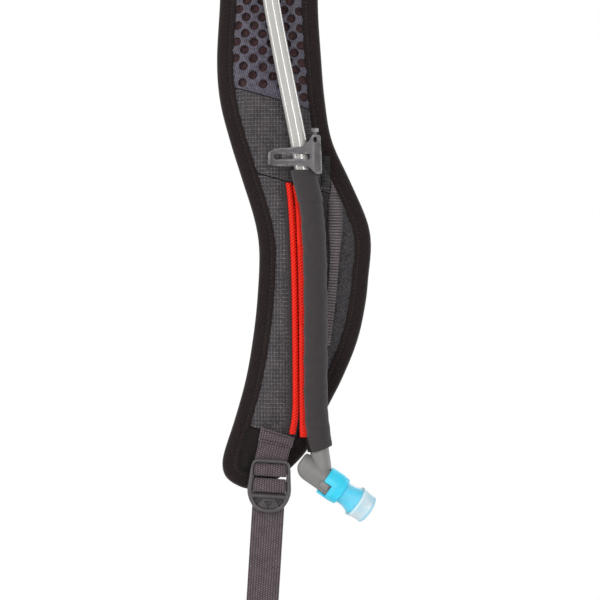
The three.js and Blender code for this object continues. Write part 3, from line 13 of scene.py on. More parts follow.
import bmesh
import bpy
from mathutils import Matrix, Vector
from mathutils.geometry import delaunay_2d_cdt
import numpy as np
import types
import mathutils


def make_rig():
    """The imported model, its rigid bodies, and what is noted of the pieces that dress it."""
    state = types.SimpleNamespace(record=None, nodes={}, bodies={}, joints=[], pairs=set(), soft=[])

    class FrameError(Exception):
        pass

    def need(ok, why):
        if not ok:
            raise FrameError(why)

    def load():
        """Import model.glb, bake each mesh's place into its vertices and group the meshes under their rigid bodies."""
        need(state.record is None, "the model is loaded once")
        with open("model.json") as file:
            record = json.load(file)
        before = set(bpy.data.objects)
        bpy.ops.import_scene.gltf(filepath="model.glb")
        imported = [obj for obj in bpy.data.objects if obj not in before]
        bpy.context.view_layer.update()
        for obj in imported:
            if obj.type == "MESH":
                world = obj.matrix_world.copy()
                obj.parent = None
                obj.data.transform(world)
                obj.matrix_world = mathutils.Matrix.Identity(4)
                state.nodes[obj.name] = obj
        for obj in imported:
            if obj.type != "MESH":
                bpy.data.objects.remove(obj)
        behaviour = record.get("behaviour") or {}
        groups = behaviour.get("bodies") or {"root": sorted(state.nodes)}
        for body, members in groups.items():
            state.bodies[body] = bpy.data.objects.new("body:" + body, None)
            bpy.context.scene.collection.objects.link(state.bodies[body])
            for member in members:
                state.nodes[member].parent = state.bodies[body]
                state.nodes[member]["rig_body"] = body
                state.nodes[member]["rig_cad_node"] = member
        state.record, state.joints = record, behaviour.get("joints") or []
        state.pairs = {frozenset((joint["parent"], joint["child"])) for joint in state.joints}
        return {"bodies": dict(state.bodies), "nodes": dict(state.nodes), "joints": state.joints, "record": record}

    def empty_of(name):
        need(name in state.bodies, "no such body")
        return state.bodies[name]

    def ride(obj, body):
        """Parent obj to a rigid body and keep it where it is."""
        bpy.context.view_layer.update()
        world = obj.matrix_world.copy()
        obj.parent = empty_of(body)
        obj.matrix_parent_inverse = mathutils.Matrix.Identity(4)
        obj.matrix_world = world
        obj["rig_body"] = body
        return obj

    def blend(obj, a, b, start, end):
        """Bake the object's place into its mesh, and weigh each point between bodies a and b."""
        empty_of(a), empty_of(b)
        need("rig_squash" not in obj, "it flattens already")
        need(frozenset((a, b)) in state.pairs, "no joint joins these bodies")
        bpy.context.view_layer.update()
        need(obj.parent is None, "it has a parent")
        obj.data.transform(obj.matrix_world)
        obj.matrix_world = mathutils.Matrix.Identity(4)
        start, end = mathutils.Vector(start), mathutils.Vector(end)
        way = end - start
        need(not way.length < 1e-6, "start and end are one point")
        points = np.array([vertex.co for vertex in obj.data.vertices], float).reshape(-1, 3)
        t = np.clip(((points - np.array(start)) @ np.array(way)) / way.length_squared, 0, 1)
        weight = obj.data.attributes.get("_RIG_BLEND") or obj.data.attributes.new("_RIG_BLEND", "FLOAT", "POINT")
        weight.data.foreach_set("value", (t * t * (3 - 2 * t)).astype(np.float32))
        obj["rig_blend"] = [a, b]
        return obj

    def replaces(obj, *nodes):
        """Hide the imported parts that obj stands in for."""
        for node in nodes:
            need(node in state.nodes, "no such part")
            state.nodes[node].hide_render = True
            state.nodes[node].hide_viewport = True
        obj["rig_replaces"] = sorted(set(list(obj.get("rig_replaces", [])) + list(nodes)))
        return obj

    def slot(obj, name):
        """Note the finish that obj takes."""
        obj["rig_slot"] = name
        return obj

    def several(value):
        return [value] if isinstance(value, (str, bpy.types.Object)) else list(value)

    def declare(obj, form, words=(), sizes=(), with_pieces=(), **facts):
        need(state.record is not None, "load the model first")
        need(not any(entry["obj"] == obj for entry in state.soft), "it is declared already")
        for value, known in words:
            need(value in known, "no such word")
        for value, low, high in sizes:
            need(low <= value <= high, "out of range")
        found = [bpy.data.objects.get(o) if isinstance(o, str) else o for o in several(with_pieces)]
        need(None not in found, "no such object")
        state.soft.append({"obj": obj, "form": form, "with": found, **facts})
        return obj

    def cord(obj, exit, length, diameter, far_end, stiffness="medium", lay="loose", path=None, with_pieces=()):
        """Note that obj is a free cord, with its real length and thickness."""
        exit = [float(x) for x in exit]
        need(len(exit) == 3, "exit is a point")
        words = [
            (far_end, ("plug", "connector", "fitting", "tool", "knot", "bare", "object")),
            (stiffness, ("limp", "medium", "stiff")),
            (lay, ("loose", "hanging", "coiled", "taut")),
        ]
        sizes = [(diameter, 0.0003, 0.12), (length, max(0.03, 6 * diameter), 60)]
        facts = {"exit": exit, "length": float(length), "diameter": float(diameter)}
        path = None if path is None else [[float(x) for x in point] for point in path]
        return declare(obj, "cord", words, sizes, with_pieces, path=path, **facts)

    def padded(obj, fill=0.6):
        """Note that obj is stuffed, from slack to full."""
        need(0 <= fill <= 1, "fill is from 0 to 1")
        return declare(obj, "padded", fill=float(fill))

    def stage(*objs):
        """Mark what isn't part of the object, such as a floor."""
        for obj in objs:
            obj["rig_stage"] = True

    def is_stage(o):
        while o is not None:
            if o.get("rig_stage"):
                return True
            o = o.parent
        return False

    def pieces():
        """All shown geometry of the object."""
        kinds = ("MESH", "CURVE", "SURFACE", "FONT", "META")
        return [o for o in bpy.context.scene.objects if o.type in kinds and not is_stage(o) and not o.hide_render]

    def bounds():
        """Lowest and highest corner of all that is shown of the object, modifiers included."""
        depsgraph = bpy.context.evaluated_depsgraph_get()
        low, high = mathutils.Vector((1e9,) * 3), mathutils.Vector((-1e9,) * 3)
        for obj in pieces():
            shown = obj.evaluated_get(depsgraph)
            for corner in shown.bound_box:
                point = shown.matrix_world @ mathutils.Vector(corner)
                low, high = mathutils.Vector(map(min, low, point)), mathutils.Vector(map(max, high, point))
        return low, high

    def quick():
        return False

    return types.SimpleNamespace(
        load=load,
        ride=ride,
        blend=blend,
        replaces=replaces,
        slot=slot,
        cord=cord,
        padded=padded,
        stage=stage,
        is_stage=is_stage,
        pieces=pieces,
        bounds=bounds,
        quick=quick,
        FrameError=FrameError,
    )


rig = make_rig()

LOG = logging.getLogger("shoulder_strap")
MM = 0.001
Pair = tuple[float, float]
Triple = tuple[float, float, float]
Colour = tuple[int, int, int]
Array = np.ndarray
Piece = bpy.types.Object
Material = bpy.types.Material
Node = bpy.types.Node
Socket = bpy.types.NodeSocket
SLEEVE_BODIES = ("strap", "sleeve_1", "sleeve_2", "sleeve_3")


class Slot(Enum):
    """Material slots of the record that the pieces take their finish from."""

    BINDING = "black_binding"
    SPACER = "spacer_mesh"
    RIPSTOP = "ripstop"
    STRETCH = "stretch_cloth"
    FOAM = "foam"
    BACK = "back_mesh"
    WEBBING = "webbing"
    HOSE = "hose_plastic"
    SLEEVE = "sleeve_cloth"
    PIPING = "red_piping"
    MAGNET = "magnet"
    CLIP = "clip_plastic"
    ELBOW = "elbow_plastic"
    COLLAR = "collar_plastic"
    SILICONE = "valve_silicone"
    SEAL = "seal_rubber"


def srgb(colour: Colour, share: float = 1.0) -> tuple[float, float, float, float]:
    """Turn a screen colour into the linear colour that shaders read.

    Args:
        colour: Red, green and blue from 0 to 255.
        share: Share of its light that is kept.

    Returns:
        The linear colour with full alpha.
    """
    red, green, blue = (share * (c / 12.92 if c <= 0.04045 else ((c + 0.055) / 1.055) ** 2.4)
                        for c in (value / 255 for value in colour))
    return red, green, blue, 1.0


def smooth_through(points: Sequence[Pair]) -> Callable[[float], float]:
    """Make a smooth curve through given pairs.

    Args:
        points: Pairs of place and value, in rising order of place.

    Returns:
        A function that gives the value at any place.
    """
    last = len(points) - 1
    slopes = []
    for i in range(last + 1):
        before, after = points[max(i - 1, 0)], points[min(i + 1, last)]
        slopes.append((after[1] - before[1]) / (after[0] - before[0]))

    def value(t: float) -> float:
        i = 0
        while i < last - 1 and t > points[i + 1][0]:
            i += 1
        span = points[i + 1][0] - points[i][0]
        s = min(max((t - points[i][0]) / span, 0.0), 1.0)
        a, b = s * s, s * s * s
        return ((2 * b - 3 * a + 1) * points[i][1] + (b - 2 * a + s) * span * slopes[i]
                + (3 * a - 2 * b) * points[i + 1][1] + (b - a) * span * slopes[i + 1])
    return value


def soften(points: Sequence[Vector], steps: int) -> list[Vector]:
    """Curve through points, with more points between them.

    Args:
        points: Points that the line passes through.
        steps: New points for each span.

    Returns:
        The closer points.
    """
    ends = [points[0] * 2 - points[1], *points, points[-1] * 2 - points[-2]]
    made: list[Vector] = []
    for span in zip(ends, ends[1:], ends[2:], ends[3:]):
        knots = [0.0]
        for a, b in zip(span, span[1:]):
            knots.append(knots[-1] + max((b - a).length, 1e-6) ** 0.5)

        def between(a: Vector, b: Vector, i: int, j: int, at: float) -> Vector:
            """Point between two points, by the knots that they belong to."""
            share = (at - knots[i]) / (knots[j] - knots[i])
            return a * (1 - share) + b * share
        for step in range(steps):
            at = knots[1] + (knots[2] - knots[1]) * step / steps
            first = [between(span[i], span[i + 1], i, i + 1, at) for i in range(3)]
            second = [between(first[i], first[i + 1], i, i + 2, at) for i in range(2)]
            made.append(between(second[0], second[1], 1, 2, at))
    made.append(points[-1])
    return made


def lengths(line: Array) -> Array:
    """Length along a line at each of its points."""
    return np.concatenate([[0], np.cumsum(np.linalg.norm(np.diff(line, axis=0), axis=1))])


def evened(line: Array, step: float, rounds: int) -> Array:
    """Space the points of a line evenly, and smooth it between its ends.

    Args:
        line: Points of the line.
        step: Rough spacing of the new points.
        rounds: How often the line is smoothed.

    Returns:
        The new points.
    """
    keep = np.concatenate([[True], np.diff(lengths(line)) > 1e-6])
    along = lengths(line)[keep]
    places = np.linspace(0, along[-1], max(int(along[-1] / step), 8))
    points = np.stack([np.interp(places, along, line[keep, i]) for i in (0, 1)], 1)
    for _ in range(rounds):
        middle = points[1:-1] * 0.5 + (points[:-2] + points[2:]) * 0.25
        points = np.vstack([points[:1], middle, points[-1:]])
    return points


def around(count: int) -> list[float]:
    """Angles in radians of points that are spread evenly round a circle."""
    return [2 * math.pi * k / count for k in range(count)]


def arc(start: float, end: float, count: int) -> list[float]:
    """Even angles in radians between two angles in degrees, with both ends."""
    return [math.radians(start + (end - start) * k / (count - 1)) for k in range(count)]


def polar(radius: float, angle: float) -> Pair:
    """Place of a point at a radius and an angle in radians."""
    return radius * math.cos(angle), radius * math.sin(angle)


@dataclass(frozen=True)
class StrapShape:
    """Outline, thickness and running lines of the strap, as the solids have them."""

    length: float = 435.0
    width: float = 60.0
    binding: float = 10.0
    gap: float = 0.3
    layer: float = 0.4
    cloth: float = 1.0
    mesh: float = 2.4
    edge: float = 2.4
    crown: float = 5.8
    crown_rise: float = 8.0
    back_crown: float = 2.6
    back_cloth: float = 1.2
    tab: float = 16.0
    hose_depth: float = 17.3
    hose_radius: float = 5.0
    hose_bore: float = 3.2
    seam_fall: float = 0.284
    left_shares: tuple[Pair, ...] = (
        (0, -0.417), (0.159, -0.45), (0.324, -0.485), (0.407, -0.515), (0.462, -0.485),
        (0.517, -0.385), (0.572, -0.26), (0.628, -0.135), (0.669, -0.09), (0.738, -0.11),
        (0.793, -0.155), (0.848, -0.225), (0.903, -0.335), (0.955, -0.455),
        (0.972, -0.46), (0.987, -0.41), (1, -0.24))
    right_shares: tuple[Pair, ...] = (
        (0, 0.55), (0.159, 0.517), (0.324, 0.5), (0.407, 0.535), (0.462, 0.57),
        (0.517, 0.64), (0.572, 0.82), (0.628, 0.995), (0.66, 1.035), (0.71, 1.005),
        (0.738, 0.985), (0.793, 0.9), (0.848, 0.74), (0.892, 0.577), (0.945, 0.398),
        (0.971, 0.227), (0.989, 0.07), (1, -0.08))
    hose_run: tuple[Pair, ...] = (
        (0, 3), (20, 1.6), (42, -0.4), (65, -1.8), (95, -2), (120, -0.6), (141, 1.8),
        (177, 8.4), (201, 13.2), (225, 18), (243.6, 21), (264.6, 25.8), (291, 27.9),
        (312, 28.4), (336, 28.6), (360, 28.6), (385, 28.9), (411, 30.9))
    piping_run: tuple[Pair, ...] = (
        (250.8, 12.3), (262, 13.6), (285, 15), (321, 16), (381, 16.5), (392, 15.9),
        (401.4, 14.3))
    sleeve_piping_run: tuple[Pair, ...] = (
        (252, 16.2), (264.6, 18), (285, 19.1), (321, 20.1), (381, 20.6), (403, 20.8))

    def left(self, z: float) -> float:
        """Left edge at a height."""
        return smooth_through(self.left_shares)(-z / self.length) * self.width

    def right(self, z: float) -> float:
        """Right edge at a height."""
        return smooth_through(self.right_shares)(-z / self.length) * self.width

    def hose_x(self, z: float) -> float:
        """Place across of the hose's centre line."""
        return smooth_through(self.hose_run)(-z)

    def piping_x(self, z: float) -> float:
        """Place across of the strap piping."""
        return smooth_through(self.piping_run)(-z)

    def sleeve_piping_x(self, z: float) -> float:
        """Place across of the sleeve piping."""
        return smooth_through(self.sleeve_piping_run)(-z)

    def outline(self, step: float = 2.0) -> Array:
        """Points of the whole edge, down the left side, round the foot and up the right.

        Args:
            step: Rough spacing of the points.

        Returns:
            An array of places across and heights.
        """
        heights = np.linspace(0, -self.length, 260)
        left = [(self.left(z), z) for z in heights]
        right = [(self.right(z), z) for z in heights[::-1]]
        return evened(np.array(left + right), step, 4)


SHAPE = StrapShape()


def nearest(points: Array, line: Array,
            closed: bool = False) -> tuple[Array, Array]:
    """Least distance of points from a line, and how far along it they lie.

    Args:
        points: Places across and heights.
        line: Points of the line.
        closed: Whether its last point joins the first.

    Returns:
        The distances and the lengths along the line.
    """
    starts = line if closed else line[:-1]
    ways = (np.roll(line, -1, 0) if closed else line[1:]) - starts
    sizes = np.maximum((ways ** 2).sum(1), 1e-12)
    steps = np.sqrt(sizes)
    begins = np.cumsum(steps) - steps
    gaps, along = [], []
    for chunk in np.array_split(points, len(points) // 3000 + 1):
        to = chunk[:, None, :] - starts[None]
        t = np.clip((to * ways).sum(2) / sizes, 0, 1)
        rest = to - t[..., None] * ways
        away = np.hypot(rest[..., 0], rest[..., 1])
        best = away.argmin(1)
        row = np.arange(len(chunk))
        gaps.append(away[row, best])
        along.append(begins[best] + t[row, best] * steps[best])
    return np.concatenate(gaps), np.concatenate(along)


@dataclass
class PadSurface:
    """Heights of the padding over the strap's middle plane."""

    shape: StrapShape = SHAPE
    edge_line: Array = field(default_factory=lambda: SHAPE.outline(2.0))
    relief: Array | None = None
    relief_cell: float = 4.0
    relief_corner: Pair = (-60.0, -450.0)
    relief_cells: tuple[int, int] = (45, 120)

    def edge_distance(self, points: Array) -> Array:
        """How far points lie inside the strap's edge, and the top seam.

        Args:
            points: Places across and heights.

        Returns:
            One distance for each point.
        """
        top = -points[:, 1] - self.shape.tab + self.shape.binding
        return np.minimum(nearest(points, self.edge_line)[0], top)

    def rise(self, points: Array) -> Array:
        """Share of the crown that the padding has reached at each point."""
        inward = self.edge_distance(points) - self.shape.binding - self.shape.gap
        share = np.clip(inward / self.shape.crown_rise, 0, 1)
        return np.sin(share * math.pi / 2)

    def take_relief(self, places: Array, depth: Array) -> None:
        """Remember how far the padding swelled, as smoothed values on a coarse grid.

        Args:
            places: Places across and heights.
            depth: Swelling at each place.
        """
        total, count = np.zeros(self.relief_cells), np.zeros(self.relief_cells)
        cells = ((places - self.relief_corner) / self.relief_cell).astype(int)
        cells = np.clip(cells, 0, np.array(self.relief_cells) - 1)
        np.add.at(total, (cells[:, 0], cells[:, 1]), depth)
        np.add.at(count, (cells[:, 0], cells[:, 1]), 1)
        for _ in range(3):
            for axis in (0, 1):
                total, count = (grid * 0.5 + (np.roll(grid, 1, axis) + np.roll(grid, -1, axis)) * 0.25
                                for grid in (total, count))
        self.relief = total / np.maximum(count, 0.05)

    def swelling(self, points: Array) -> Array:
        """Swelling of the padding at places, between the grid's values.

        Args:
            points: Places across and heights.

        Returns:
            One height for each place.
        """
        if self.relief is None:
            return np.zeros(len(points))
        at = (points - self.relief_corner) / self.relief_cell - 0.5
        low = np.clip(np.floor(at).astype(int), 0, np.array(self.relief_cells) - 2)
        share = np.clip(at - low, 0, 1)
        values = 0.0
        for i in (0, 1):
            for k in (0, 1):
                weight = np.abs(1 - i - share[:, 0]) * np.abs(1 - k - share[:, 1])
                values = values + weight * self.relief[low[:, 0] + i, low[:, 1] + k]
        return values

    def front(self, points: Array) -> Array:
        """Depth of the foam's front at each point."""
        crown = self.shape.edge / 2 + self.shape.crown * self.rise(points)
        return crown + self.swelling(points)

    def back(self, points: Array) -> Array:
        """Depth behind the middle plane of the foam's back at each point."""
        return self.shape.edge / 2 + self.shape.back_crown * self.rise(points)

    def over(self, x: Array, z: Array) -> Array:
        """Depth of the foam's front under a grid of places."""
        return self.front(np.stack([x.ravel(), z.ravel()], 1)).reshape(x.shape)


@dataclass(frozen=True)
class Look:
    """A finish, and the material slot of the record that a piece takes with it."""

    material: Material
    slot: Slot

    def on(self, slot: Slot) -> "Look":
        """The same finish on another slot."""
        return Look(self.material, slot)


class MeshBook:
    """Makes Blender meshes from millimetre points, and dresses them."""

    @staticmethod
    def weave(mesh: bpy.types.Mesh, cloth: Sequence[Sequence[float]]) -> None:
        """Store the thread coordinates of a mesh's points."""
        attribute = mesh.attributes.new("cloth", "FLOAT_VECTOR", "POINT")
        attribute.data.foreach_set("vector", np.asarray(cloth, np.float32).ravel())

    @staticmethod
    def make(name: str, points: Sequence[Sequence[float]], faces: Sequence[Sequence[int]],
             look: Look, cloth: Sequence[Sequence[float]] | None = None,
             sharp: float | None = None, weld: bool = False) -> Piece:
        """Make one closed piece, with its faces turned outward.

        Args:
            name: Name of the piece.
            points: Places in millimetres in the frame of the part.
            faces: Lists of point numbers.
            look: Finish and slot of the piece.
            cloth: Thread coordinates of each point, in millimetres.
            sharp: Angle in degrees above which edges stay crisp, or none.
            weld: Whether points that lie in one place are joined.

        Returns:
            The new object.
        """
        mesh = bpy.data.meshes.new(name)
        mesh.from_pydata((np.asarray(points, dtype=float) * MM).tolist(), [],
                         [list(face) for face in faces])
        mesh.validate()
        if cloth is not None:
            MeshBook.weave(mesh, cloth)
        mesh.shade_smooth()
        mesh.materials.append(look.material)
        shell = bmesh.new()
        shell.from_mesh(mesh)
        if weld:
            bmesh.ops.remove_doubles(shell, verts=shell.verts, dist=1e-6)
        bmesh.ops.recalc_face_normals(shell, faces=shell.faces)
        shell.to_mesh(mesh)
        shell.free()
        if sharp is not None:
            mesh.set_sharp_from_angle(angle=math.radians(sharp))
        piece = bpy.data.objects.new(name, mesh)
        bpy.context.scene.collection.objects.link(piece)
        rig.slot(piece, look.slot.value)
        return piece

    @staticmethod
    def settled(piece: Piece) -> bpy.types.Mesh:
        """Give the mesh that a piece has after its modifiers."""
        graph = bpy.context.evaluated_depsgraph_get()
        return bpy.data.meshes.new_from_object(piece.evaluated_get(graph))


def ring_faces(rows: int, sides: int, start: int = 0, closed: bool = True) -> list[list[int]]:
    """List the faces between rows of ring points.

    Args:
        rows: Number of rows.
        sides: Points in each row.
        start: Number of the first point.
        closed: Whether each row closes on itself.

    Returns:
        Lists of four point numbers.
    """
    faces = []
    for r in range(rows - 1):
        for i in range(sides if closed else sides - 1):
            j = (i + 1) % sides
            a, b = start + r * sides + i, start + r * sides + j
            faces.append([a, b, b + sides, a + sides])
    return faces


def tube_faces(rows: int, sides: int, hollow: bool, start: int = 0) -> list[list[int]]:
    """List the faces of a tube, hollow or with filled ends.

    Args:
        rows: Number of rows.
        sides: Points in each row.
        hollow: Whether as many rows of its bore follow the outer ones.
        start: Number of the first point.

    Returns:
        Lists of point numbers.
    """
    faces = ring_faces(rows, sides, start)
    low, base = start + (rows - 1) * sides, rows * sides
    if not hollow:
        faces.append([start + k for k in range(sides)][::-1])
        faces.append([low + k for k in range(sides)])
        return faces
    faces += [face[::-1] for face in ring_faces(rows, sides, start + base)]
    for k in range(sides):
        j = (k + 1) % sides
        faces.append([start + j, start + k, start + base + k, start + base + j])
        faces.append([low + k, low + j, base + low + j, base + low + k])
    return faces


def skin_faces(triangles: Array, count: int) -> list[list[int]]:
    """List the faces of a closed skin: its front, its back and the rims between them.

    Args:
        triangles: Triangles of the front.
        count: Number of points of the front; the back's follow in the same order.

    Returns:
        Lists of point numbers.
    """
    pairs = {(int(t[i]), int(t[i - 2])): None for t in triangles for i in range(3)}
    faces = [list(t) for t in triangles] + [[c + count for c in t[::-1]] for t in triangles]
    return faces + [[b, a, a + count, b + count] for a, b in pairs if (b, a) not in pairs]


def oval(half_width: float, half_depth: float, sides: int) -> list[Pair]:
    """Points of an oval, square to the line that carries it."""
    return [(half_width * math.cos(a), half_depth * math.sin(a)) for a in around(sides)]


@dataclass
class LineSweep:
    """Carries a section down a line."""

    line: Callable[[float], float]
    depth: Callable[[float], float]
    level: bool = False
    start: float = 0.0

    def frame(self, z: float) -> tuple[Array, Array]:
        """Find where a row lies, and its sideways direction.

        Args:
            z: Height of the row.

        Returns:
            The centre of the line, and the direction: level, or square to the line.
        """
        across = np.array([1.0, 0.0, 0.0])
        if not self.level:
            way = np.array([self.line(z - 1) - self.line(z + 1), 0.0, -2.0])
            way /= np.linalg.norm(way)
            across = np.array([-way[2], 0.0, way[0]])
        return np.array([self.line(z), -self.depth(z), z]), across

    def rows(self, heights: Iterable[float],
             section: Callable[[float], Sequence[Pair]]) -> tuple[list, list]:
        """Points of a section at each height, with their thread coordinates.

        Args:
            heights: Heights, from the top down.
            section: Gives the section (across, forward) at a height.

        Returns:
            The points and their thread coordinates.
        """
        points, cloth = [], []
        travelled, before = self.start, None
        for z in heights:
            centre, across = self.frame(z)
            if before is not None:
                travelled += float(np.linalg.norm(centre - before))
            before = centre
            around_it, last = 0.0, None
            for u, v in section(z):
                if last is not None:
                    around_it += math.hypot(u - last[0], v - last[1])
                last = (u, v)
                points.append(centre + across * u + np.array([0.0, -v, 0.0]))
                cloth.append((around_it, -travelled, v))
        return points, cloth

    def tube(self, name: str, heights: Sequence[float],
             outer: Callable[[float], Sequence[Pair]], look: Look,
             inner: Callable[[float], Sequence[Pair]] | None = None,
             sharp: float | None = None,
             move: Callable[[Array], Array] | None = None) -> Piece:
        """Make a tube along the line, hollow or filled.

        Args:
            name: Name of the piece.
            heights: Heights of the rows.
            outer: Outer section at a height.
            look: Finish and slot of the piece.
            inner: Inner section at a height, or none for filled ends.
            sharp: Angle in degrees above which edges stay crisp, or none.
            move: Moves the points before they are joined.

        Returns:
            The new object.
        """
        points, cloth = self.rows(heights, outer)
        if inner is not None:
            hollow, threads = self.rows(heights, inner)
            points, cloth = points + hollow, cloth + threads
        faces = tube_faces(len(heights), len(outer(heights[0])), inner is not None)
        points = np.array(points) if move is None else move(np.array(points))
        return MeshBook.make(name, points, faces, look, cloth, sharp)


class Tree:
    """Small helper that adds and joins shader nodes."""

    def __init__(self, tree: bpy.types.NodeTree) -> None:
        """Hold the tree that nodes go into."""
        self.tree = tree

    def add(self, kind: str, **values: object) -> Node:
        """Add a node and set its properties."""
        node = self.tree.nodes.new(kind)
        for key, value in values.items():
            setattr(node, key, value)
        return node

    def join(self, source: Socket, target: Socket) -> None:
        """Join two sockets."""
        self.tree.links.new(source, target)

    def feed(self, socket: Socket, value: object) -> None:
        """Set a socket, or join it when the value is a socket."""
        if isinstance(value, Socket):
            self.join(value, socket)
        else:
            socket.default_value = value

    def math(self, operation: str, a: object, b: object = 0.0,
             c: object = 0.0) -> Socket:
        """Add a maths node and return its result."""
        node = self.add("ShaderNodeMath", operation=operation)
        for socket, value in zip(node.inputs, (a, b, c)):
            self.feed(socket, value)
        return node.outputs[0]

    def noise(self, vector: Socket, scale: object, detail: float, roughness: float) -> Socket:
        """Add a noise texture and return its factor."""
        node = self.add("ShaderNodeTexNoise")
        self.join(vector, node.inputs["Vector"])
        self.feed(node.inputs["Scale"], scale)
        node.inputs["Detail"].default_value = detail
        node.inputs["Roughness"].default_value = roughness
        return node.outputs["Fac"]

    def patches(self, vector: Socket, scale: float, detail: float, roughness: float,
                low: float, high: float) -> Socket:
        """Add noise, spread over 0 to 1 between two of its values."""
        return self.ramp(self.noise(vector, scale, detail, roughness), low, high)

    def split(self, vector: Socket) -> tuple[Socket, Socket, Socket]:
        """Split a vector into its X, Y and Z."""
        node = self.add("ShaderNodeSeparateXYZ")
        self.join(vector, node.inputs[0])
        return tuple(node.outputs)

    def mix(self, factor: object, first: object, second: object) -> Socket:
        """Mix two colours and return the result."""
        node = self.add("ShaderNodeMix", data_type="RGBA")
        self.feed(node.inputs["Factor"], factor)
        self.feed(node.inputs["A"], first)
        self.feed(node.inputs["B"], second)
        return node.outputs["Result"]

    def ramp(self, factor: Socket, low: float, high: float) -> Socket:
        """Spread a range of a value over 0 to 1, smoothly."""
        node = self.add("ShaderNodeMapRange", interpolation_type="SMOOTHSTEP")
        self.join(factor, node.inputs["Value"])
        node.inputs["From Min"].default_value = low
        node.inputs["From Max"].default_value = high
        return node.outputs["Result"]


def new_group(name: str, takes: Sequence[tuple[str, str, object]],
              gives: Sequence[tuple[str, str]]) -> tuple[bpy.types.NodeTree, Tree,
                                                         Node, Node]:
    """Make an empty shader group with named sockets.

    Args:
        name: Name of the group.
        takes: Name, kind and starting value of each input.
        gives: Name and kind of each output.

    Returns:
        The group, its tree helper, its input node and its output node.
    """
    group = bpy.data.node_groups.new(name, "ShaderNodeTree")
    for label, kind, value in takes:
        socket = group.interface.new_socket(label, in_out="INPUT", socket_type=kind)
        if value is not None:
            socket.default_value = value
    for label, kind in gives:
        group.interface.new_socket(label, in_out="OUTPUT", socket_type=kind)
    tree = Tree(group)
    return group, tree, tree.add("NodeGroupInput"), tree.add("NodeGroupOutput")


def weave_group() -> bpy.types.NodeTree:
    """Make the weave: crossing threads with a height and a thread mask.

    Returns:
        The shader group.
    """
    number, vector = "NodeSocketFloat", "NodeSocketVector"
    group, tree, takes, gives = new_group(
        "weave", [("Threads", vector, None), ("Across Pitch", number, 1.0),
                  ("Along Pitch", number, 1.0), ("Wander", number, 0.1)],
        [("Height", number), ("Dashes", number)])
    threads, wide, long, wander = (takes.outputs[i] for i in range(4))
    wobble = tree.add("ShaderNodeTexNoise")
    tree.join(threads, wobble.inputs["Vector"])
    wobble.inputs["Scale"].default_value = 0.35
    scale = tree.add("ShaderNodeCombineXYZ")
    for socket in scale.inputs:
        tree.join(wander, socket)
    shift = tree.add("ShaderNodeVectorMath", operation="MULTIPLY_ADD")
    for socket, source in zip(shift.inputs, (wobble.outputs["Color"], scale.outputs[0], threads)):
        tree.join(source, socket)
    across, along, _ = tree.split(shift.outputs[0])
    turns = [tree.math("DIVIDE", across, wide), tree.math("DIVIDE", along, long)]
    waves = [tree.math("SINE", tree.math("MULTIPLY", turn, math.pi)) for turn in turns]
    height = tree.math("MULTIPLY_ADD", tree.math("MULTIPLY", *waves), 0.5, 0.5)
    tree.join(height, gives.inputs["Height"])
    row = tree.math("MULTIPLY_ADD", tree.math("FLOOR", turns[0]), 0.5, turns[1])
    level = tree.math("ABSOLUTE", tree.math("SINE", tree.math("MULTIPLY", row, math.pi)))
    upright = tree.math("POWER", tree.math("ABSOLUTE", waves[0]), 0.7)
    tree.join(tree.math("MULTIPLY", upright, level), gives.inputs["Dashes"])
    return group


def grain_group() -> bpy.types.NodeTree:
    """Make the fine grain that moulded and dyed surfaces share.

    Returns:
        The shader group.
    """
    number = "NodeSocketFloat"
    group, tree, takes, gives = new_group(
        "grain", [("Scale", number, 900.0), ("Patch Scale", number, 60.0)],
        [("Height", number), ("Patches", number)])
    place = tree.add("ShaderNodeTexCoord")
    fine = tree.noise(place.outputs["Object"], takes.outputs["Scale"], 2.0, 0.6)
    patches = tree.noise(place.outputs["Object"], takes.outputs["Patch Scale"], 3.0, 0.55)
    tree.join(fine, gives.inputs["Height"])
    tree.join(tree.ramp(patches, 0.3, 0.7), gives.inputs["Patches"])
    return group


def wear_and_highlight_group() -> bpy.types.NodeTree:
    """Make the paler look of outer edges: rubbed wear, and a painted highlight along the rims.

    Returns:
        The shader group.
    """
    number = "NodeSocketFloat"
    group, tree, takes, gives = new_group(
        "edge_wear", [("Amount", number, 0.5)], [("Mask", number)])
    shape = tree.add("ShaderNodeNewGeometry")
    # Pointed rims turn paler: rubbed wear mixed with a painted highlight.
    edge = tree.ramp(shape.outputs["Pointiness"], 0.5, 0.56)
    place = tree.add("ShaderNodeTexCoord")
    broken = tree.patches(place.outputs["Object"], 260.0, 4.0, 0.6, 0.35, 0.65)
    tree.join(tree.math("MULTIPLY", tree.math("MULTIPLY", edge, broken),
                        takes.outputs["Amount"]), gives.inputs["Mask"])
    return group


class Groups:
    """The shared shader groups, made once."""

    def __init__(self) -> None:
        """Build every group."""
        self.weave = weave_group()
        self.grain = grain_group()
        self.wear = wear_and_highlight_group()


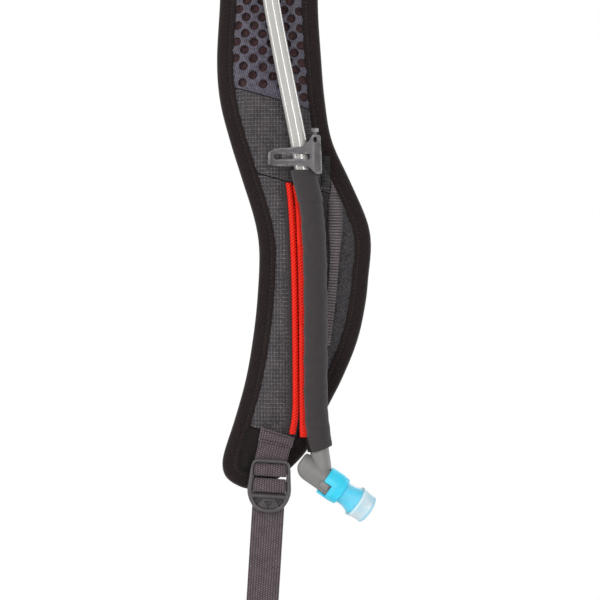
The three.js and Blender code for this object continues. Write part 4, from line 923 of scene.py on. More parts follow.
class Finish:
    """Base of every finish: a material with a Principled shader and a bump."""

    def start(self, name: str, values: dict[str, float]) -> tuple[Material, Tree, Node]:
        """Make an empty material.

        Args:
            name: Name of the material.
            values: Constants of its Principled shader, by socket.

        Returns:
            The material, its tree helper and its Principled shader.
        """
        material = bpy.data.materials.new(name)
        material.use_nodes = True
        material.node_tree.nodes.clear()
        tree = Tree(material.node_tree)
        shader = tree.add("ShaderNodeBsdfPrincipled")
        for key, value in values.items():
            shader.inputs[key].default_value = value
        output = tree.add("ShaderNodeOutputMaterial")
        tree.join(shader.outputs[0], output.inputs["Surface"])
        return material, tree, shader

    def bump(self, tree: Tree, shader: Node, height: Socket,
             strength: float, distance: float) -> None:
        """Feed a height into the shader's normal.

        Args:
            tree: Tree helper.
            shader: The Principled shader.
            height: Height from 0 to 1.
            strength: Strength of the bump.
            distance: Real height in millimetres.
        """
        node = tree.add("ShaderNodeBump")
        node.inputs["Strength"].default_value = strength
        node.inputs["Distance"].default_value = distance * MM
        tree.join(height, node.inputs["Height"])
        tree.join(node.outputs[0], shader.inputs["Normal"])

    def group(self, tree: Tree, source: bpy.types.NodeTree, **values: object) -> Node:
        """Place a shared group and set its inputs by name."""
        node = tree.add("ShaderNodeGroup")
        node.node_tree = source
        for key, value in values.items():
            tree.feed(node.inputs[key.replace("_", " ").title()], value)
        return node

    def threads(self, tree: Tree) -> Socket:
        """Read the thread coordinates of a piece, in millimetres."""
        return tree.add("ShaderNodeAttribute", attribute_name="cloth").outputs["Vector"]


@dataclass(frozen=True)
class WovenFinish(Finish):
    """Cloth of crossing threads: binding tape, sleeve cloth and webbing."""

    name: str
    light: Colour
    dark: Colour
    across: float
    along: float
    relief: float = 0.25
    roughness: float = 0.85
    wander: float = 0.3
    sheen: float = 0.15
    speckle: float = 0.5
    output: str = "Height"

    def build(self, groups: Groups) -> Material:
        """Make the material.

        Args:
            groups: Shared shader groups.

        Returns:
            The material.
        """
        material, tree, shader = self.start(self.name, {
            "Roughness": self.roughness, "Sheen Weight": self.sheen, "Specular IOR Level": 0.25})
        threads = self.threads(tree)
        weave = self.group(tree, groups.weave, threads=threads, across_pitch=self.across,
                           along_pitch=self.along, wander=self.wander).outputs[self.output]
        blotch = tree.patches(threads, 0.22, 4.0, 0.6, 0.3, 0.72)
        speck = tree.patches(threads, 1.7, 2.0, 0.7, 0.45, 0.7)
        factor = tree.math("MULTIPLY", weave,
                           tree.math("MULTIPLY_ADD", speck, self.speckle, 1 - self.speckle))
        factor = tree.math("MULTIPLY", factor, tree.math("MULTIPLY_ADD", blotch, 0.3, 0.7))
        tree.join(tree.mix(factor, srgb(self.dark), srgb(self.light)),
                  shader.inputs["Base Color"])
        self.bump(tree, shader, weave, 0.8, self.relief)
        return material


@dataclass(frozen=True)
class RipstopFinish(Finish):
    """Fine cloth with a grid of thicker threads that catch the light."""

    name: str = "ripstop"
    base: Colour = (68, 63, 66)
    thread: Colour = (132, 126, 130)
    dark: Colour = (46, 42, 45)
    line: Colour = (26, 23, 25)
    across: float = 1.9
    along: float = 2.35
    fine: float = 0.4

    def build(self, groups: Groups) -> Material:
        """Make the material.

        Args:
            groups: Shared shader groups.

        Returns:
            The material.
        """
        material, tree, shader = self.start(self.name, {
            "Roughness": 0.7, "Sheen Weight": 0.15, "Specular IOR Level": 0.3})
        threads = self.threads(tree)
        weave = self.group(tree, groups.weave, threads=threads, across_pitch=self.fine,
                           along_pitch=self.fine, wander=0.2)
        light, dark = [], []
        for socket, cell in zip(tree.split(threads), (self.across, self.along)):
            turn = tree.math("MULTIPLY", socket, math.pi / cell)
            for lines, angle, width in ((light, turn, 0.4), (dark, None, 0.45)):
                angle = angle or tree.math("ADD", turn, 0.75)
                ridge = tree.math("ABSOLUTE", tree.math("SINE", angle))
                lines.append(tree.math("SUBTRACT", 1.0, tree.ramp(ridge, 0.0, width)))
        grid, furrow = tree.math("MAXIMUM", *light), tree.math("MAXIMUM", *dark)
        dashes = tree.patches(threads, 1.1, 2.0, 0.75, 0.42, 0.6)
        bright = tree.math("MULTIPLY", grid, tree.math("MULTIPLY_ADD", dashes, 0.75, 0.05))
        blotch = tree.patches(threads, 0.12, 3.0, 0.6, 0.3, 0.7)
        low = tree.mix(blotch, srgb(self.dark), srgb(self.base))
        speck = tree.patches(threads, 2.6, 1.0, 0.6, 0.4, 0.62)
        low = tree.mix(tree.math("MULTIPLY", furrow, tree.math("MULTIPLY_ADD", speck, -0.5, 0.9)),
                       low, srgb(self.line))
        tree.join(tree.mix(bright, low, srgb(self.thread)), shader.inputs["Base Color"])
        height = tree.math("MULTIPLY_ADD", grid, 0.7,
                           tree.math("MULTIPLY", weave.outputs["Height"], 0.3))
        self.bump(tree, shader, height, 0.7, 0.18)
        return material


@dataclass(frozen=True)
class KnitFinish(Finish):
    """Knitted cloth: fine upright wales with a soft, mottled colour."""

    name: str
    light: Colour
    dark: Colour
    wale: float = 0.8
    course: float = 1.1
    mottle: float = 0.5
    relief: float = 0.35

    def build(self, groups: Groups) -> Material:
        """Make the material.

        Args:
            groups: Shared shader groups.

        Returns:
            The material.
        """
        material, tree, shader = self.start(self.name, {
            "Roughness": 0.92, "Sheen Weight": 0.25, "Specular IOR Level": 0.2})
        threads = self.threads(tree)
        weave = self.group(tree, groups.weave, threads=threads, across_pitch=self.wale,
                           along_pitch=self.course, wander=0.6).outputs["Height"]
        mottle = tree.patches(threads, 0.55, 5.0, 0.72, 0.32, 0.68)
        share = tree.math("MULTIPLY_ADD", mottle, self.mottle,
                          tree.math("MULTIPLY", weave, 1 - self.mottle))
        tree.join(tree.mix(share, srgb(self.dark), srgb(self.light)),
                  shader.inputs["Base Color"])
        self.bump(tree, shader, weave, 0.8, self.relief)
        return material


@dataclass(frozen=True)
class PlasticFinish(Finish):
    """Moulded plastic with a fine grain, rubbed edges with a painted rim highlight, and painted shade in its recesses.
    """

    name: str
    colour: Colour
    worn: Colour
    roughness: float = 0.42
    wear: float = 0.6
    grain: float = 0.05

    def build(self, groups: Groups) -> Material:
        """Make the material.

        Args:
            groups: Shared shader groups.

        Returns:
            The material.
        """
        material, tree, shader = self.start(self.name, {"Roughness": self.roughness})
        grain = self.group(tree, groups.grain, scale=1400.0, patch_scale=90.0)
        wear = self.group(tree, groups.wear, amount=self.wear)
        patches = grain.outputs["Patches"]
        patched = tree.mix(patches, srgb(self.colour, 0.86), srgb(self.colour))
        # Painted shade: the third thread coordinate darkens recesses, such as the buckle's sunk thumb plate.
        recess_shade = tree.split(self.threads(tree))[2]
        patched = tree.mix(recess_shade, patched, srgb(self.colour, 0.2))
        # Rims take the paler colour: rubbed wear and a painted highlight.
        tree.join(tree.mix(wear.outputs["Mask"], patched, srgb(self.worn)),
                  shader.inputs["Base Color"])
        tree.join(tree.math("MULTIPLY_ADD", patches, 0.12, self.roughness - 0.06),
                  shader.inputs["Roughness"])
        self.bump(tree, shader, grain.outputs["Height"], 0.5, self.grain)
        return material


@dataclass(frozen=True)
class ClearFinish(Finish):
    """Milky, see-through plastic with a glossy skin."""

    name: str
    colour: Colour
    clear: float
    roughness: float = 0.14
    ior: float = 1.6
    coat: float = 1.0
    coat_ior: float = 1.9

    def build(self, groups: Groups) -> Material:
        """Make the material.

        Args:
            groups: Shared shader groups.

        Returns:
            The material.
        """
        material, tree, shader = self.start(self.name, {
            "Roughness": self.roughness, "Transmission Weight": self.clear, "IOR": self.ior,
            "Coat Weight": self.coat, "Coat Roughness": 0.08, "Coat IOR": self.coat_ior})
        grain = self.group(tree, groups.grain, scale=500.0, patch_scale=30.0)
        tree.join(tree.mix(grain.outputs["Patches"], srgb(self.colour, 0.93), srgb(self.colour)),
                  shader.inputs["Base Color"])
        self.bump(tree, shader, grain.outputs["Height"], 0.3, 0.03)
        return material


@dataclass(frozen=True)
class SiliconeFinish(Finish):
    """Soft clear silicone that takes the colour of the spigot inside it."""

    name: str = "valve_silicone"
    clear: Colour = (224, 234, 238)
    tinted: Colour = (44, 198, 234)
    bright: Colour = (222, 250, 255)
    groove: float = 32.2
    ring: float = 32.9
    rim: float = 39.7
    end: float = 41.2

    def build(self, groups: Groups) -> Material:
        """Make the material.

        Args:
            groups: Shared shader groups.

        Returns:
            The material.
        """
        material, tree, shader = self.start(self.name, {"Roughness": 0.3, "IOR": 1.25})
        grain = self.group(tree, groups.grain, scale=500.0, patch_scale=75.0)
        patches = grain.outputs["Patches"]
        along = tree.split(self.threads(tree))[1]
        past_groove = tree.ramp(along, self.groove, self.groove + 0.3)
        past_ring = tree.ramp(along, self.ring, self.ring + 0.4)
        far = tree.math("MULTIPLY", past_ring, tree.math("MULTIPLY", patches, 0.4))
        rim = tree.math("SUBTRACT", tree.ramp(along, self.rim, self.rim + 0.3),
                        tree.ramp(along, self.end - 0.3, self.end))
        tint = tree.math("MAXIMUM", far, tree.math("MULTIPLY", rim, 0.5))
        tinted = tree.mix(tint, srgb(self.clear), srgb(self.tinted))
        ring = tree.math("SUBTRACT", past_groove, past_ring)
        tree.join(tree.mix(ring, tinted, srgb(self.bright)), shader.inputs["Base Color"])
        sheer = tree.math("MULTIPLY_ADD", patches, 0.14, 0.02)
        cover = tree.math("MAXIMUM", sheer, tree.math("MULTIPLY", past_groove, 0.86))
        tree.join(cover, shader.inputs["Alpha"])
        return material


@dataclass(frozen=True)
class CordFinish(Finish):
    """Twilled cord cloth with slanting ribs that are lighter than their furrows."""

    name: str
    light: Colour
    dark: Colour
    pitch: float = 1.95

    def build(self, groups: Groups) -> Material:
        """Make the material.

        Args:
            groups: Shared shader groups; the cord has its own ribs and needs none of them.

        Returns:
            The material.
        """
        material, tree, shader = self.start(self.name, {
            "Roughness": 0.55, "Specular IOR Level": 0.2})
        threads = self.threads(tree)
        across, along, _ = tree.split(threads)
        slant = tree.math("MULTIPLY_ADD", across, 0.75, along)
        wave = tree.math("SINE", tree.math("MULTIPLY", slant, 2 * math.pi / self.pitch))
        rib = tree.ramp(wave, -0.9, 0.3)
        speck = tree.patches(threads, 2.4, 2.0, 0.6, 0.35, 0.7)
        share = tree.math("MULTIPLY", rib, tree.math("MULTIPLY_ADD", speck, 0.2, 0.8))
        tree.join(tree.mix(share, srgb(self.dark), srgb(self.light)),
                  shader.inputs["Base Color"])
        self.bump(tree, shader, rib, 0.9, 0.22)
        return material


class Finishes:
    """Every finish of the strap, made once."""

    def __init__(self) -> None:
        """Build the materials."""
        self.groups = Groups()
        self.binding = self.look(Slot.BINDING, WovenFinish(
            "binding_tape", (66, 47, 45), (12, 5, 5), 0.8, 1.0, relief=0.3, wander=0.9,
            speckle=0.75))
        self.hem = self.look(Slot.BINDING, WovenFinish(
            "foot_cloth", (39, 31, 30), (12, 7, 7), 0.6, 0.6, relief=0.15, sheen=0.0))
        self.spacer = self.look(Slot.SPACER, KnitFinish(
            "spacer_knit", (110, 106, 120), (34, 31, 39), wale=0.62, course=2.6, mottle=0.5))
        self.hollow = self.look(Slot.FOAM, KnitFinish(
            "spacer_floor", (88, 60, 61), (28, 20, 25), wale=0.7, course=1.0, mottle=0.8))
        self.ripstop = self.look(Slot.RIPSTOP, RipstopFinish())
        self.stretch = self.look(Slot.STRETCH, KnitFinish(
            "heather_stretch", (72, 68, 71), (18, 16, 18), mottle=0.85))
        self.elastic = self.look(Slot.STRETCH, KnitFinish(
            "gathered_elastic", (57, 54, 56), (12, 11, 12), wale=0.7, course=0.9))
        self.back = self.look(Slot.BACK, KnitFinish(
            "back_knit", (58, 55, 58), (24, 22, 24), wale=0.9, course=1.3, mottle=0.3))
        self.webbing = self.look(Slot.WEBBING, WovenFinish(
            "webbing", (142, 127, 133), (40, 32, 36), 1.5, 1.05, relief=0.35, wander=0.12,
            speckle=0.25, output="Dashes"))
        self.ribbed = self.look(Slot.WEBBING, WovenFinish(
            "rail_webbing", (156, 145, 150), (40, 34, 37), 11.0, 1.7, relief=0.3, wander=0.08,
            speckle=0.6, output="Dashes"))
        self.sleeve = self.look(Slot.SLEEVE, WovenFinish(
            "sleeve_cloth", (76, 71, 72), (48, 44, 45), 0.45, 0.45, relief=0.08, roughness=0.9))
        self.thread = self.look(Slot.BINDING, WovenFinish(
            "stitch_thread", (84, 71, 69), (34, 27, 27), 0.3, 0.3, relief=0.05))
        self.piping = self.look(Slot.PIPING, CordFinish("red_twill", (255, 44, 20), (190, 12, 3)))
        # The pale rims of the plastic parts are rubbed wear with a painted highlight.
        self.clip = self.look(Slot.CLIP, PlasticFinish(
            "clip_plastic", (84, 81, 83), (158, 156, 158), roughness=0.3, wear=0.6))
        self.buckle = self.look(Slot.CLIP, PlasticFinish(
            "buckle_plastic", (78, 73, 75), (118, 114, 116), roughness=0.24, wear=0.0))
        self.elbow = self.look(Slot.ELBOW, PlasticFinish(
            "elbow_plastic", (127, 125, 123), (160, 158, 156), roughness=0.45, wear=0.3))
        self.collar = self.look(Slot.COLLAR, PlasticFinish(
            "collar_plastic", (42, 212, 246), (120, 226, 246), roughness=0.4, wear=0.3))
        self.hose = self.look(Slot.HOSE, ClearFinish("hose_plastic", (188, 187, 182), 0.12))
        self.silicone = self.look(Slot.SILICONE, SiliconeFinish())
        self.seal = self.look(Slot.SEAL, PlasticFinish("seal_rubber", (30, 30, 32), (60, 60, 62)))
        self.magnet = self.look(Slot.MAGNET, PlasticFinish(
            "magnet_plating", (96, 98, 102), (150, 152, 156), roughness=0.3))

    def look(self, slot: Slot, finish: Finish) -> Look:
        """Build a finish and give it its usual slot."""
        return Look(finish.build(self.groups), slot)


@dataclass
class FreeHose:
    """The hose above the strap: over the yoke, and put away in one tied hank behind it."""

    finishes: Finishes
    shape: StrapShape = SHAPE
    exit_drop: float = 42.0
    arch: float = 36.0
    arch_base: float = -10.0
    hank_depth: float = 50.0
    hank_middle: float = 3.0
    half_gap: float = 6.5
    fold: float = 30.0
    waist_top: float = -42.0
    tie_height: float = 14.0
    tie_wall: float = 1.2
    tie_rib: float = 0.22

    def route(self) -> list[Triple]:
        """Points of the hose's centre line, from the strap to the plug."""
        s = self.shape
        points = [(s.hose_x(-self.exit_drop), -s.hose_depth, -self.exit_drop + s.gap),
                  (s.hose_x(-30), -s.hose_depth, -30.0), (s.hose_x(-20), -s.hose_depth, -20.0)]
        middle = -s.hose_depth + self.arch
        for angle in (0, 30, 60, 90, 120, 150, 180):
            turn = math.radians(angle)
            points.append((2.4 - 3.9 * angle / 180, middle - self.arch * math.cos(turn),
                           self.arch_base + self.arch * math.sin(turn)))
        points += [(-2.7, self.hank_depth + 3.4, -20.0), (-3.4, self.hank_depth + 0.6, -29.0),
                   (-3.5, self.hank_depth, -36.0)]
        return points + self.hank()

    def hank(self) -> list[Triple]:
        """Points of the hank: down, round its fold and up again."""
        wide = self.half_gap + self.fold
        swing = math.asin(math.sqrt((2 * self.fold) ** 2 - wide ** 2) / (2 * self.fold))
        drop = 2 * self.fold * math.sin(swing)
        waist_bottom = self.waist_top - self.tie_height
        half = [(-self.half_gap, self.waist_top),
                (-self.half_gap, self.waist_top - self.tie_height / 2)]
        for share in (0, 0.25, 0.5, 0.75):
            angle = share * swing
            half.append((-wide + self.fold * math.cos(angle),
                         waist_bottom - self.fold * math.sin(angle)))
        centre = waist_bottom - drop
        for step in range(5):
            angle = math.pi - swing + step * (math.pi / 2 + swing) / 4
            half.append((self.fold * math.cos(angle), centre + self.fold * math.sin(angle)))
        whole = half + [(-x, z) for x, z in half[-2::-1]] + [(self.half_gap, self.waist_top + 10)]
        return [(self.hank_middle + x, self.hank_depth, z) for x, z in whole]

    def build(self) -> None:
        """Make the hose, its tie and its plug."""
        points = [Vector(p) for p in self.route()]
        dense = soften(points, 6)
        length = sum((b - a).length for a, b in zip(dense, dense[1:]))
        tube = self.tube(dense)
        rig.ride(tube, "strap")
        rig.replaces(tube, "hose_over_yoke", "hose_hank")
        exit_point = [c * MM for c in dense[0]]
        tie, plug = self.tie(), self.plug()
        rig.cord(tube, exit=exit_point, length=round(length * MM, 4),
                diameter=2 * self.shape.hose_radius * MM, far_end="fitting", stiffness="medium",
                lay="hanging", path=[[c * MM for c in p] for p in dense],
                with_pieces=[tie, plug])
        LOG.info("free hose: %.1f mm", length)


    def tube(self, line: list[Vector]) -> Piece:
        """Make the hose's hollow tube along its line.

        Args:
            line: Points of its centre line.

        Returns:
            The hose.
        """
        sides, side, frames = 24, Vector((1, 0, 0)), []
        for i, place in enumerate(line):
            way = (line[min(i + 1, len(line) - 1)] - line[max(i - 1, 0)]).normalized()
            side = (side - way * side.dot(way)).normalized()
            frames.append((place, side, way.cross(side)))
        points = [place + (u * math.cos(a) + v * math.sin(a)) * radius
                  for radius in (self.shape.hose_radius, self.shape.hose_bore)
                  for place, u, v in frames for a in around(sides)]
        faces = tube_faces(len(line), sides, True)
        return MeshBook.make("free_hose", points, faces, self.finishes.hose, sharp=50)

    def tie(self) -> Piece:
        """Make the elastic tie round both runs of the hank.

        Returns:
            The tie.
        """
        rows, sides = 17, 48
        heights = np.linspace(self.waist_top - 1, self.waist_top - self.tie_height + 1, rows)
        points, cloth = [], []
        for wall in (self.tie_wall, 0.0):
            for row, z in enumerate(heights):
                ribbed = row % 2 and wall and row < rows - 1
                reach = self.shape.hose_radius + self.shape.gap + wall
                reach -= self.tie_rib if ribbed else 0.0
                for angle in around(sides):
                    x, y = polar(reach, angle)
                    shift = self.half_gap if math.cos(angle) > 0 else -self.half_gap
                    points.append((self.hank_middle + shift + x, self.hank_depth + y, z))
                    cloth.append((reach * angle, z, 0))
        piece = MeshBook.make("hank_tie", points, tube_faces(rows, sides, True),
                              self.finishes.elastic, cloth)
        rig.ride(piece, "strap")
        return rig.replaces(piece, "hose_tie")

    def plug(self) -> Piece:
        """Make the barbed quick-fit plug at the hose's end.

        Returns:
            The plug.
        """
        profile = [(1.6, -10), (2.5, -10), (2.85, -8.6), (2.5, -6.4), (2.85, -5), (2.5, -2.6),
                   (2.5, 0), (5.6, 0), (6, 0.4), (6, 4.6), (5.6, 5), (4.6, 6.5), (4.6, 9),
                   (5.9, 9.6), (6.2, 9.9), (6.2, 10.7), (5.9, 11), (4.4, 11.6), (4.4, 16),
                   (3.6, 16.4), (3.6, 18.4), (4.4, 18.8), (4.4, 22.5), (3.6, 24), (1.6, 24)]
        place = Matrix.Translation((self.hank_middle + self.half_gap, self.hank_depth,
                                    self.waist_top + 10.3))
        piece = lathe("hose_plug_fitting", profile, place, self.finishes.elbow, 40)
        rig.ride(piece, "strap")
        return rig.replaces(piece, "hose_plug")


def lathe(name: str, profile: Sequence[Pair], place: Matrix, look: Look, segments: int) -> Piece:
    """Turn a profile about an axis.

    Args:
        name: Name of the piece.
        profile: Radius and height of each point; unless it starts on the axis, the last joins
            the first.
        place: Where the axis lies, in millimetres.
        look: Finish and slot of the piece.
        segments: Facets round the axis.

    Returns:
        The new object.
    """
    points, cloth, rings, faces = [], [], [], []
    for radius, height in profile:
        turns = around(segments) if radius > 1e-6 else [0.0]
        rings.append([len(points) + k % len(turns) for k in range(segments)])
        points += [place @ Vector((*polar(radius, angle), height)) for angle in turns]
        cloth += [(radius, height, 0)] * len(turns)
    if profile[0][0] > 1e-6:
        rings.append(rings[0])
    for low, high in zip(rings, rings[1:]):
        for k in range(segments):
            j = (k + 1) % segments
            face = list(dict.fromkeys([low[k], low[j], high[j], high[k]]))
            if len(face) > 2:
                faces.append(face)
    return MeshBook.make(name, points, faces, look, cloth, 35)


@dataclass
class PanelCutter:
    """Cuts cloth panels to a flat outline and lays them on the padding."""

    surface: PadSurface
    spacing: float = 2.2
    hole_sides: int = 18

    def flat(self, boundary: Array, holes: Sequence[Triple], lip: float) -> tuple[Array, Array]:
        """Cut a flat panel into triangles.

        Args:
            boundary: Outline of the panel.
            holes: Place and radius of each round hole.
            lip: Width of the rounded lip inside each edge.

        Returns:
            The flat points and the triangles.
        """
        step = self.spacing
        low, high = boundary.min(0), boundary.max(0)
        points = np.array([(x + (row % 2) * step / 2, z)
                           for row, z in enumerate(np.arange(low[1], high[1], step * 0.87))
                           for x in np.arange(low[0], high[0], step)])
        keep = in_outline(points, boundary) & (nearest(points, boundary, True)[0] > step * 0.6)
        rings = []
        for x, z, r in holes:
            keep &= np.hypot(points[:, 0] - x, points[:, 1] - z) > r + lip + step * 0.35
            for reach in (r, r + lip):
                ring = [polar(reach, angle) for angle in around(self.hole_sides)]
                rings.append(np.array(ring) + [x, z])
        return triangulate([boundary, *rings], points[keep], rings[::2], 1e-5)

    def lay(self, name: str, boundary: Array, look: Look, thickness: float,
            swell: Callable[[Array], Array], holes: Sequence[Triple] = (), lip: float = 0.5,
            back: bool = False) -> Piece:
        """Make a panel that lies on the padding.

        Args:
            name: Name of the piece.
            boundary: Outline of the panel.
            look: Finish and slot of the panel.
            thickness: Thickness of the cloth.
            swell: Gives the extra height at places.
            holes: Place and radius of each round hole.
            lip: Width of the rounded lip inside each edge.
            back: Whether it lies on the back.

        Returns:
            The new object.
        """
        flat, triangles = self.flat(boundary, holes, lip)
        under = self.surface.back(flat) if back else self.surface.front(flat)
        under = under + self.surface.shape.layer
        far = nearest(flat, boundary, True)[0]
        for x, z, r in holes:
            far = np.minimum(far, np.hypot(flat[:, 0] - x, flat[:, 1] - z) - r)
        share = np.clip(far / lip, 0, 1)
        rounding = (1 - np.sqrt(1 - (1 - share) ** 2)) * min(lip, thickness * 0.6)
        top = under + thickness - rounding + swell(flat)
        sign = 1.0 if back else -1.0
        points = np.vstack([np.stack([flat[:, 0], sign * depth, flat[:, 1]], 1)
                            for depth in (top, under)])
        cloth = np.vstack([np.stack([flat[:, 0], flat[:, 1], far], 1)] * 2)
        return MeshBook.make(name, points, skin_faces(triangles, len(flat)), look, cloth, 60)


def in_outline(points: Array, line: Array) -> Array:
    """Tell which points lie inside a closed outline.

    Args:
        points: Places across and heights.
        line: Points of the outline.

    Returns:
        One answer for each point.
    """
    inside = np.zeros(len(points), bool)
    for (x0, z0), (x1, z1) in zip(line, np.roll(line, -1, 0)):
        if z0 == z1:
            continue
        crosses = (z0 > points[:, 1]) != (z1 > points[:, 1])
        inside ^= crosses & (points[:, 0] < (x1 - x0) * (points[:, 1] - z0) / (z1 - z0) + x0)
    return inside


def triangulate(loops: Sequence[Array], inner: Array, holes: Sequence[Array] = (),
                precision: float = 1e-4) -> tuple[Array, Array]:
    """Cut a flat outline into triangles.

    Args:
        loops: Closed lines that the triangles keep to, the outline first.
        inner: Other points inside the outline.
        holes: Loops whose inside is left open.
        precision: Distance below which points become one.

    Returns:
        The flat points and the triangles.
    """
    coords, edges = [], []
    for loop in loops:
        start, count = len(coords), len(loop)
        coords += [Vector(p) for p in loop]
        edges += [(start + k, start + (k + 1) % count) for k in range(count)]
    coords += [Vector(p) for p in inner]
    made, _, triangles, *_ = delaunay_2d_cdt(coords, edges, [], 0, precision)
    flat = np.array([tuple(v) for v in made])
    triangles = np.array([tuple(t) for t in triangles])
    centres = flat[triangles].mean(1)
    keep = in_outline(centres, loops[0])
    for hole in holes:
        keep &= ~in_outline(centres, hole)
    used, numbers = np.unique(triangles[keep], return_inverse=True)
    return flat[used], numbers.reshape(-1, 3)


def inset_line(line: Array, distance: float, step: float = 2.0) -> Array:
    """Line that runs inside the strap's edge at an even distance, without loops.

    Args:
        line: Points of the edge, down the left side and up the right.
        distance: How far inside the edge the new line runs.
        step: Spacing of its points.

    Returns:
        The points of the new line.
    """
    if distance < 1e-6:
        return line.copy()
    way = np.gradient(line, axis=0)
    way /= np.linalg.norm(way, axis=1)[:, None]
    moved = line + np.stack([-way[:, 1], way[:, 0]], 1) * distance
    return evened(moved[nearest(moved, line)[0] > distance - 0.06], step, 2)


def below(line: Array, height: float) -> Array:
    """Keep the part of a line that lies below a height.

    Args:
        line: Points of the line, which starts and ends above the height.
        height: Where it is cut.

    Returns:
        The points of the rest, with ends exactly on the height.
    """
    inside = np.where(line[:, 1] < height - 0.2)[0]
    kept = line[inside[0]:inside[-1] + 1]
    return np.vstack([[kept[0, 0], height], kept, [kept[-1, 0], height]])


def stitch_row(name: str, line: Array, depth: Callable[[Array], Array], look: Look,
               gauge: Triple, sign: float = -1.0, body: str = "strap") -> Piece:
    """Sew a row of short stitches that lie on a surface.

    Args:
        name: Name of the piece.
        line: Points of the row.
        depth: Gives the depth of the surface at places on it.
        look: Finish and slot of the thread.
        gauge: Distance from stitch to stitch, a stitch's length and the thread's half thickness.
        sign: -1 on the front, 1 on the back.
        body: Body that the row rides on.

    Returns:
        The new object.
    """
    pitch, length, radius = gauge
    along = lengths(line)
    shares = np.array([-0.5, -0.38, 0.0, 0.38, 0.5])
    widths = radius * np.array([0.35, 0.85, 1.0, 0.85, 0.35])
    arches = 0.1 * (1 - (2 * shares) ** 2)
    spots = np.arange(pitch / 2, along[-1] - pitch / 2, pitch)[:, None] + shares * length
    across, heights = (np.interp(spots, along, line[:, i]) for i in (0, 1))
    depths = depth(np.stack([across.ravel(), heights.ravel()], 1)).reshape(spots.shape)
    points, faces, sides = [], [], 6
    for x, z, deep in zip(across, heights, depths):
        way = np.array([x[-1] - x[0], z[-1] - z[0]])
        way /= max(np.hypot(*way), 1e-9)
        faces += tube_faces(len(shares), sides, False, len(points))
        for i, width in enumerate(widths):
            for angle in around(sides):
                side, lift = polar(width, angle)
                points.append((x[i] - way[1] * side, sign * (deep[i] + lift + arches[i]),
                               z[i] + way[0] * side))
    piece = MeshBook.make(name, points, faces, look, np.array(points)[:, [0, 2, 1]])
    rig.ride(piece, body)
    return piece


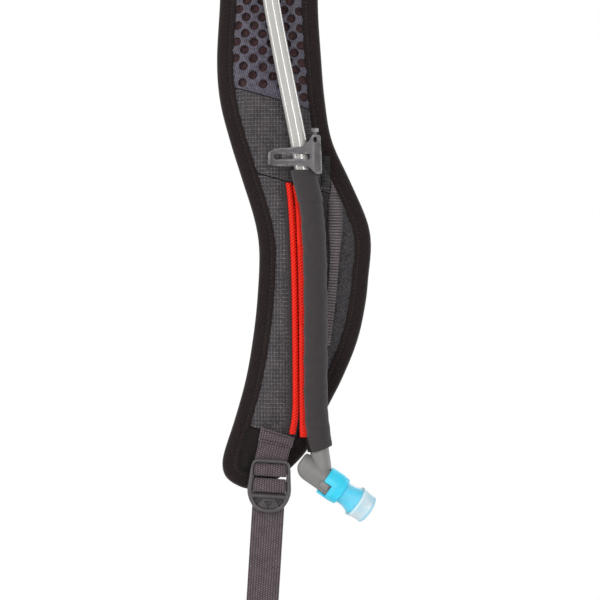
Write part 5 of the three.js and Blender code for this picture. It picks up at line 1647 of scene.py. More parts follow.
@dataclass
class PaddedStrap:
    """The strap's body: padding, cloth panels, bound edge, seams and stitches."""

    finishes: Finishes
    shape: StrapShape = SHAPE
    voxel: float = 5.0
    quick_voxel: float = 8.0
    pressure: float = 4.0
    most_rise: float = 0.6
    most_sink: float = 1.1
    tuck: float = 8.0
    mesh_seam: float = 198.7
    lower_seam: float = 246.3
    hem_seam: float = 399.9
    face_top: float = -16.3
    seam_gap: float = 0.7
    furrow: float = 7.3
    tab_seams: Pair = (-6.0, -11.0)
    strips: tuple[tuple[float, ...], ...] = ((-14.2, -396, -12.6, -420, 2.2),
                                             (11.5, -409, 19.5, -399, 1.5))
    hole_radius: float = 2.72
    column_tops: tuple[float, ...] = (-17.7, -13.02, -8.04, -3.42, 1.2, 5.64, 9.84, 13.8, 18.78,
                                      23.7)
    column_feet: tuple[float, ...] = (-20.4, -15.06, -9.06, -2.88, 3.0, 7.92, 12.6, 16.8, 20.64,
                                      25.2)

    def __post_init__(self) -> None:
        """Prepare the edge lines and the padding's surface."""
        self.edge = self.shape.outline(2.0)
        self.surface = PadSurface()
        self.cutter = PanelCutter(self.surface)
        self.tucked = below(inset_line(self.edge, self.tuck), self.face_top)

    def build(self, core: Piece) -> None:
        """Make every piece of the padded strap.

        Args:
            core: The solid of the foam.
        """
        self.padding(core)
        self.spacer_panel()
        self.cloth_panels()
        self.back_panel()
        self.binding()
        self.seam_tab()
        LOG.info("padded strap dressed")

    def padding(self, core: Piece) -> None:
        """Blow the padding up softly under its cloth, pinned along the bound edge.

        Args:
            core: The solid of the foam.
        """
        pad = bpy.data.objects.new("soft_padding", core.data.copy())
        bpy.context.scene.collection.objects.link(pad)
        remesh = pad.modifiers.new("even", "REMESH")
        remesh.mode = "VOXEL"
        remesh.voxel_size = (self.quick_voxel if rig.quick() else self.voxel) * MM
        pad.data = MeshBook.settled(pad)
        pad.modifiers.clear()
        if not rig.quick():
            self.blow(pad)
        places = self.seated(pad)
        pad.data.shade_smooth()
        pad.data.materials.clear()
        for look in (self.finishes.hollow, self.finishes.hem):
            pad.data.materials.append(look.material)
        for face in pad.data.polygons:
            height = (face.center.z + face.center.x * self.shape.seam_fall) / MM
            face.material_index = int(height < -self.mesh_seam - 1.5 or face.center.y > 0)
        MeshBook.weave(pad.data, places[:, [0, 2, 1]])
        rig.slot(pad, Slot.FOAM.value)
        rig.ride(pad, "strap")
        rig.replaces(pad, "foam_core")
        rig.padded(pad, 0.8)

    def seated(self, pad: Piece) -> Array:
        """Keep the padding just under its cloth, and lower beside the bound edge.

        Args:
            pad: The padding.

        Returns:
            Its points in millimetres.
        """
        places = np.array([v.co for v in pad.data.vertices]) / MM
        flat = places[:, [0, 2]]
        inward = self.surface.edge_distance(flat)
        crease = 1.6 * np.exp(-((inward - self.shape.binding - 1.5) / 3.2) ** 2) + 0.2
        front = self.surface.front(flat) - crease
        back = self.surface.back(flat) - crease
        limit = np.where(places[:, 1] < 0, front, back)
        limit = np.maximum(limit, 0.9)
        places[:, 1] = np.sign(places[:, 1]) * np.minimum(abs(places[:, 1]), limit)
        pad.data.vertices.foreach_set("co", (places * MM).astype(np.float32).ravel())
        pad.data.update()
        return places


    def blow(self, pad: Piece) -> None:
        """Let the padding swell as cloth under pressure, within a small limit.

        Args:
            pad: The evenly meshed padding.
        """
        rest = np.array([v.co for v in pad.data.vertices])
        inward, _ = nearest(rest[:, [0, 2]] / MM, self.edge)
        pins = pad.vertex_groups.new(name="sewn_edge")
        held = (inward < self.shape.binding + 1.5) | (rest[:, 2] / MM > self.face_top - 4)
        pins.add([int(i) for i in np.where(held)[0]], 1.0, "REPLACE")
        cloth = pad.modifiers.new("swell", "CLOTH")
        cloth.settings.use_pressure = True
        cloth.settings.uniform_pressure_force = self.pressure
        cloth.settings.vertex_group_mass = pins.name
        cloth.settings.effector_weights.gravity = 0.0
        cloth.settings.quality = 6
        cloth.settings.tension_stiffness = 18
        cloth.settings.compression_stiffness = 18
        cloth.settings.bending_stiffness = 1.5
        cloth.point_cache.frame_start = 1
        cloth.point_cache.frame_end = 20
        scene = bpy.context.scene
        for frame in range(1, 21):
            scene.frame_set(frame)
        moved = np.array([v.co for v in MeshBook.settled(pad).vertices])
        scene.frame_set(1)
        pad.modifiers.clear()
        depth = (moved - rest)[:, 1] * np.sign(rest[:, 1])
        depth -= np.percentile(depth[~held], 60)
        depth = np.where(held, 0.0, np.clip(depth, -self.most_sink * MM, self.most_rise * MM))
        rest[:, 1] += depth * np.sign(rest[:, 1])
        pad.data.vertices.foreach_set("co", rest.astype(np.float32).ravel())
        pad.data.update()
        front = rest[:, 1] < 0
        self.surface.take_relief(rest[front][:, [0, 2]] / MM, depth[front] / MM)
        LOG.info("padding swelled: %.2f to %.2f mm", depth.min() / MM, depth.max() / MM)

    def seam(self, drop: float, x: float) -> float:
        """Height of a slanting seam at a place across."""
        return -drop - x * self.shape.seam_fall

    def piece_outline(self, top: Callable[[float], float], bottom: Callable[[float], float],
                      left: Array | None = None,
                      right: Array | None = None) -> Array:
        """Outline of a panel between two seams and two side lines.

        Args:
            top: Height of the upper seam at a place across.
            bottom: Height of the lower seam at a place across.
            left: Left side line, or None for the tucked edge.
            right: Right side line, or None for the tucked edge.

        Returns:
            The outline, down the left side and up the right.
        """
        foot = int(np.argmin(self.tucked[:, 1]))
        sides = []
        for line, default in ((left, self.tucked[:foot + 1]),
                              (right, self.tucked[foot:][::-1])):
            line = default if line is None else line
            line = line[np.argsort(-line[:, 1])]
            keep = [p for p in line if bottom(p[0]) + 0.4 < p[1] < top(p[0]) - 0.4]
            ends = []
            for seam in (top, bottom):
                x = keep[0][0] if seam is top else keep[-1][0]
                for _ in range(6):
                    x = float(np.interp(-seam(x), -line[:, 1], line[:, 0]))
                ends.append((x, seam(x)))
            sides.append(np.array([ends[0], *keep, ends[1]]))
        low = self.spread(sides[0][-1], sides[1][-1], bottom)
        high = self.spread(sides[1][0], sides[0][0], top)
        return np.vstack([sides[0], low, sides[1][::-1], high])

    def spread(self, start: Array, end: Array,
               seam: Callable[[float], float]) -> Array:
        """Points along a seam between two ends, without the ends."""
        count = max(int(abs(end[0] - start[0]) / 2), 1)
        xs = np.linspace(start[0], end[0], count + 1)[1:-1]
        return np.array([(x, seam(x)) for x in xs]).reshape(-1, 2)

    def thin_under_binding(self, thickness: float, reach: float = 2.6) -> Callable[[Array], Array]:
        """Make the cloth sink under the binding's inner edge.

        Args:
            thickness: Thickness of the cloth in the open.
            reach: How far inside the binding it comes back to full thickness.

        Returns:
            The height change at each point.
        """
        def change(flat: Array) -> Array:
            """Height change at places across and heights."""
            inward, _ = nearest(flat, self.edge)
            share = np.clip((inward - self.shape.binding) / reach, 0, 1)
            return -(thickness - 0.45) * (1 - np.sin(share * math.pi / 2))
        return change

    def holes(self) -> list[Triple]:
        """Find the mesh's holes: columns that fan out, with rows set half a step apart.

        Returns:
            Place and radius of each round hole.
        """
        found = []
        for column, (start, end) in enumerate(zip(self.column_tops, self.column_feet), -1):
            first = 146.34 + 0.15 * column if column % 2 else 141.36 + 0.09 * column
            for row in range(-16, 8):
                drop = first + (9.81 + 0.078 * column) * row
                x = start + (end - start) * min(max((drop - 151.2) / 34.8, -0.35), 1.4)
                spot = np.array([[x, -drop]])
                if (self.seam(self.mesh_seam, x) + 2.9 < -drop < self.face_top - 4
                        and in_outline(spot, self.tucked)[0]
                        and nearest(spot, self.tucked)[0][0] > 3.0):
                    found.append((x, -drop, self.hole_radius))
        return found

    def spacer_panel(self) -> None:
        """Lay the perforated spacer mesh over the upper padding."""
        outline = self.piece_outline(lambda x: self.face_top,
                                     lambda x: self.seam(self.mesh_seam, x))
        sink = self.thin_under_binding(self.shape.mesh, 3.4)

        def roll(flat: Array) -> Array:
            """Sink the mesh at its edge, and roll it under at its sewn lower end."""
            away = flat[:, 1] - self.seam(self.mesh_seam, flat[:, 0])
            return sink(flat) - 1.2 * np.exp(-away / 1.6)
        piece = self.cutter.lay("spacer_mesh_panel", outline, self.finishes.spacer,
                                self.shape.mesh, roll, self.holes(), 0.55)
        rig.ride(piece, "strap")
        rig.replaces(piece, "top_spacer_mesh")

    def cloth_panels(self) -> None:
        """Lay the ripstop panels, the side panel and the cloth of the foot."""
        s, f = self.shape, self.finishes
        heights = np.linspace(-240, -412, 60)
        piping = np.array([(s.piping_x(min(z, -s.piping_run[0][0])), z) for z in heights])
        sink = self.thin_under_binding(s.cloth)
        upper, lower, hem = self.mesh_seam, self.lower_seam, self.hem_seam
        plans = (("upper_ripstop_cloth", "upper_ripstop_panel", f.ripstop, upper, lower, None, None),
                 ("lower_ripstop_cloth", "lower_ripstop_panel", f.ripstop, lower, hem, None,
                  piping - [0.2, 0]),
                 ("side_stretch_cloth", "side_stretch_panel", f.stretch, lower, hem,
                  piping + [0.2, 0], None))
        for name, node, look, top, bottom, left, right in plans:
            outline = self.piece_outline(lambda x, t=top: self.seam(t + self.seam_gap, x),
                                         lambda x, b=bottom: self.seam(b, x), left, right)
            piece = self.cutter.lay(name, outline, look, s.cloth, sink)
            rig.ride(piece, "strap")
            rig.replaces(piece, node)
        foot = self.tucked[self.tucked[:, 1] < self.seam(hem + self.seam_gap, self.tucked[:, 0])]
        top = self.spread(foot[-1], foot[0], lambda x: self.seam(hem + self.seam_gap, x))
        piece = self.cutter.lay("foot_cloth_panel", np.vstack([foot, top]), f.hem, s.cloth,
                                lambda flat: sink(flat) + self.embossing(flat))
        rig.ride(piece, "strap")
        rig.replaces(piece, "bottom_reinforcement")

    def embossing(self, flat: Array) -> Array:
        """Find the height of the pressed strips on the foot's cloth.

        Args:
            flat: Places across and heights.

        Returns:
            One height for each place.
        """
        height = np.zeros(len(flat))
        for x0, z0, x1, z1, half in self.strips:
            away = nearest(flat, np.array([[x0, z0], [x1, z1]]))[0]
            height = np.maximum(height, 1.2 * np.clip((half - away) / 0.4, 0, 1))
        return height

    def back_panel(self) -> None:
        """Lay the knitted cloth on the strap's back."""
        thick = self.shape.back_cloth
        piece = self.cutter.lay("back_knit_panel", self.tucked, self.finishes.back, thick,
                                self.thin_under_binding(thick), back=True)
        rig.ride(piece, "strap")
        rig.replaces(piece, "back_mesh_panel")

    def binding_height(self, inward: Array, along: Array) -> Array:
        """Depth of the folded tape: a round nose, a sewn furrow and a rolled inner edge.

        Args:
            inward: Distances inside the strap's edge.
            along: Lengths along it.

        Returns:
            One depth for each place.
        """
        half = self.shape.edge / 2 + self.shape.gap + 1.2
        nose = np.sqrt(np.clip(1 - (1 - np.clip(inward / 2.8, 0, 1)) ** 2, 0, 1))
        furrow = 0.6 * np.exp(-((inward - self.furrow) / 0.6) ** 2)
        rolled = 0.5 * np.clip((inward - 9.35) / 0.65, 0, 1) ** 2
        ripple = 0.1 * np.sin(along / 3.1) + 0.08 * np.sin(along / 7.7 + 1.3)
        calm = np.clip(inward / 3, 0, 1)
        return half * nose + calm * (ripple + 0.12) - furrow - rolled

    def binding(self) -> None:
        """Fold the woven tape round the strap's edge and sew it down."""
        rows = (0, 0.25, 0.6, 1.1, 1.8, 2.8, 4.2, 5.6, 6.5, 7.0, self.furrow, 7.6, 8.2, 8.9, 9.4,
                9.75, 10)
        lines = [below(inset_line(self.edge, d), self.face_top) for d in rows]
        flat, triangles = triangulate([np.vstack([lines[0], lines[-1][::-1]])],
                                      np.vstack(lines[1:-1]))
        inward, along = nearest(flat, self.edge)
        height = np.where(inward < 1e-3, 0.0, self.binding_height(inward, along))
        points = np.vstack([np.stack([flat[:, 0], sign * height, flat[:, 1]], 1)
                            for sign in (-1, 1)])
        cloth = np.vstack([np.stack([along, inward, flat[:, 1]], 1)] * 2)
        piece = MeshBook.make("binding_tape", points, skin_faces(triangles, len(flat)),
                              self.finishes.binding, cloth, 75, True)
        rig.ride(piece, "strap")
        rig.replaces(piece, "edge_binding")
        row = below(inset_line(self.edge, self.furrow, 1.5), self.face_top - 1)
        for side, sign in (("front", -1.0), ("back", 1.0)):
            stitch_row(f"binding_stitches_{side}", row,
                       lambda p: self.binding_height(*nearest(p, self.edge)) + 0.06,
                       self.finishes.thread, (2.4, 1.7, 0.25), sign)


    def seam_tab(self) -> None:
        """Make the sewn tab at the top that the yoke is joined to."""
        s, half = self.shape, 1.5
        z = -s.tab * np.linspace(0, 1, 17)[:, None]
        share = np.linspace(0, 1, 30)[None]
        left, right = (np.array([[edge(float(h))] for h in z[:, 0]]) for edge in (s.left, s.right))
        x = left + (right - left) * share
        ease = np.minimum(1.0, np.minimum(share, 1 - share) * (right - left) / 1.2)
        tall = half - 0.5 * (1 - np.sqrt(1 - (1 - ease) ** 2))
        for seam in self.tab_seams:
            tall = tall - 0.2 * (abs(z - seam) < 0.6)
        z = z + 0 * x
        piece = thick_sheet("seam_tab_cloth", x, z, tall, -tall, (x, z), self.finishes.hem, 50)
        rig.ride(piece, "strap")
        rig.replaces(piece, "yoke_seam_tab")
        for number, seam in enumerate(self.tab_seams):
            row = np.array([(x, seam) for x in np.linspace(s.left(seam) + 2, s.right(seam) - 2, 40)])
            stitch_row(f"tab_stitches_{number + 1}", row, lambda p: np.full(len(p), 1.32),
                       self.finishes.thread, (2.6, 1.9, 0.25))


class Carver:
    """Joins and cuts closed pieces, and rounds blocks."""

    @staticmethod
    def combine(base: Piece, others: Sequence[Piece], operation: str, sharp: float) -> Piece:
        """Join pieces to a piece, or cut them out of it.

        Args:
            base: The piece that stays.
            others: Pieces that are used up.
            operation: UNION or DIFFERENCE.
            sharp: Angle in degrees above which edges stay crisp.

        Returns:
            The piece that stays.
        """
        for other in others:
            step = base.modifiers.new("step", "BOOLEAN")
            step.operation, step.solver, step.object = operation, "EXACT", other
        mesh = MeshBook.settled(base)
        base.modifiers.clear()
        base.data = mesh
        material = mesh.materials[0]
        mesh.materials.clear()
        mesh.materials.append(material)
        mesh.polygons.foreach_set("material_index", [0] * len(mesh.polygons))
        for other in others:
            bpy.data.objects.remove(other)
        mesh.shade_smooth()
        mesh.set_sharp_from_angle(angle=math.radians(sharp))
        return base

    @staticmethod
    def block(name: str, low: Triple, high: Triple, radius: float, look: Look,
              place: Matrix | None = None, segments: int = 3) -> Piece:
        """Make a block with rounded edges.

        Args:
            name: Name of the piece.
            low: Lowest corner.
            high: Highest corner.
            radius: Radius of its edges.
            look: Finish and slot of the piece.
            place: Where its frame lies, or none for the frame of the part.
            segments: Facets of each rounded edge.

        Returns:
            The new object.
        """
        shell = bmesh.new()
        bmesh.ops.create_cube(shell, size=1.0)
        size, middle = Vector(high) - Vector(low), (Vector(high) + Vector(low)) / 2
        for vertex in shell.verts:
            vertex.co = middle + Vector(c * s for c, s in zip(vertex.co, size))
        bmesh.ops.bevel(shell, geom=list(shell.edges), offset=radius, segments=segments,
                        profile=0.5, affect="EDGES")
        points = [(place @ v.co) if place else v.co.copy() for v in shell.verts]
        faces = [[v.index for v in f.verts] for f in shell.faces]
        shell.free()
        return MeshBook.make(name, points, faces, look, sharp=50)


@dataclass
class WovenBand:
    """A woven strap that follows a path, with round, slightly thicker edges."""

    width: float = 19.0
    thickness: float = 1.3
    columns: int = 17
    selvedge: float = 0.1

    def section(self) -> list[Pair]:
        """Find the closed section of the strap.

        Returns:
            Its points, across and up.
        """
        tall = self.thickness / 2
        flat = self.width / 2 - tall
        top = []
        for share in np.linspace(-1, 1, self.columns):
            rim = self.selvedge * max(0.0, (abs(share) - 0.8) / 0.2) if abs(share) < 1 else 0.0
            top.append((share * flat, tall + rim))
        turn = [(flat + tall * math.sin(a), tall * math.cos(a)) for a in arc(30, 150, 5)]
        return top + turn + [(-a, -u) for a, u in top + turn]

    def sweep(self, name: str, path: Sequence[Vector], across: Vector,
              place: Callable[[Vector], Vector], look: Look, start: float = 0.0) -> Piece:
        """Make the strap.

        Args:
            name: Name of the piece.
            path: Points of its middle line.
            across: Direction of its width.
            place: Moves a point from the path's frame to the frame of the part.
            look: Finish and slot of the strap.
            start: Length along the weave at the path's first point.

        Returns:
            The new object.
        """
        section = self.section()
        points, cloth, travelled = [], [], start
        for i, spot in enumerate(path):
            if i:
                travelled += (spot - path[i - 1]).length
            way = (path[min(i + 1, len(path) - 1)] - path[max(i - 1, 0)]).normalized()
            up = across.cross(way).normalized()
            for a, u in section:
                points.append(place(spot + across * a + up * u))
                cloth.append((a, travelled, u))
        faces = tube_faces(len(path), len(section), False)
        return MeshBook.make(name, points, faces, look, cloth, 60)


def thick_sheet(name: str, x: Array, z: Array, front: Array, back: Array,
                threads: tuple[Array, Array], look: Look, sharp: float = 60.0) -> Piece:
    """Close two grids of points into one thick sheet.

    Args:
        name: Name of the piece.
        x: Places across, row by row.
        z: Heights.
        front: Depths of the front, counted forward.
        back: Depths of the back.
        threads: Thread coordinates, across and along.
        look: Finish and slot of the sheet.
        sharp: Angle in degrees above which edges stay crisp.

    Returns:
        The new object.
    """
    rows, columns = x.shape
    base = rows * columns
    faces = ring_faces(rows, columns, 0, False)
    faces += [f[::-1] for f in ring_faces(rows, columns, base, False)]
    rim = list(range(columns))
    rim += [r * columns + columns - 1 for r in range(1, rows)]
    rim += [(rows - 1) * columns + c for c in range(columns - 2, -1, -1)]
    rim += [r * columns for r in range(rows - 2, 0, -1)]
    faces += [[b, a, base + a, base + b] for a, b in zip(rim, rim[1:] + rim[:1])]
    points = [np.stack([x, -depth, z], 2).reshape(-1, 3) for depth in (front, back)]
    cloth = np.stack([*threads, 0 * x], 2).reshape(-1, 3)
    return MeshBook.make(name, np.vstack(points), faces, look, np.vstack([cloth, cloth]), sharp)


@dataclass
class RailSide:
    """Rail webbing, gathered elastic loop and hose keeper, sewn to the strap's face."""

    finishes: Finishes
    surface: PadSurface
    shape: StrapShape = SHAPE
    rail_width: float = 8.4
    rail_thickness: float = 1.3
    rib_pitch: float = 1.7
    rail_taper: tuple[Pair, ...] = ((247, 0.5), (256, 0.75), (262, 1.05), (280, 1.05),
                                    (294, 0.7), (348, 0.6))
    rail_run: tuple[Pair, ...] = ((247, 40.0), (253, 40.4), (285, 40.2), (315, 38.4),
                                  (348, 34.6))
    strong_ribs: Pair = (262.0, 277.0)
    tack: float = 258.0
    loop_left: float = 32.2
    loop_width: float = 5.0
    loop_top: float = -234.5
    loop_height: float = 18.0
    loop_thickness: float = 1.6
    keeper_drop: float = 64.0
    keeper_height: float = 12.0
    keeper_toe: float = 7.0

    def build(self) -> None:
        """Make the three pieces."""
        self.rail()
        self.elastic_loop()
        self.keeper()
        LOG.info("rail, elastic loop and keeper dressed")

    def rail(self) -> None:
        """Make the rail webbing with its ribs and its bar tack."""
        line = smooth_through(self.rail_run)
        top, end = self.rail_run[0][0], self.rail_run[-1][0]
        drops = np.linspace(top, end, int((end - top) / 0.35) + 1)[:, None]
        shares = np.linspace(-1, 1, 15)[None]
        centre = np.array([[line(d)] for d in drops[:, 0]])
        lean = np.gradient(centre[:, 0], drops[:, 0])[:, None]
        away = np.clip(abs(drops - sum(self.strong_ribs) / 2) - 5.5, 0, 4) / 4
        wave = (abs(np.sin(math.pi * drops / self.rib_pitch)) - 0.5) * (0.2 + 0.6 * (1 - away))
        tacked = 0.45 * np.exp(-((drops - self.tack) / 1.3) ** 2)
        half = self.rail_width / 2 * np.interp(drops, *zip(*self.rail_taper))
        x = centre + shares * half
        z = -drops + shares * half * lean
        base = self.surface.over(x, z) + 2 * self.shape.layer + self.shape.cloth
        rim = np.sqrt(np.clip(1 - np.clip(abs(shares) - 0.82, 0, 1) ** 2 / 0.0324, 0, 1))
        tall = 0.45 + (self.rail_thickness - 0.45) * rim
        tall = tall + wave * np.minimum(rim, 1 - abs(shares) ** 6) - tacked * rim
        inward = self.surface.edge_distance(np.stack([x.ravel(), z.ravel()], 1))
        under = np.clip((10.9 - inward.reshape(x.shape)) / 0.9, 0, 1)
        piece = thick_sheet("rail_webbing_strip", x, z, (base + tall) * (1 - under) + 2.3 * under,
                            base * (1 - under) + 1.75 * under,
                            (x - centre + 5.5, drops + 0 * x), self.finishes.ribbed)
        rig.ride(piece, "strap")
        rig.replaces(piece, "rail_webbing")
        middle = line(self.tack)
        for number, offset in enumerate((-0.7, 0.7)):
            row = np.array([(middle + side, -self.tack + offset) for side in (-3.4, 3.4)])
            stitch_row(f"rail_tack_{number + 1}", row, lambda p: self.surface.front(p) + 2.75,
                       self.finishes.thread, (0.9, 0.8, 0.3))

    def elastic_loop(self) -> None:
        """Make the elastic loop, drawn into uneven gathers."""
        z = (self.loop_top - self.loop_height * np.linspace(0, 1, 90))[:, None]
        share = np.linspace(0, 1, 13)[None]
        bow = np.sin(share * math.pi)
        gather = np.sin(z * 3.1 + 1.1 * np.sin(share * 2.6 + z * 0.35))
        gather = gather + 0.45 * np.sin(z * 5.3 + 2.2 * share)
        x = self.loop_left + share * self.loop_width + 0.25 * np.sin(z * 3.1) * (share - 0.5)
        z = z + 0 * x
        base = self.surface.over(x, z) + 2 * self.shape.layer + self.shape.cloth
        tall = self.loop_thickness * (0.55 + 0.45 * bow) + 0.62 * gather * bow
        piece = thick_sheet("gathered_loop", x, z, base + np.maximum(tall, 0.4), base,
                            (share * self.loop_width + 0 * x, z), self.finishes.elastic)
        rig.ride(piece, "strap")
        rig.replaces(piece, "elastic_loop")

    def keeper(self) -> None:
        """Make the keeper band that arches over the hose."""
        s = self.shape
        x = s.hose_x(-self.keeper_drop)
        radius, foot = s.hose_radius + s.gap + 0.5, 10.6
        half = [(radius + self.keeper_toe, foot), (radius + 4, foot), (radius + 1.6, foot + 0.2),
                (radius + 0.3, foot + 1.6), (radius, foot + 3.4)]
        path = [Vector((x - a, -d, 0)) for a, d in half]
        path += [Vector((x - radius * math.cos(t), -s.hose_depth - radius * math.sin(t), 0))
                 for t in arc(0, 180, 15)]
        path += [Vector((x + a, -d, 0)) for a, d in half[::-1]]
        band = WovenBand(self.keeper_height, 1.0, 13, 0.06)
        piece = band.sweep("hose_keeper_band", soften(path, 3), Vector((0, 0, 1)),
                           lambda p: p + Vector((0, 0, -self.keeper_drop)), self.finishes.elastic)
        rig.ride(piece, "strap")
        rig.replaces(piece, "hose_keeper_loop")


@dataclass
class MagnetPiping:
    """The two red cords that hold the hose's sleeve against the strap."""

    finishes: Finishes
    surface: PadSurface
    shape: StrapShape = SHAPE
    radius: float = 1.85
    foot: float = 2.0
    foot_thickness: float = 1.0
    web: float = 1.2
    web_reach: float = 8.0
    web_turn: float = 38.0
    rib: float = 0.17
    rib_pitch: float = 1.95
    row: float = 0.36
    joints: tuple[Triple, ...] = ((254, 288, 276), (300, 336, 324), (348, 403, 372))
    lift: tuple[Pair, ...] = ((252, 0), (265.4, 0.05), (282.8, 0.6), (300.2, 1), (348, 1),
                              (403, 1))

    def build(self) -> None:
        """Make both cords and the stitches beside them."""
        self.strap_cord()
        self.sleeve_cord()
        self.stitches()
        LOG.info("piping dressed")

    def strap_depth(self, z: float) -> float:
        """Depth of the strap cord's centre at a height."""
        x = self.shape.piping_x(z)
        spots = np.array([[x + a, z] for a in (-3.85, 0.0, 1.85)])
        top = float(self.surface.front(spots).max())
        return top + self.shape.layer + self.shape.cloth + self.shape.gap + self.radius

    def sleeve_depth(self, z: float) -> float:
        """Depth of the sleeve cord's centre at a height."""
        return 8.4 + 2.0 * smooth_through(self.lift)(-z) + self.shape.gap + self.radius

    def bead(self, low: float, high: float, along: float) -> list[Pair]:
        """Round part of the section, with slanting ribs.

        Args:
            low: Angle where the round part starts, in degrees.
            high: Angle where it ends.
            along: Length along the cord.

        Returns:
            The points, across and forward.
        """
        points = []
        for angle in arc(low, high, 27):
            slant = (along + self.radius * angle * 0.75) * 2 * math.pi / self.rib_pitch
            points.append(polar(self.radius - self.rib + self.rib * math.sin(slant), angle))
        return points

    def strap_cord(self) -> None:
        """Make the cord that is sewn to the strap, its base and its flat foot."""
        top, end = -self.shape.piping_run[0][0], -self.shape.piping_run[-1][0]
        heights = list(np.linspace(top, end, int((top - end) / self.row)))
        sweep = LineSweep(self.shape.piping_x, self.strap_depth)
        floor = -self.radius
        piece = sweep.tube("strap_cord", heights, lambda z: self.bead(-90, 256, z),
                           self.finishes.piping)
        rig.ride(piece, "strap")
        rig.replaces(piece, "strap_piping")
        base = [(0.0, floor + 0.05), (2.15, floor + 0.05), (2.15, floor + 0.8), (0.0, floor + 0.8)]
        piece = sweep.tube("strap_cord_base", heights[40::4], lambda z: base,
                           self.finishes.piping, sharp=40)
        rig.ride(piece, "strap")

        def foot(z: float) -> list[Pair]:
            """Flat foot that is sewn down beside the bead, wider at its lower end."""
            high = floor + self.foot_thickness
            reach = floor - self.foot - 1.4 * max(0.0, 1 - (z - end) / 9)
            return [(reach, floor + 0.2), (reach + 0.2, floor), (-0.9, floor), (-0.9, floor + 0.3),
                    (-self.radius, high), (reach + 0.3, high), (reach, high - 0.3)]
        piece = sweep.tube("strap_cord_foot", heights[::4] + heights[-1:], foot,
                           self.finishes.sleeve.on(Slot.BINDING), sharp=40)
        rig.ride(piece, "strap")

    def sleeve_cord(self) -> None:
        """Make the cord on the hose's sleeve, in three lengths that bend with it."""
        turn = math.radians(self.web_turn)
        side = (math.sin(turn) * self.web / 2, -math.cos(turn) * self.web / 2)

        def section(z: float) -> list[Pair]:
            """Bead with the web that is sewn into the sleeve."""
            x = self.shape.hose_x(z) - self.shape.sleeve_piping_x(z)
            across, forward = polar(min(self.web_reach, math.hypot(x, 5.0) - 2.6), turn)
            return self.bead(63, 373, z) + [(across + side[0], forward + side[1]),
                                            (across - side[0], forward - side[1])]
        sweep = LineSweep(self.shape.sleeve_piping_x, self.sleeve_depth)
        top = self.shape.sleeve_piping_run[0][0]
        nodes = (("cuff_piping", "sleeve_piping_1"), ("sleeve_piping_2",),
                 ("sleeve_piping_3",))
        for number, (first, end, last) in enumerate(self.joints):
            heights = list(np.linspace(-top, -end, int((end - top) / self.row)))
            piece = sweep.tube(f"sleeve_cord_{number + 1}", heights, section,
                               self.finishes.piping)
            x = self.shape.sleeve_piping_x(-first)
            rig.blend(piece, SLEEVE_BODIES[number], SLEEVE_BODIES[number + 1],
                     (x * MM, -0.013, -first * MM), (x * MM, -0.013, -last * MM))
            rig.replaces(piece, *nodes[number])
            top = end

    def stitches(self) -> None:
        """Sew the strap cord's foot down with three rows of dark thread."""
        for number, (offset, lift) in enumerate(((3.0, 2.75), (4.7, 1.46), (6.3, 1.46))):
            row = np.array([(self.shape.piping_x(z) - offset, z)
                            for z in np.linspace(-252, -400, 90)])
            stitch_row(f"cord_stitches_{number + 1}", row,
                       lambda p, up=lift: self.surface.front(p) + up, self.finishes.thread,
                       (2.6, 1.7, 0.24))


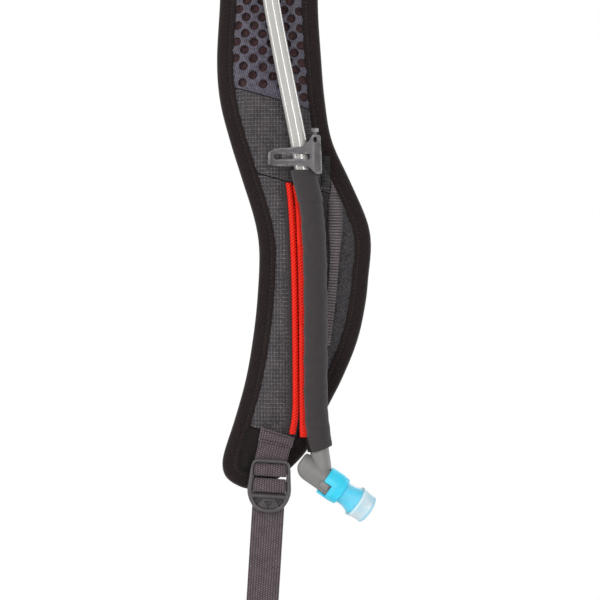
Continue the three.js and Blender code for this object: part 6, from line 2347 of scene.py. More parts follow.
@dataclass
class DrinkingHose:
    """The hose on the strap and the cloth sleeve over its lower half."""

    finishes: Finishes
    shape: StrapShape = SHAPE
    sides: int = 72
    half_width: float = 7.0
    half_depth: float = 6.4
    cuff: float = 0.6
    cuff_top: float = -243.6
    cuff_end: float = -263.0
    sleeve_end: float = -411.0
    flare: float = 0.7
    flare_height: float = 18.0
    cut_start: float = -394.0
    pieces: tuple[Triple, ...] = ((254, 288, 276), (300, 336, 324), (348, 411, 372))

    def build(self) -> None:
        """Make the hose and its sleeve."""
        self.hose()
        self.sleeve()
        self.lining()
        LOG.info("hose and sleeve dressed")

    def hose(self) -> None:
        """Make the hose from its exit at the yoke down into the cuff."""
        s = self.shape
        ring = oval(s.hose_radius, s.hose_radius, 40)
        bore = oval(s.hose_bore, s.hose_bore, 40)
        sweep = LineSweep(s.hose_x, lambda z: s.hose_depth)
        piece = sweep.tube("strap_hose", list(np.linspace(-42, -262.5, 90)), lambda z: ring,
                           self.finishes.hose, lambda z: bore, 50)
        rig.ride(piece, "strap")
        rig.replaces(piece, "hose_upper")

    def reach(self, z: float, turn: float) -> float:
        """Find how much the sleeve stands proud.

        Args:
            z: Height on the sleeve.
            turn: Angle round it, in radians.

        Returns:
            The height over its plain oval.
        """
        flared = (-z + self.sleeve_end + self.flare_height) / self.flare_height
        proud = self.flare * min(max(flared, 0.0), 1.0)
        proud += self.cuff * min(max((z - self.cuff_end) / 0.6, 0.0), 1.0)
        for depth, height, width in ((0.35, self.cuff_end, 0.45), (0.5, self.cuff_top, 0.5),
                                     (0.35, self.sleeve_end, 0.5),
                                     (0.18, self.sleeve_end + 4.5, 0.4)):
            proud -= depth * math.exp(-((z - height) / width) ** 2)
        ease = min(max((self.cuff_end - z) / 10, 0.0), 1.0)
        return proud + ease * (0.13 * math.sin(z * 0.33 + turn * 2)
                               + 0.09 * math.sin(z * 0.71 + turn * 3 + 1.0))

    def sleeve(self) -> None:
        """Make the cloth sleeve in three lengths that bend with the hose."""
        s = self.shape
        nodes = (("sleeve_cuff", "sleeve_link_1"), ("sleeve_link_2",), ("sleeve_link_3",))
        base = oval(self.half_width, self.half_depth, self.sides)
        snug = oval(s.hose_radius + s.gap, s.hose_radius + s.gap, self.sides)
        wide = oval(self.half_width + 0.28, self.half_depth + 0.28, self.sides)

        def bore(z: float) -> list[Pair]:
            """Bore of the sleeve, wider where the lining lies in it."""
            return wide if z < self.cut_start - 3.9 else snug

        def section(z: float) -> list[Pair]:
            """Oval of the sleeve at a height."""
            scales = [1 + self.reach(z, turn) / math.hypot(*spot)
                      for turn, spot in zip(around(self.sides), base)]
            return [(u * scale, v * scale) for scale, (u, v) in zip(scales, base)]
        top = -self.cuff_top
        for number, (first, end, last) in enumerate(self.pieces):
            fine = 0.5 if number != 1 else 1.0
            heights = list(np.linspace(-top, -end, int((end - top) / fine) + 1))
            sweep = LineSweep(s.hose_x, lambda z: s.hose_depth, True, top)
            piece = sweep.tube(f"hose_sleeve_{number + 1}", heights, section,
                               self.finishes.sleeve, bore, 60, lambda p: self.slant_end(p, 0.0))
            x = s.hose_x(-first) * MM
            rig.blend(piece, SLEEVE_BODIES[number], SLEEVE_BODIES[number + 1],
                     (x, -0.0173, -first * MM), (x, -0.0173, -last * MM))
            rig.replaces(piece, *nodes[number])
            top = end

    def slant_end(self, points: Array, drop: float) -> Array:
        """Draw the sleeve's lower end up at its left and right, as it is cut.

        Args:
            points: Points of the sleeve.
            drop: How much lower the cut runs.

        Returns:
            The moved points.
        """
        share = (self.cut_start - points[:, 2]) / (self.cut_start - self.sleeve_end)
        across = points[:, 0] - self.shape.hose_x(self.sleeve_end)
        rise = np.interp(across, (-8.5, -7.4, -6.2, -4.6, -1, 3, 7.5),
                         (10.5 - drop, 8.4 - drop, 4.4 - drop * 0.55, -0.6, 0.2, 1.5, 3.3))
        moved = points.copy()
        moved[:, 2] += np.clip(share, 0, None) * rise
        return moved

    def lining(self) -> None:
        """Line the sleeve's slanting end with dark cloth."""
        s = self.shape
        outer = oval(self.half_width + 0.25, self.half_depth + 0.25, self.sides)
        inner = oval(self.half_width - 0.35, self.half_depth - 0.35, self.sides)
        sweep = LineSweep(s.hose_x, lambda z: s.hose_depth, True)
        heights = list(np.linspace(self.cut_start - 8.5, self.sleeve_end, 24))
        piece = sweep.tube("sleeve_lining", heights, lambda z: outer,
                           self.finishes.hem.on(Slot.SLEEVE), lambda z: inner, 60,
                           lambda p: self.slant_end(p, 9.0))
        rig.ride(piece, "sleeve_3")


class Moulding:
    """Makes a moulded piece from a flat outline with holes."""

    @staticmethod
    def flat(loops: Sequence[Array], step: float, rims: Sequence[float]) -> tuple[Array, Array]:
        """Cut a flat outline into triangles, close together near its rims.

        Args:
            loops: The outline, then the holes.
            step: Distance between points away from the rims.
            rims: Distances of the rows of points beside each rim.

        Returns:
            The flat points and the triangles.
        """
        low, high = loops[0].min(0), loops[0].max(0)
        grid = np.array([(x, z) for x in np.arange(low[0], high[0], step)
                         for z in np.arange(low[1], high[1], step)])
        for loop in loops:
            way = np.roll(loop, -1, 0) - np.roll(loop, 1, 0)
            way /= np.maximum(np.linalg.norm(way, axis=1), 1e-9)[:, None]
            side = np.stack([-way[:, 1], way[:, 0]], 1)
            for reach in rims:
                grid = np.vstack([grid, loop + side * reach, loop - side * reach])
        keep = in_outline(grid, loops[0])
        for loop in loops[1:]:
            keep &= ~in_outline(grid, loop)
        keep &= Moulding.rim_distance(grid, loops) > min(rims) * 0.8
        return triangulate(loops, grid[keep], loops[1:])

    @staticmethod
    def rim_distance(points: Array, loops: Sequence[Array]) -> Array:
        """Distance of points from the nearest rim."""
        return np.min([nearest(points, loop, True)[0] for loop in loops], 0)

    @staticmethod
    def solid(name: str, front: Array, back: Array, triangles: Array, look: Look,
              shade: Array | float = 0.0) -> Piece:
        """Join a front and a back into one closed piece.

        Args:
            name: Name of the piece.
            front: Points of its front.
            back: Points of its back, in the same order.
            triangles: Triangles of the front.
            look: Finish and slot of the piece.
            shade: How dark the front is painted at each point, as shade in its recesses.

        Returns:
            The new object.
        """
        count = len(front)
        cloth = np.zeros((2 * count, 3))
        # The painted shade rides in the third thread coordinate of the front.
        cloth[:count, 2] = shade
        return MeshBook.make(name, np.vstack([front, back]), skin_faces(triangles, count), look,
                             cloth)


@dataclass
class HoseClip:
    """The moulded clip: a slotted arm that springs over the hose, its plate, foot and knob."""

    finishes: Finishes
    wall: float = 2.0
    arm_depth: float = 23.6
    mouth_dip: float = 5.0
    plate: Pair = (29.6, 32.0)
    top: float = -222.4
    bottom: float = -246.2
    arm_top: float = -230.4
    arm_bottom: float = -241.2
    foot_back: float = 8.8
    foot_front: float = 12.0
    foot_left: float = 8.4
    slot_half: float = 1.55
    slot_ends: Pair = (3.7, 24.9)
    eye: Triple = (28.1, -225.8, 0.95)
    rounding: float = 0.5
    upper_edge: tuple[Pair, ...] = (
        (26.6, -222.8), (25.9, -224.0), (24.4, -226.6), (21.8, -229.2), (17.6, -230.3),
        (12, -230.5), (7.6, -230.6), (3.8, -231.3), (1.7, -232.3), (0.7, -233.4))
    lower_edge: tuple[Pair, ...] = (
        (0.6, -239.6), (1.5, -240.6), (5, -241.2), (12, -241.1), (19.5, -241.1),
        (23.2, -241.8), (25.6, -243.3), (27.3, -245.0), (28.6, -246.2))
    plate_edge: tuple[Pair, ...] = (
        (31.3, -246.2), (31.9, -245.5), (31.5, -234), (30.9, -223.4), (30.2, -222.7))

    def build(self) -> None:
        """Make the clip as one moulded piece."""
        left, right = self.plate
        root = self.arm_depth - 2.9
        blocks = (("plate", (left + 0.2, -root, self.bottom + 0.1),
                   (right - 0.5, -self.foot_back, self.top - 1.2), 0.4),
                  ("foot", (self.foot_left, -self.foot_front, self.arm_bottom),
                   (left + 1.2, -self.foot_back, self.arm_top), 0.5),
                  ("neck", (27.0, -23.2, self.top - 1.4), (29.2, -20.2, self.top + 1.5), 0.3),
                  ("bar", (25.7, -23.6, self.top + 1.0), (30.3, -19.8, self.top + 3.6), 0.6))
        arm = self.arm()
        parts = [Carver.block(*block, self.finishes.clip) for block in blocks]
        piece = Carver.combine(arm, parts, "UNION", 38)
        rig.ride(piece, "strap")
        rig.replaces(piece, "hose_clip")
        LOG.info("hose clip dressed")

    def curve(self, points: Sequence[Pair]) -> list[Pair]:
        """Smooth an edge of the arm's outline."""
        return [(p.x, p.z) for p in soften([Vector((x, 0, z)) for x, z in points], 3)]

    def depth_at(self, x: Array) -> Array:
        """Find the depth of the arm's middle.

        Args:
            x: Places across.

        Returns:
            One depth for each place.
        """
        dip = self.mouth_dip
        places = ((0.4, dip * 0.42), (1.2, dip * 0.74), (2.4, dip * 0.96), (3.6, dip * 0.94),
                  (9.6, dip * 0.36), (14, 0.35), (17.4, 0), (27.2, 0.05), (29.5, 0.8),
                  (31, 2.0), (32.2, 3.4))
        line = smooth_through(places)
        return np.array([self.arm_depth - line(float(v)) for v in x])

    def arm(self) -> Piece:
        """Make the slotted arm with rounded rims.

        Returns:
            The arm.
        """
        outline = self.curve(self.upper_edge) + self.curve(self.lower_edge) + [*self.plate_edge]
        middle, half = (self.arm_top + self.arm_bottom) / 2, self.slot_half
        left, right = self.slot_ends
        slot = [(left + half - half * math.sin(t), middle + half * math.cos(t))
                for t in arc(0, 180, 11)]
        slot += [(x, middle - half) for x in np.arange(left + half + 1.5, right - 0.6, 1.5)]
        for sign, start in ((-1, -90), (1, 0)):
            slot += [(right - 0.5 + 0.5 * math.cos(t), middle + sign * (half - 0.5)
                      + 0.5 * math.sin(t)) for t in arc(start, start + 90, 6)]
        slot += [(x, middle + half) for x in np.arange(right - 1.6, left + half + 0.7, -1.5)]
        x, z, r = self.eye
        eye = [(x + r * math.cos(a), z + 1.7 * r * math.sin(a)) for a in around(20)]
        loops = [np.array(loop) for loop in (outline, slot, eye)]
        flat, triangles = Moulding.flat(loops, 0.7, (0.08, 0.22, 0.5))
        share = np.clip(Moulding.rim_distance(flat, loops) / self.rounding, 0, 1)
        tall = self.wall / 2 - self.rounding * (1 - np.sqrt(1 - (1 - share) ** 2))
        slope = (self.depth_at(flat[:, 0] + 0.1) - self.depth_at(flat[:, 0] - 0.1)) / 0.2
        deep, size = self.depth_at(flat[:, 0]), np.sqrt(1 + slope ** 2)
        sides = [np.stack([flat[:, 0] - sign * tall * slope / size,
                           -(deep + sign * tall / size), flat[:, 1]], 1) for sign in (1, -1)]
        return Moulding.solid("clip_moulding", *sides, triangles, self.finishes.clip)


@dataclass
class BuckleAndWebbing:
    """The ladder-lock buckle and the webbing that is threaded through it."""

    finishes: Finishes
    across: float = 1.5
    depth: float = 11.6
    drop: float = 422.994
    lean: float = 3.5
    wrap: float = 2.25
    leg_front: float = -0.65
    rim_top: float = 6.0
    rim_width: float = 3.1
    rim_rise: float = 2.25
    window_half: float = 9.72
    window_top: float = 4.2
    window_low: float = -13.6
    lower_bar: float = -15.3
    outer_half: tuple[Pair, ...] = (
        (7.2, 6.2), (7.0, 8.0), (6.5, 9.3), (5.4, 10.5), (3.9, 11.3), (1.7, 11.9), (-5.8, 12.6),
        (-10.7, 13.1), (-13.5, 13.0), (-15.7, 12.5), (-18, 11.7), (-20.2, 10.5), (-22, 9.2),
        (-23.4, 7.7), (-24.4, 6.0), (-25.1, 4.2), (-25.5, 2.3), (-25.6, 0))
    anchor_bar: float = 4.0
    grip_bar: float = 5.2
    grip_drop: float = 9.0
    bar_depth: float = 2.6
    tail: float = -2.35
    load: float = -3.95
    wrap_end: float = -15.0
    tab_height: float = 22.5
    hem_end: float = 15.8
    tab_lean: float = 10.5
    tab_slope: float = 0.25
    split: float = -58.0
    load_end: float = -240.6
    tail_end: float = -153.6

    def build(self) -> None:
        """Dress the buckle and thread the webbing."""
        self.place = (Matrix.Translation((self.across, -self.depth, -self.drop))
                      @ Matrix.Rotation(math.radians(self.lean), 4, "Y"))
        self.ladder_lock()
        self.tab()
        self.adjuster()
        self.hanging()
        LOG.info("buckle and webbing dressed")

    def ladder_lock(self) -> None:
        """Make the buckle: a round rim, its bars, and the thumb tab with three recesses."""
        half_widths = smooth_through(self.outer_half[::-1])
        start, end = self.outer_half[0][0], self.outer_half[-1][0]
        drops = np.concatenate([np.linspace(start, start - 2.4, 12),
                                np.linspace(start - 3, -22, 40), np.linspace(-22.4, end, 12)])
        right = [(max(half_widths(float(z)), 0.0), float(z)) for z in drops]
        right[-1] = (0.0, end)
        outline = np.array(right + [(-x, z) for x, z in right[-2::-1]])
        half, top, low, corner = self.window_half, self.window_top, self.window_low, 1.6
        window = [(half - corner + corner * math.cos(t), top - corner + corner * math.sin(t))
                  for t in arc(0, 90, 6)]
        window += [(-x, z) for x, z in window[::-1]]
        window += [(-half, z) for z in np.arange(top - corner - 1, low, -1)]
        window += [(x, low) for x in np.arange(-half, half, 1.0)]
        window += [(half, z) for z in np.arange(low, top - corner - 0.6, 1.0)]
        window = np.array(window)
        flat, triangles = Moulding.flat([outline, window], 0.3, (0.06, 0.2, 0.45, 0.8, 1.2))
        # The depths come with painted shade for the sunk thumb plate and its recesses.
        front, back, shade = self.rim(flat, outline, window)
        place = np.array(self.place)
        sides = [np.stack([flat[:, 0], -forward, flat[:, 1]], 1) @ place[:3, :3].T + place[:3, 3]
                 for forward in (front, back)]
        piece = Moulding.solid("buckle_moulding", *sides, triangles, self.finishes.buckle, shade)
        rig.ride(piece, "buckle")
        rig.replaces(piece, "ladder_lock")
        for name, middle, tall in (("anchor_bar", 0.0, self.anchor_bar),
                                   ("grip_bar", -self.grip_drop, self.grip_bar)):
            deep, reach = self.bar_depth / 2, half + 0.9
            bar = Carver.block(name, (-reach, -deep, middle - tall / 2),
                               (reach, deep, middle + tall / 2), 1.1, self.finishes.buckle,
                               self.place)
            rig.ride(bar, "buckle")

    def rim(self, flat: Array, outline: Array,
            window: Array) -> tuple[Array, Array, Array]:
        """Work out how far the buckle's front and back stand at each place.

        Args:
            flat: Places across and up.
            outline: Its outer edge.
            window: Edge of its opening.

        Returns:
            How far forward the front and the back stand, and the painted shade of the front in the sunk thumb plate
            and its recesses.
        """
        outer = nearest(flat, outline, True)[0]
        inner = nearest(flat, window, True)[0]
        width = np.minimum(self.rim_width, outer + inner)
        share = np.clip(outer / width * 2 - 1, -1, 1)
        swell = np.sqrt(np.maximum(1 - share ** 2, 0))
        rim = 0.35 + self.rim_rise * swell
        edge = np.sqrt(1 - (1 - np.clip(inner / 1.3, 0, 1)) ** 2)
        bar = np.clip(1 - ((flat[:, 1] - self.lower_bar) / 1.7) ** 2, 0, 1) ** 0.5
        plate = np.maximum(0.2 + 2.4 * bar * edge, 1.0 * (flat[:, 1] < self.lower_bar))
        inside = (flat[:, 1] < self.window_low + 0.1) & (outer > self.rim_width * 0.5)
        front = np.where(inside, np.maximum(rim, plate), rim)
        # Painted shade: the sunk thumb plate is darkened, and its three triangular recesses more, most between their
        # studs.
        recess_shade = inside & (flat[:, 1] < self.lower_bar - 1.2) & (outer > self.rim_width * 0.75)
        shade = 0.3 * recess_shade
        studs = np.abs(np.sin(flat[:, 0] * 2.3) * np.sin(flat[:, 1] * 2.3))
        for side in (-1, 0, 1):
            across, height = side * 6.5, -19.9 + abs(side) * 1.2
            x, z = (flat[:, 0] - across) / 2.3, (flat[:, 1] - height) / 2.3
            away = np.maximum(z - 0.62, np.maximum(0.8 * x - 0.6 * z, -0.8 * x - 0.6 * z) - 0.72)
            dip = np.clip(-away / 0.14, 0, 1)
            front = front - dip * (0.9 - 0.8 * studs)
            shade = np.maximum(shade, dip * (1 - 0.75 * studs))
        back = np.where(outer < self.rim_width, -1.35 * swell, -1.3)
        passes = (flat[:, 1] > self.window_top - 1.2) & (abs(flat[:, 0]) < self.window_half + 0.3)
        back = np.where(passes, 0.35, back)
        tucked = (flat[:, 1] < self.window_low + 0.1) & (outer > 1.5)
        back = np.where(tucked, np.where(inner < 1.3, -1.3 * edge, -1.3), back)
        return np.maximum(front, back + 0.25), back, shade

    def world(self, point: Vector) -> Vector:
        """Move a point from the buckle's frame to the frame of the part."""
        return self.place @ point

    def leaning(self, point: Vector) -> Vector:
        """Lean the sewn tab towards its hem, and move a point to the frame of the part.

        Args:
            point: Place in the buckle's frame.

        Returns:
            The leaning place in the frame of the part.
        """
        start = self.rim_top + 0.4
        height = max(point.z - start, 0.0)
        share = height / (self.tab_height - start)
        x = point.x + height * math.tan(math.radians(self.tab_lean))
        return self.place @ Vector((x, point.y, point.z - point.x * self.tab_slope * share))

    def thread(self, name: str, path: Sequence[Pair], width: float = 19.3, steps: int = 4,
               leans: bool = False, start: float = 0.0) -> Piece:
        """Lay a length of webbing along forward and upward places in the buckle's frame.

        Args:
            name: Name of the piece.
            path: Places of its middle line.
            width: Width of the webbing.
            steps: New points for each span of the path.
            leans: Whether it leans with the sewn tab.
            start: Length along the weave at the path's first point.

        Returns:
            The webbing.
        """
        line = soften([Vector((0, -p, z)) for p, z in path], steps)
        return WovenBand(width).sweep(name, line, Vector((1, 0, 0)),
                                      self.leaning if leans else self.world,
                                      self.finishes.webbing, start)

    def bar_turn(self, middle: float, start: float, end: float, count: int) -> list[Pair]:
        """Points of a turn round a bar, between two angles in degrees."""
        return [(self.wrap * math.cos(t), middle + self.wrap * math.sin(t))
                for t in arc(start, end, count)]

    def blend_points(self, forward: float, *heights: float) -> list[Triple]:
        """Places in metres, at heights in the buckle's frame, that a blend runs between."""
        return [tuple((self.place @ Vector((0, -forward, z))) * MM) for z in heights]

    def tab(self) -> None:
        """Fold the sewn tab of webbing round the anchor bar."""
        half = (self.anchor_bar - self.bar_depth) / 2
        front, back, top = self.leg_front, -self.wrap, self.tab_height
        path = [(front - 0.12, top), (front, 16), (front, 9), (front, self.rim_top),
                (front, 4.6), (-0.195, 3.6), (0.7, 3.0), (1.62, 2.59), (2.16, 1.6)]
        path += self.bar_turn(-half, 0, -180, 12)
        path += [(back, half), (back, self.rim_top), (back, 9), (back, 16), (back + 0.12, top)]
        piece = self.thread("tab_webbing", path, leans=True)
        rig.blend(piece, "strap", "buckle", *self.blend_points(-1.4, 12, 5))
        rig.replaces(piece, "buckle_tab_webbing", "tab_wrap")
        face = front + 1.38
        piece = self.thread("tab_hem", [(face, z) for z in np.linspace(top + 0.4, self.hem_end, 6)],
                            20.2, leans=True)
        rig.ride(piece, "strap")
        for number, height in enumerate((self.hem_end + 1.2, top - 0.8)):
            self.bar_tack(f"tab_tack_{number + 1}", height, face + 0.66, "strap", True)

    def bar_tack(self, name: str, height: float, forward: float, body: str,
                 leans: bool = False) -> None:
        """Sew a close row of stitches across the webbing.

        Args:
            name: Name of the piece.
            height: Height of the row in the buckle's frame.
            forward: Depth of the webbing's face there.
            body: Body that the row rides on.
            leans: Whether it lies on the leaning tab.
        """
        move = self.leaning if leans else self.world
        ends = [move(Vector((x, -forward, height))) for x in (-8.6, 8.6)]
        deep = -(ends[0].y + ends[1].y) / 2
        stitch_row(name, np.array([(p.x, p.z) for p in ends]), lambda p: np.full(len(p), deep),
                   self.finishes.thread, (1.15, 1.0, 0.3), body=body)

    def adjuster(self) -> None:
        """Thread the adjusting webbing round the grip bar."""
        half, middle = (self.grip_bar - self.bar_depth) / 2, -self.grip_drop
        load, tail = self.load, self.tail
        path = [(load, self.split), (load, -44), (load, -30), (load, -20), (load, self.wrap_end),
                (load, -12.6), (-3.495, -11.025), (-2.61, -9.65), (-self.wrap, -8.35)]
        path += self.bar_turn(middle + half, 180, 0, 12)
        path += self.bar_turn(middle - half, 0, -100, 8)
        path += [(-1.15, -12.65), (-1.96, -13.3), (tail, -14.24), (tail, -15), (tail, -20),
                 (tail, -30), (tail, -44), (tail, self.split)]
        piece = self.thread("adjuster_webbing", path)
        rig.blend(piece, "buckle", "strap",
                 *self.blend_points(-3, self.wrap_end + 1, self.wrap_end - 19))
        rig.replaces(piece, "grip_wrap")

    def hanging(self) -> None:
        """Make the hanging lengths of webbing with their folded, sewn ends."""
        plans = (("load_strap", self.load, self.load_end, 25.0, -1.9, "webbing_anchor",
                  ("load_webbing", "webbing_end")),
                 ("tail_strap", self.tail, self.tail_end, 18.0, 1.6, "tail",
                  ("tail_webbing", "tail_end")))
        for name, centre, end, hem, fold, body, nodes in plans:
            path = [(centre, z) for z in np.linspace(self.split, end + 1.2, 22)]
            path += [(centre + fold * share, end + up) for share, up in
                     ((0.15, 0.72), (0.5, 0.65), (0.85, 0.72), (1, 1.2))]
            path += [(centre + fold, z) for z in np.linspace(end + 3, end + hem, 8)]
            piece = self.thread(name, path, steps=3, start=-self.split)
            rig.blend(piece, "strap", body,
                     *self.blend_points(centre, self.split - 2, end + hem + 4))
            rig.replaces(piece, *nodes)
            face = centre + fold + math.copysign(0.66, fold)
            for number, offset in enumerate((3.0, 4.6)):
                self.bar_tack(f"{name}_tack_{number + 1}", end + hem - offset, face, body)


@dataclass
class BiteValve:
    """Elbow, twist collar, ring and clear bite valve at the hose's end."""

    finishes: Finishes
    shape: StrapShape = SHAPE
    elbow_radius: float = 7.2
    elbow_length: float = 19.0
    elbow_back: float = 8.0
    aside: float = 4.82
    fall: float = 18.3
    outlet_fall: float = 35.0
    collar_radius: float = 9.0
    collar_start: float = 10.2
    collar_end: float = 23.2
    stem: float = 3.9
    bore: float = 1.9
    spigot: float = 6.6
    spigot_end: float = 34.0
    tip: float = 8.7
    reach: float = 41.6
    outside: tuple[Pair, ...] = (
        (0, 7.4), (0.03, 7.6), (0.16, 7.9), (0.3, 8.6), (0.4, 9.3), (0.46, 9.6), (0.5, 9.6),
        (0.515, 9.55), (0.53, 9.5), (0.57, 9.35), (0.68, 8.9), (0.8, 8.6), (0.9, 8.65),
        (0.955, 8.7), (0.985, 8.4), (1.0, 7.8))
    slant: float = 2.0

    def build(self) -> None:
        """Make every piece of the valve."""
        s = self.shape
        start = Vector((s.hose_x(-404), -s.hose_depth, -404))
        fall = math.radians(self.outlet_fall)
        way, front = Vector((math.cos(fall), 0, -math.sin(fall))), Vector((0, -1, 0))
        self.outlet = Matrix((front, way.cross(front), way)).transposed().to_4x4()
        self.outlet.translation = start + Vector((-self.aside, 0, -self.fall))
        inlet_way = Vector((s.hose_x(-404) - s.hose_x(-411), 0, 7)).normalized()
        self.inlet = Matrix.Translation(start) @ Vector((0, 0, 1)).rotation_difference(
            inlet_way).to_matrix().to_4x4()
        self.elbow()
        self.collar()
        self.ring()
        self.silicone()
        LOG.info("elbow and bite valve dressed")

    def elbow(self) -> None:
        """Make the moulded elbow: outlet body, inlet barrel and stop tab."""
        look, r, end = self.finishes.elbow, self.elbow_radius, self.elbow_length
        dome = [(0.0, -r)] + [polar(r, angle) for angle in arc(-90, 0, 15)[1:]]
        body = lathe("valve_elbow", [*dome, (r, 5), (r, end - 0.4), (r - 0.4, end), (4.2, end),
                                     (4.2, 3), (0, 3)], self.outlet, look, 96)
        self.fill_back(body)
        barbs = [(0.0, -12), (2.85, -10.2), (2.5, -7.2), (2.85, -5.4), (2.5, -2.4),
                 (5.0, 0.3), (5.3, 2.2), (5.5, 5), (5.75, 9), (6.05, 14), (6.2, 17.5), (6, 20),
                 (5, 22), (0, 22)]
        barrel = lathe("barrel", [(a, -b) for a, b in barbs], self.inlet, look, 72)
        turn = Matrix.Rotation(math.radians(18), 4, "Z")
        stop = Carver.block("stop", (r - 1, -1.75, 9.2), (r + 1.2, 1.75, 14.4), 0.35, look,
                            self.outlet @ turn)
        mark = lathe("mark", [(0.0, 0), (0.75, 0), (0.7, 0.35), (0.5, 0.55), (0, 0.55)],
                     self.outlet @ Matrix.Translation((r - 0.25, -1.2, -0.5))
                     @ Matrix.Rotation(math.radians(90), 4, "Y"), look, 24)
        piece = Carver.combine(body, [barrel, stop, mark], "UNION", 34)
        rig.ride(piece, "elbow")
        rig.replaces(piece, "elbow")

    def fill_back(self, body: Piece) -> None:
        """Make the elbow's back full towards the hose and round below.

        Args:
            body: The turned body of the elbow.
        """
        back = self.outlet.inverted()
        for vertex in body.data.vertices:
            spot = back @ (vertex.co / MM)
            if spot.z < -1e-3:
                radius = math.hypot(spot.x, spot.y)
                share = min(radius / self.elbow_radius, 1.0)
                power = 5.4 - 3.3 * spot.y / max(radius, 1e-6)
                spot.z = -self.elbow_back * (1 - share ** power) ** (1 / power)
                vertex.co = (self.outlet @ spot) * MM
        body.data.update()

    def collar(self) -> None:
        """Make the twist collar with its stepped notch, and the stem inside."""
        r, a, e = self.collar_radius, self.collar_start, self.collar_end
        web, end = self.elbow_length + 0.3, self.spigot_end
        profile = [
            (self.bore, 10), (self.stem, 10), (self.stem, 14), (2.9, 14), (2.9, 15.8),
            (self.stem, 15.8), (self.stem, web), (7.5, web), (7.5, a), (r - 0.5, a),
            (r - 0.12, a + 0.15), (r, a + 0.5), (r, a + 8.4), (r - 0.12, a + 8.9),
            (r - 0.5, e - 0.9), (r - 0.8, e - 0.3), (r - 1.8, e), (self.spigot, e),
            (self.spigot, end - 7), (8.1, end - 2.4), (8.15, end - 0.5),
            (7.7, end), (self.bore, end)]
        body = lathe("valve_collar", profile, self.outlet, self.finishes.collar, 96)
        cutter = self.sector(3, 93, 6.8, 12, a - 3, a + 5.4)
        body = Carver.combine(body, [cutter], "DIFFERENCE", 30)
        self.slanted(body)
        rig.ride(body, "valve")
        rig.replaces(body, "twist_collar")

    def slanted(self, body: Piece) -> None:
        """Slant the valve's rings, so that its front reaches further than its back.

        Args:
            body: Piece to slant.
        """
        inward = self.outlet.inverted()
        facing = inward.to_3x3() @ Vector((0, -1, 0))
        low, high = self.collar_end + 0.5, self.spigot_end - 2
        for vertex in body.data.vertices:
            spot = inward @ (vertex.co / MM)
            share = min(max((spot.z - low) / (high - low), 0.0), 1.0)
            spot.z += self.slant * share * (spot.x * facing.x + spot.y * facing.y) / 9
            vertex.co = (self.outlet @ spot) * MM
        body.data.update()

    def sector(self, start: float, end: float, inner: float, outer: float, low: float,
               high: float) -> Piece:
        """Make a sector of a ring about the outlet, to cut with.

        Args:
            start: First angle in degrees.
            end: Last angle.
            inner: Inner radius.
            outer: Outer radius.
            low: Lowest place along the outlet.
            high: Highest place.

        Returns:
            The new object.
        """
        corners = ((inner, low), (outer, low), (outer, high), (inner, high))
        points = [self.outlet @ Vector((*polar(radius, angle), along))
                  for angle in arc(start, end, 20) for radius, along in corners]
        return MeshBook.make("cutter", points, tube_faces(20, 4, False), self.finishes.collar)

    def ring(self) -> None:
        """Make the rubber ring in the stem's groove."""
        rows, sides, radius = 48, 12, 0.42
        points = []
        for angle in around(rows):
            for turn in around(sides):
                out, up = polar(radius, turn)
                points.append(self.outlet @ Vector((*polar(3.1 + radius + out, angle), 14.9 + up)))
        faces = ring_faces(rows, sides)
        low = (rows - 1) * sides
        faces += [[low + k, low + (k + 1) % sides, (k + 1) % sides, k] for k in range(sides)]
        piece = MeshBook.make("stem_ring", points, faces, self.finishes.seal)
        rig.ride(piece, "valve")
        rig.replaces(piece, "stem_o_ring")

    def silicone(self) -> None:
        """Make the clear silicone valve with the slit in its face."""
        neck, reach, end = self.collar_end + 0.3, self.reach, self.spigot_end
        outside = smooth_through(self.outside)
        shares = sorted({share for share, _ in self.outside} | {k / 48 for k in range(49)})
        profile = [(0.0, reach - 1.8), (4.6, reach - 1.8), (5.0, reach - 2.3), (5.0, end + 1.3),
                   (8.3, end + 0.4), (8.3, end - 2.5), (6.8, end - 7.1), (6.75, neck)]
        profile += [(outside(t), neck + (reach - neck) * t) for t in shares]
        profile += [(self.tip - 2.6, reach + 0.02), (4.0, reach - 0.25), (0, reach - 0.35)]
        look = self.finishes.silicone
        body = lathe("silicone_valve", profile, self.outlet, look, 96)
        self.slanted(body)
        slit = Carver.block("slit", (-0.2, -3.6, reach - 3), (0.2, 3.6, reach + 3), 0.08, look,
                            self.outlet, 2)
        body = Carver.combine(body, [slit], "DIFFERENCE", 40)
        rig.ride(body, "valve")
        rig.replaces(body, "bite_valve")


def finish_rest(frame: dict, finishes: Finishes) -> None:
    """Give the solids that are still shown, inner hoses and magnets, their finish.

    Args:
        frame: The loaded frame.
        finishes: The finishes.
    """
    plans = ((finishes.hose, ("hose_link_1", "hose_link_2", "hose_link_3")),
             (finishes.magnet, ("strap_magnet", "sleeve_magnet_1", "sleeve_magnet_2",
                                "sleeve_magnet_3")))
    for look, names in plans:
        for name in names:
            for slot in frame["nodes"][name].material_slots:
                slot.material = look.material


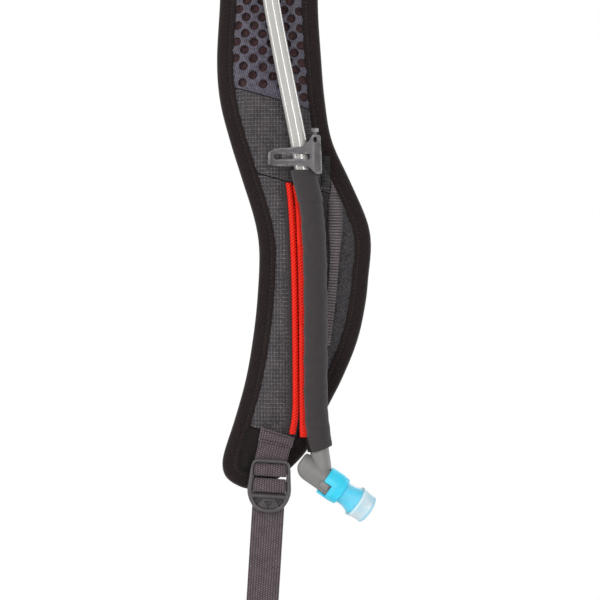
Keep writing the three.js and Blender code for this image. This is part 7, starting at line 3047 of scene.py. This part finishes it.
@dataclass
class Studio:
    """Camera, lamps, backdrop and floor."""

    centre: Triple = (19.2, 0.0, -321.0)
    distance: float = 1500.0
    view_width: float = 360.0
    lamps: tuple[tuple[str, Triple, float, float, float], ...] = (
        ("key", (-0.9, -1.6, 0.9), 0.9, 0.9, 11.0),
        ("fill", (1.3, -1.3, 0.1), 1.2, 1.2, 1.5),
        ("back", (0.4, 1.6, 0.9), 1.2, 1.2, 9.0),
        ("middle_strip", (0.34, -1.55, 0.0), 0.3, 1.7, 9.0),
        ("left_strip", (-1.5, -0.2, 0.0), 0.4, 1.7, 7.0),
        ("right_strip", (1.4, 0.7, 0.0), 0.4, 1.7, 8.0))

    def build(self) -> None:
        """Make the camera, the light and the floor."""
        scene = bpy.context.scene
        scene.view_settings.view_transform = "Standard"
        camera = bpy.data.cameras.new("front_camera")
        camera.sensor_width = 36.0
        camera.lens = 36.0 * self.distance / self.view_width
        camera.clip_end = 20.0
        holder = bpy.data.objects.new("front_camera", camera)
        holder.location = (self.centre[0] * MM, (-self.distance - 8.0) * MM, self.centre[2] * MM)
        holder.rotation_euler = (math.pi / 2, 0, 0)
        scene.collection.objects.link(holder)
        scene.camera = holder
        self.world()
        for name, place, width, height, power in self.lamps:
            self.lamp(name, place, width, height, power)
        self.floor()

    def world(self) -> None:
        """Set even light, and white where the camera sees past the object."""
        world = bpy.data.worlds.new("studio")
        bpy.context.scene.world = world
        world.use_nodes = True
        world.node_tree.nodes.clear()
        tree = Tree(world.node_tree)
        light = tree.add("ShaderNodeBackground")
        light.inputs["Color"].default_value = (1.0, 1.0, 1.0, 1.0)
        rays = tree.add("ShaderNodeLightPath")
        seen = tree.math("MAXIMUM", rays.outputs["Is Camera Ray"],
                         rays.outputs["Is Transmission Ray"])
        strength = tree.math("MULTIPLY_ADD", seen, 0.45, 0.55)
        tree.join(strength, light.inputs["Strength"])
        output = tree.add("ShaderNodeOutputWorld")
        tree.join(light.outputs[0], output.inputs["Surface"])

    def lamp(self, name: str, place: Triple, width: float, height: float,
             power: float) -> None:
        """Add a soft lamp that faces the strap.

        Args:
            name: Name of the lamp.
            place: Its place in metres, from the middle of the view.
            width: Its width in metres.
            height: Its height in metres.
            power: Its power in watts.
        """
        lamp = bpy.data.lights.new(name, "AREA")
        lamp.shape = "RECTANGLE"
        lamp.size, lamp.size_y = width, height
        lamp.energy = power
        holder = bpy.data.objects.new(name, lamp)
        target = Vector(self.centre) * MM
        holder.location = target + Vector(place)
        holder.rotation_euler = (target - holder.location).to_track_quat("-Z", "Y").to_euler()
        bpy.context.scene.collection.objects.link(holder)

    def floor(self) -> None:
        """Lay a plain pale floor under the strap's hanging end."""
        mesh = bpy.data.meshes.new("floor")
        mesh.from_pydata([(*polar(1.35, angle), -0.7) for angle in around(96)], [],
                         [list(range(96))])
        material = bpy.data.materials.new("pale_floor")
        material.use_nodes = True
        shader = material.node_tree.nodes["Principled BSDF"]
        shader.inputs["Base Color"].default_value = (0.86, 0.86, 0.86, 1.0)
        shader.inputs["Roughness"].default_value = 0.8
        mesh.materials.append(material)
        floor = bpy.data.objects.new("floor", mesh)
        bpy.context.scene.collection.objects.link(floor)
        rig.stage(floor)


def main() -> None:
    """Dress the strap from the free hose down to the bite valve."""
    logging.basicConfig(level=logging.INFO, format="%(name)s: %(message)s")
    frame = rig.load()
    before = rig.bounds()
    LOG.info("%d solids loaded", len(frame["nodes"]))
    Studio().build()
    finishes = Finishes()
    FreeHose(finishes).build()
    strap = PaddedStrap(finishes)
    strap.build(frame["nodes"]["foam_core"])
    RailSide(finishes, strap.surface).build()
    MagnetPiping(finishes, strap.surface).build()
    DrinkingHose(finishes).build()
    HoseClip(finishes).build()
    BuckleAndWebbing(finishes).build()
    BiteValve(finishes).build()
    finish_rest(frame, finishes)
    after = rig.bounds()
    with open("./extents.json", "w", encoding="utf-8") as target:
        json.dump({"solids": [list(v) for v in before], "visual": [list(v) for v in after]},
                  target)


if __name__ == "__main__":
    main()
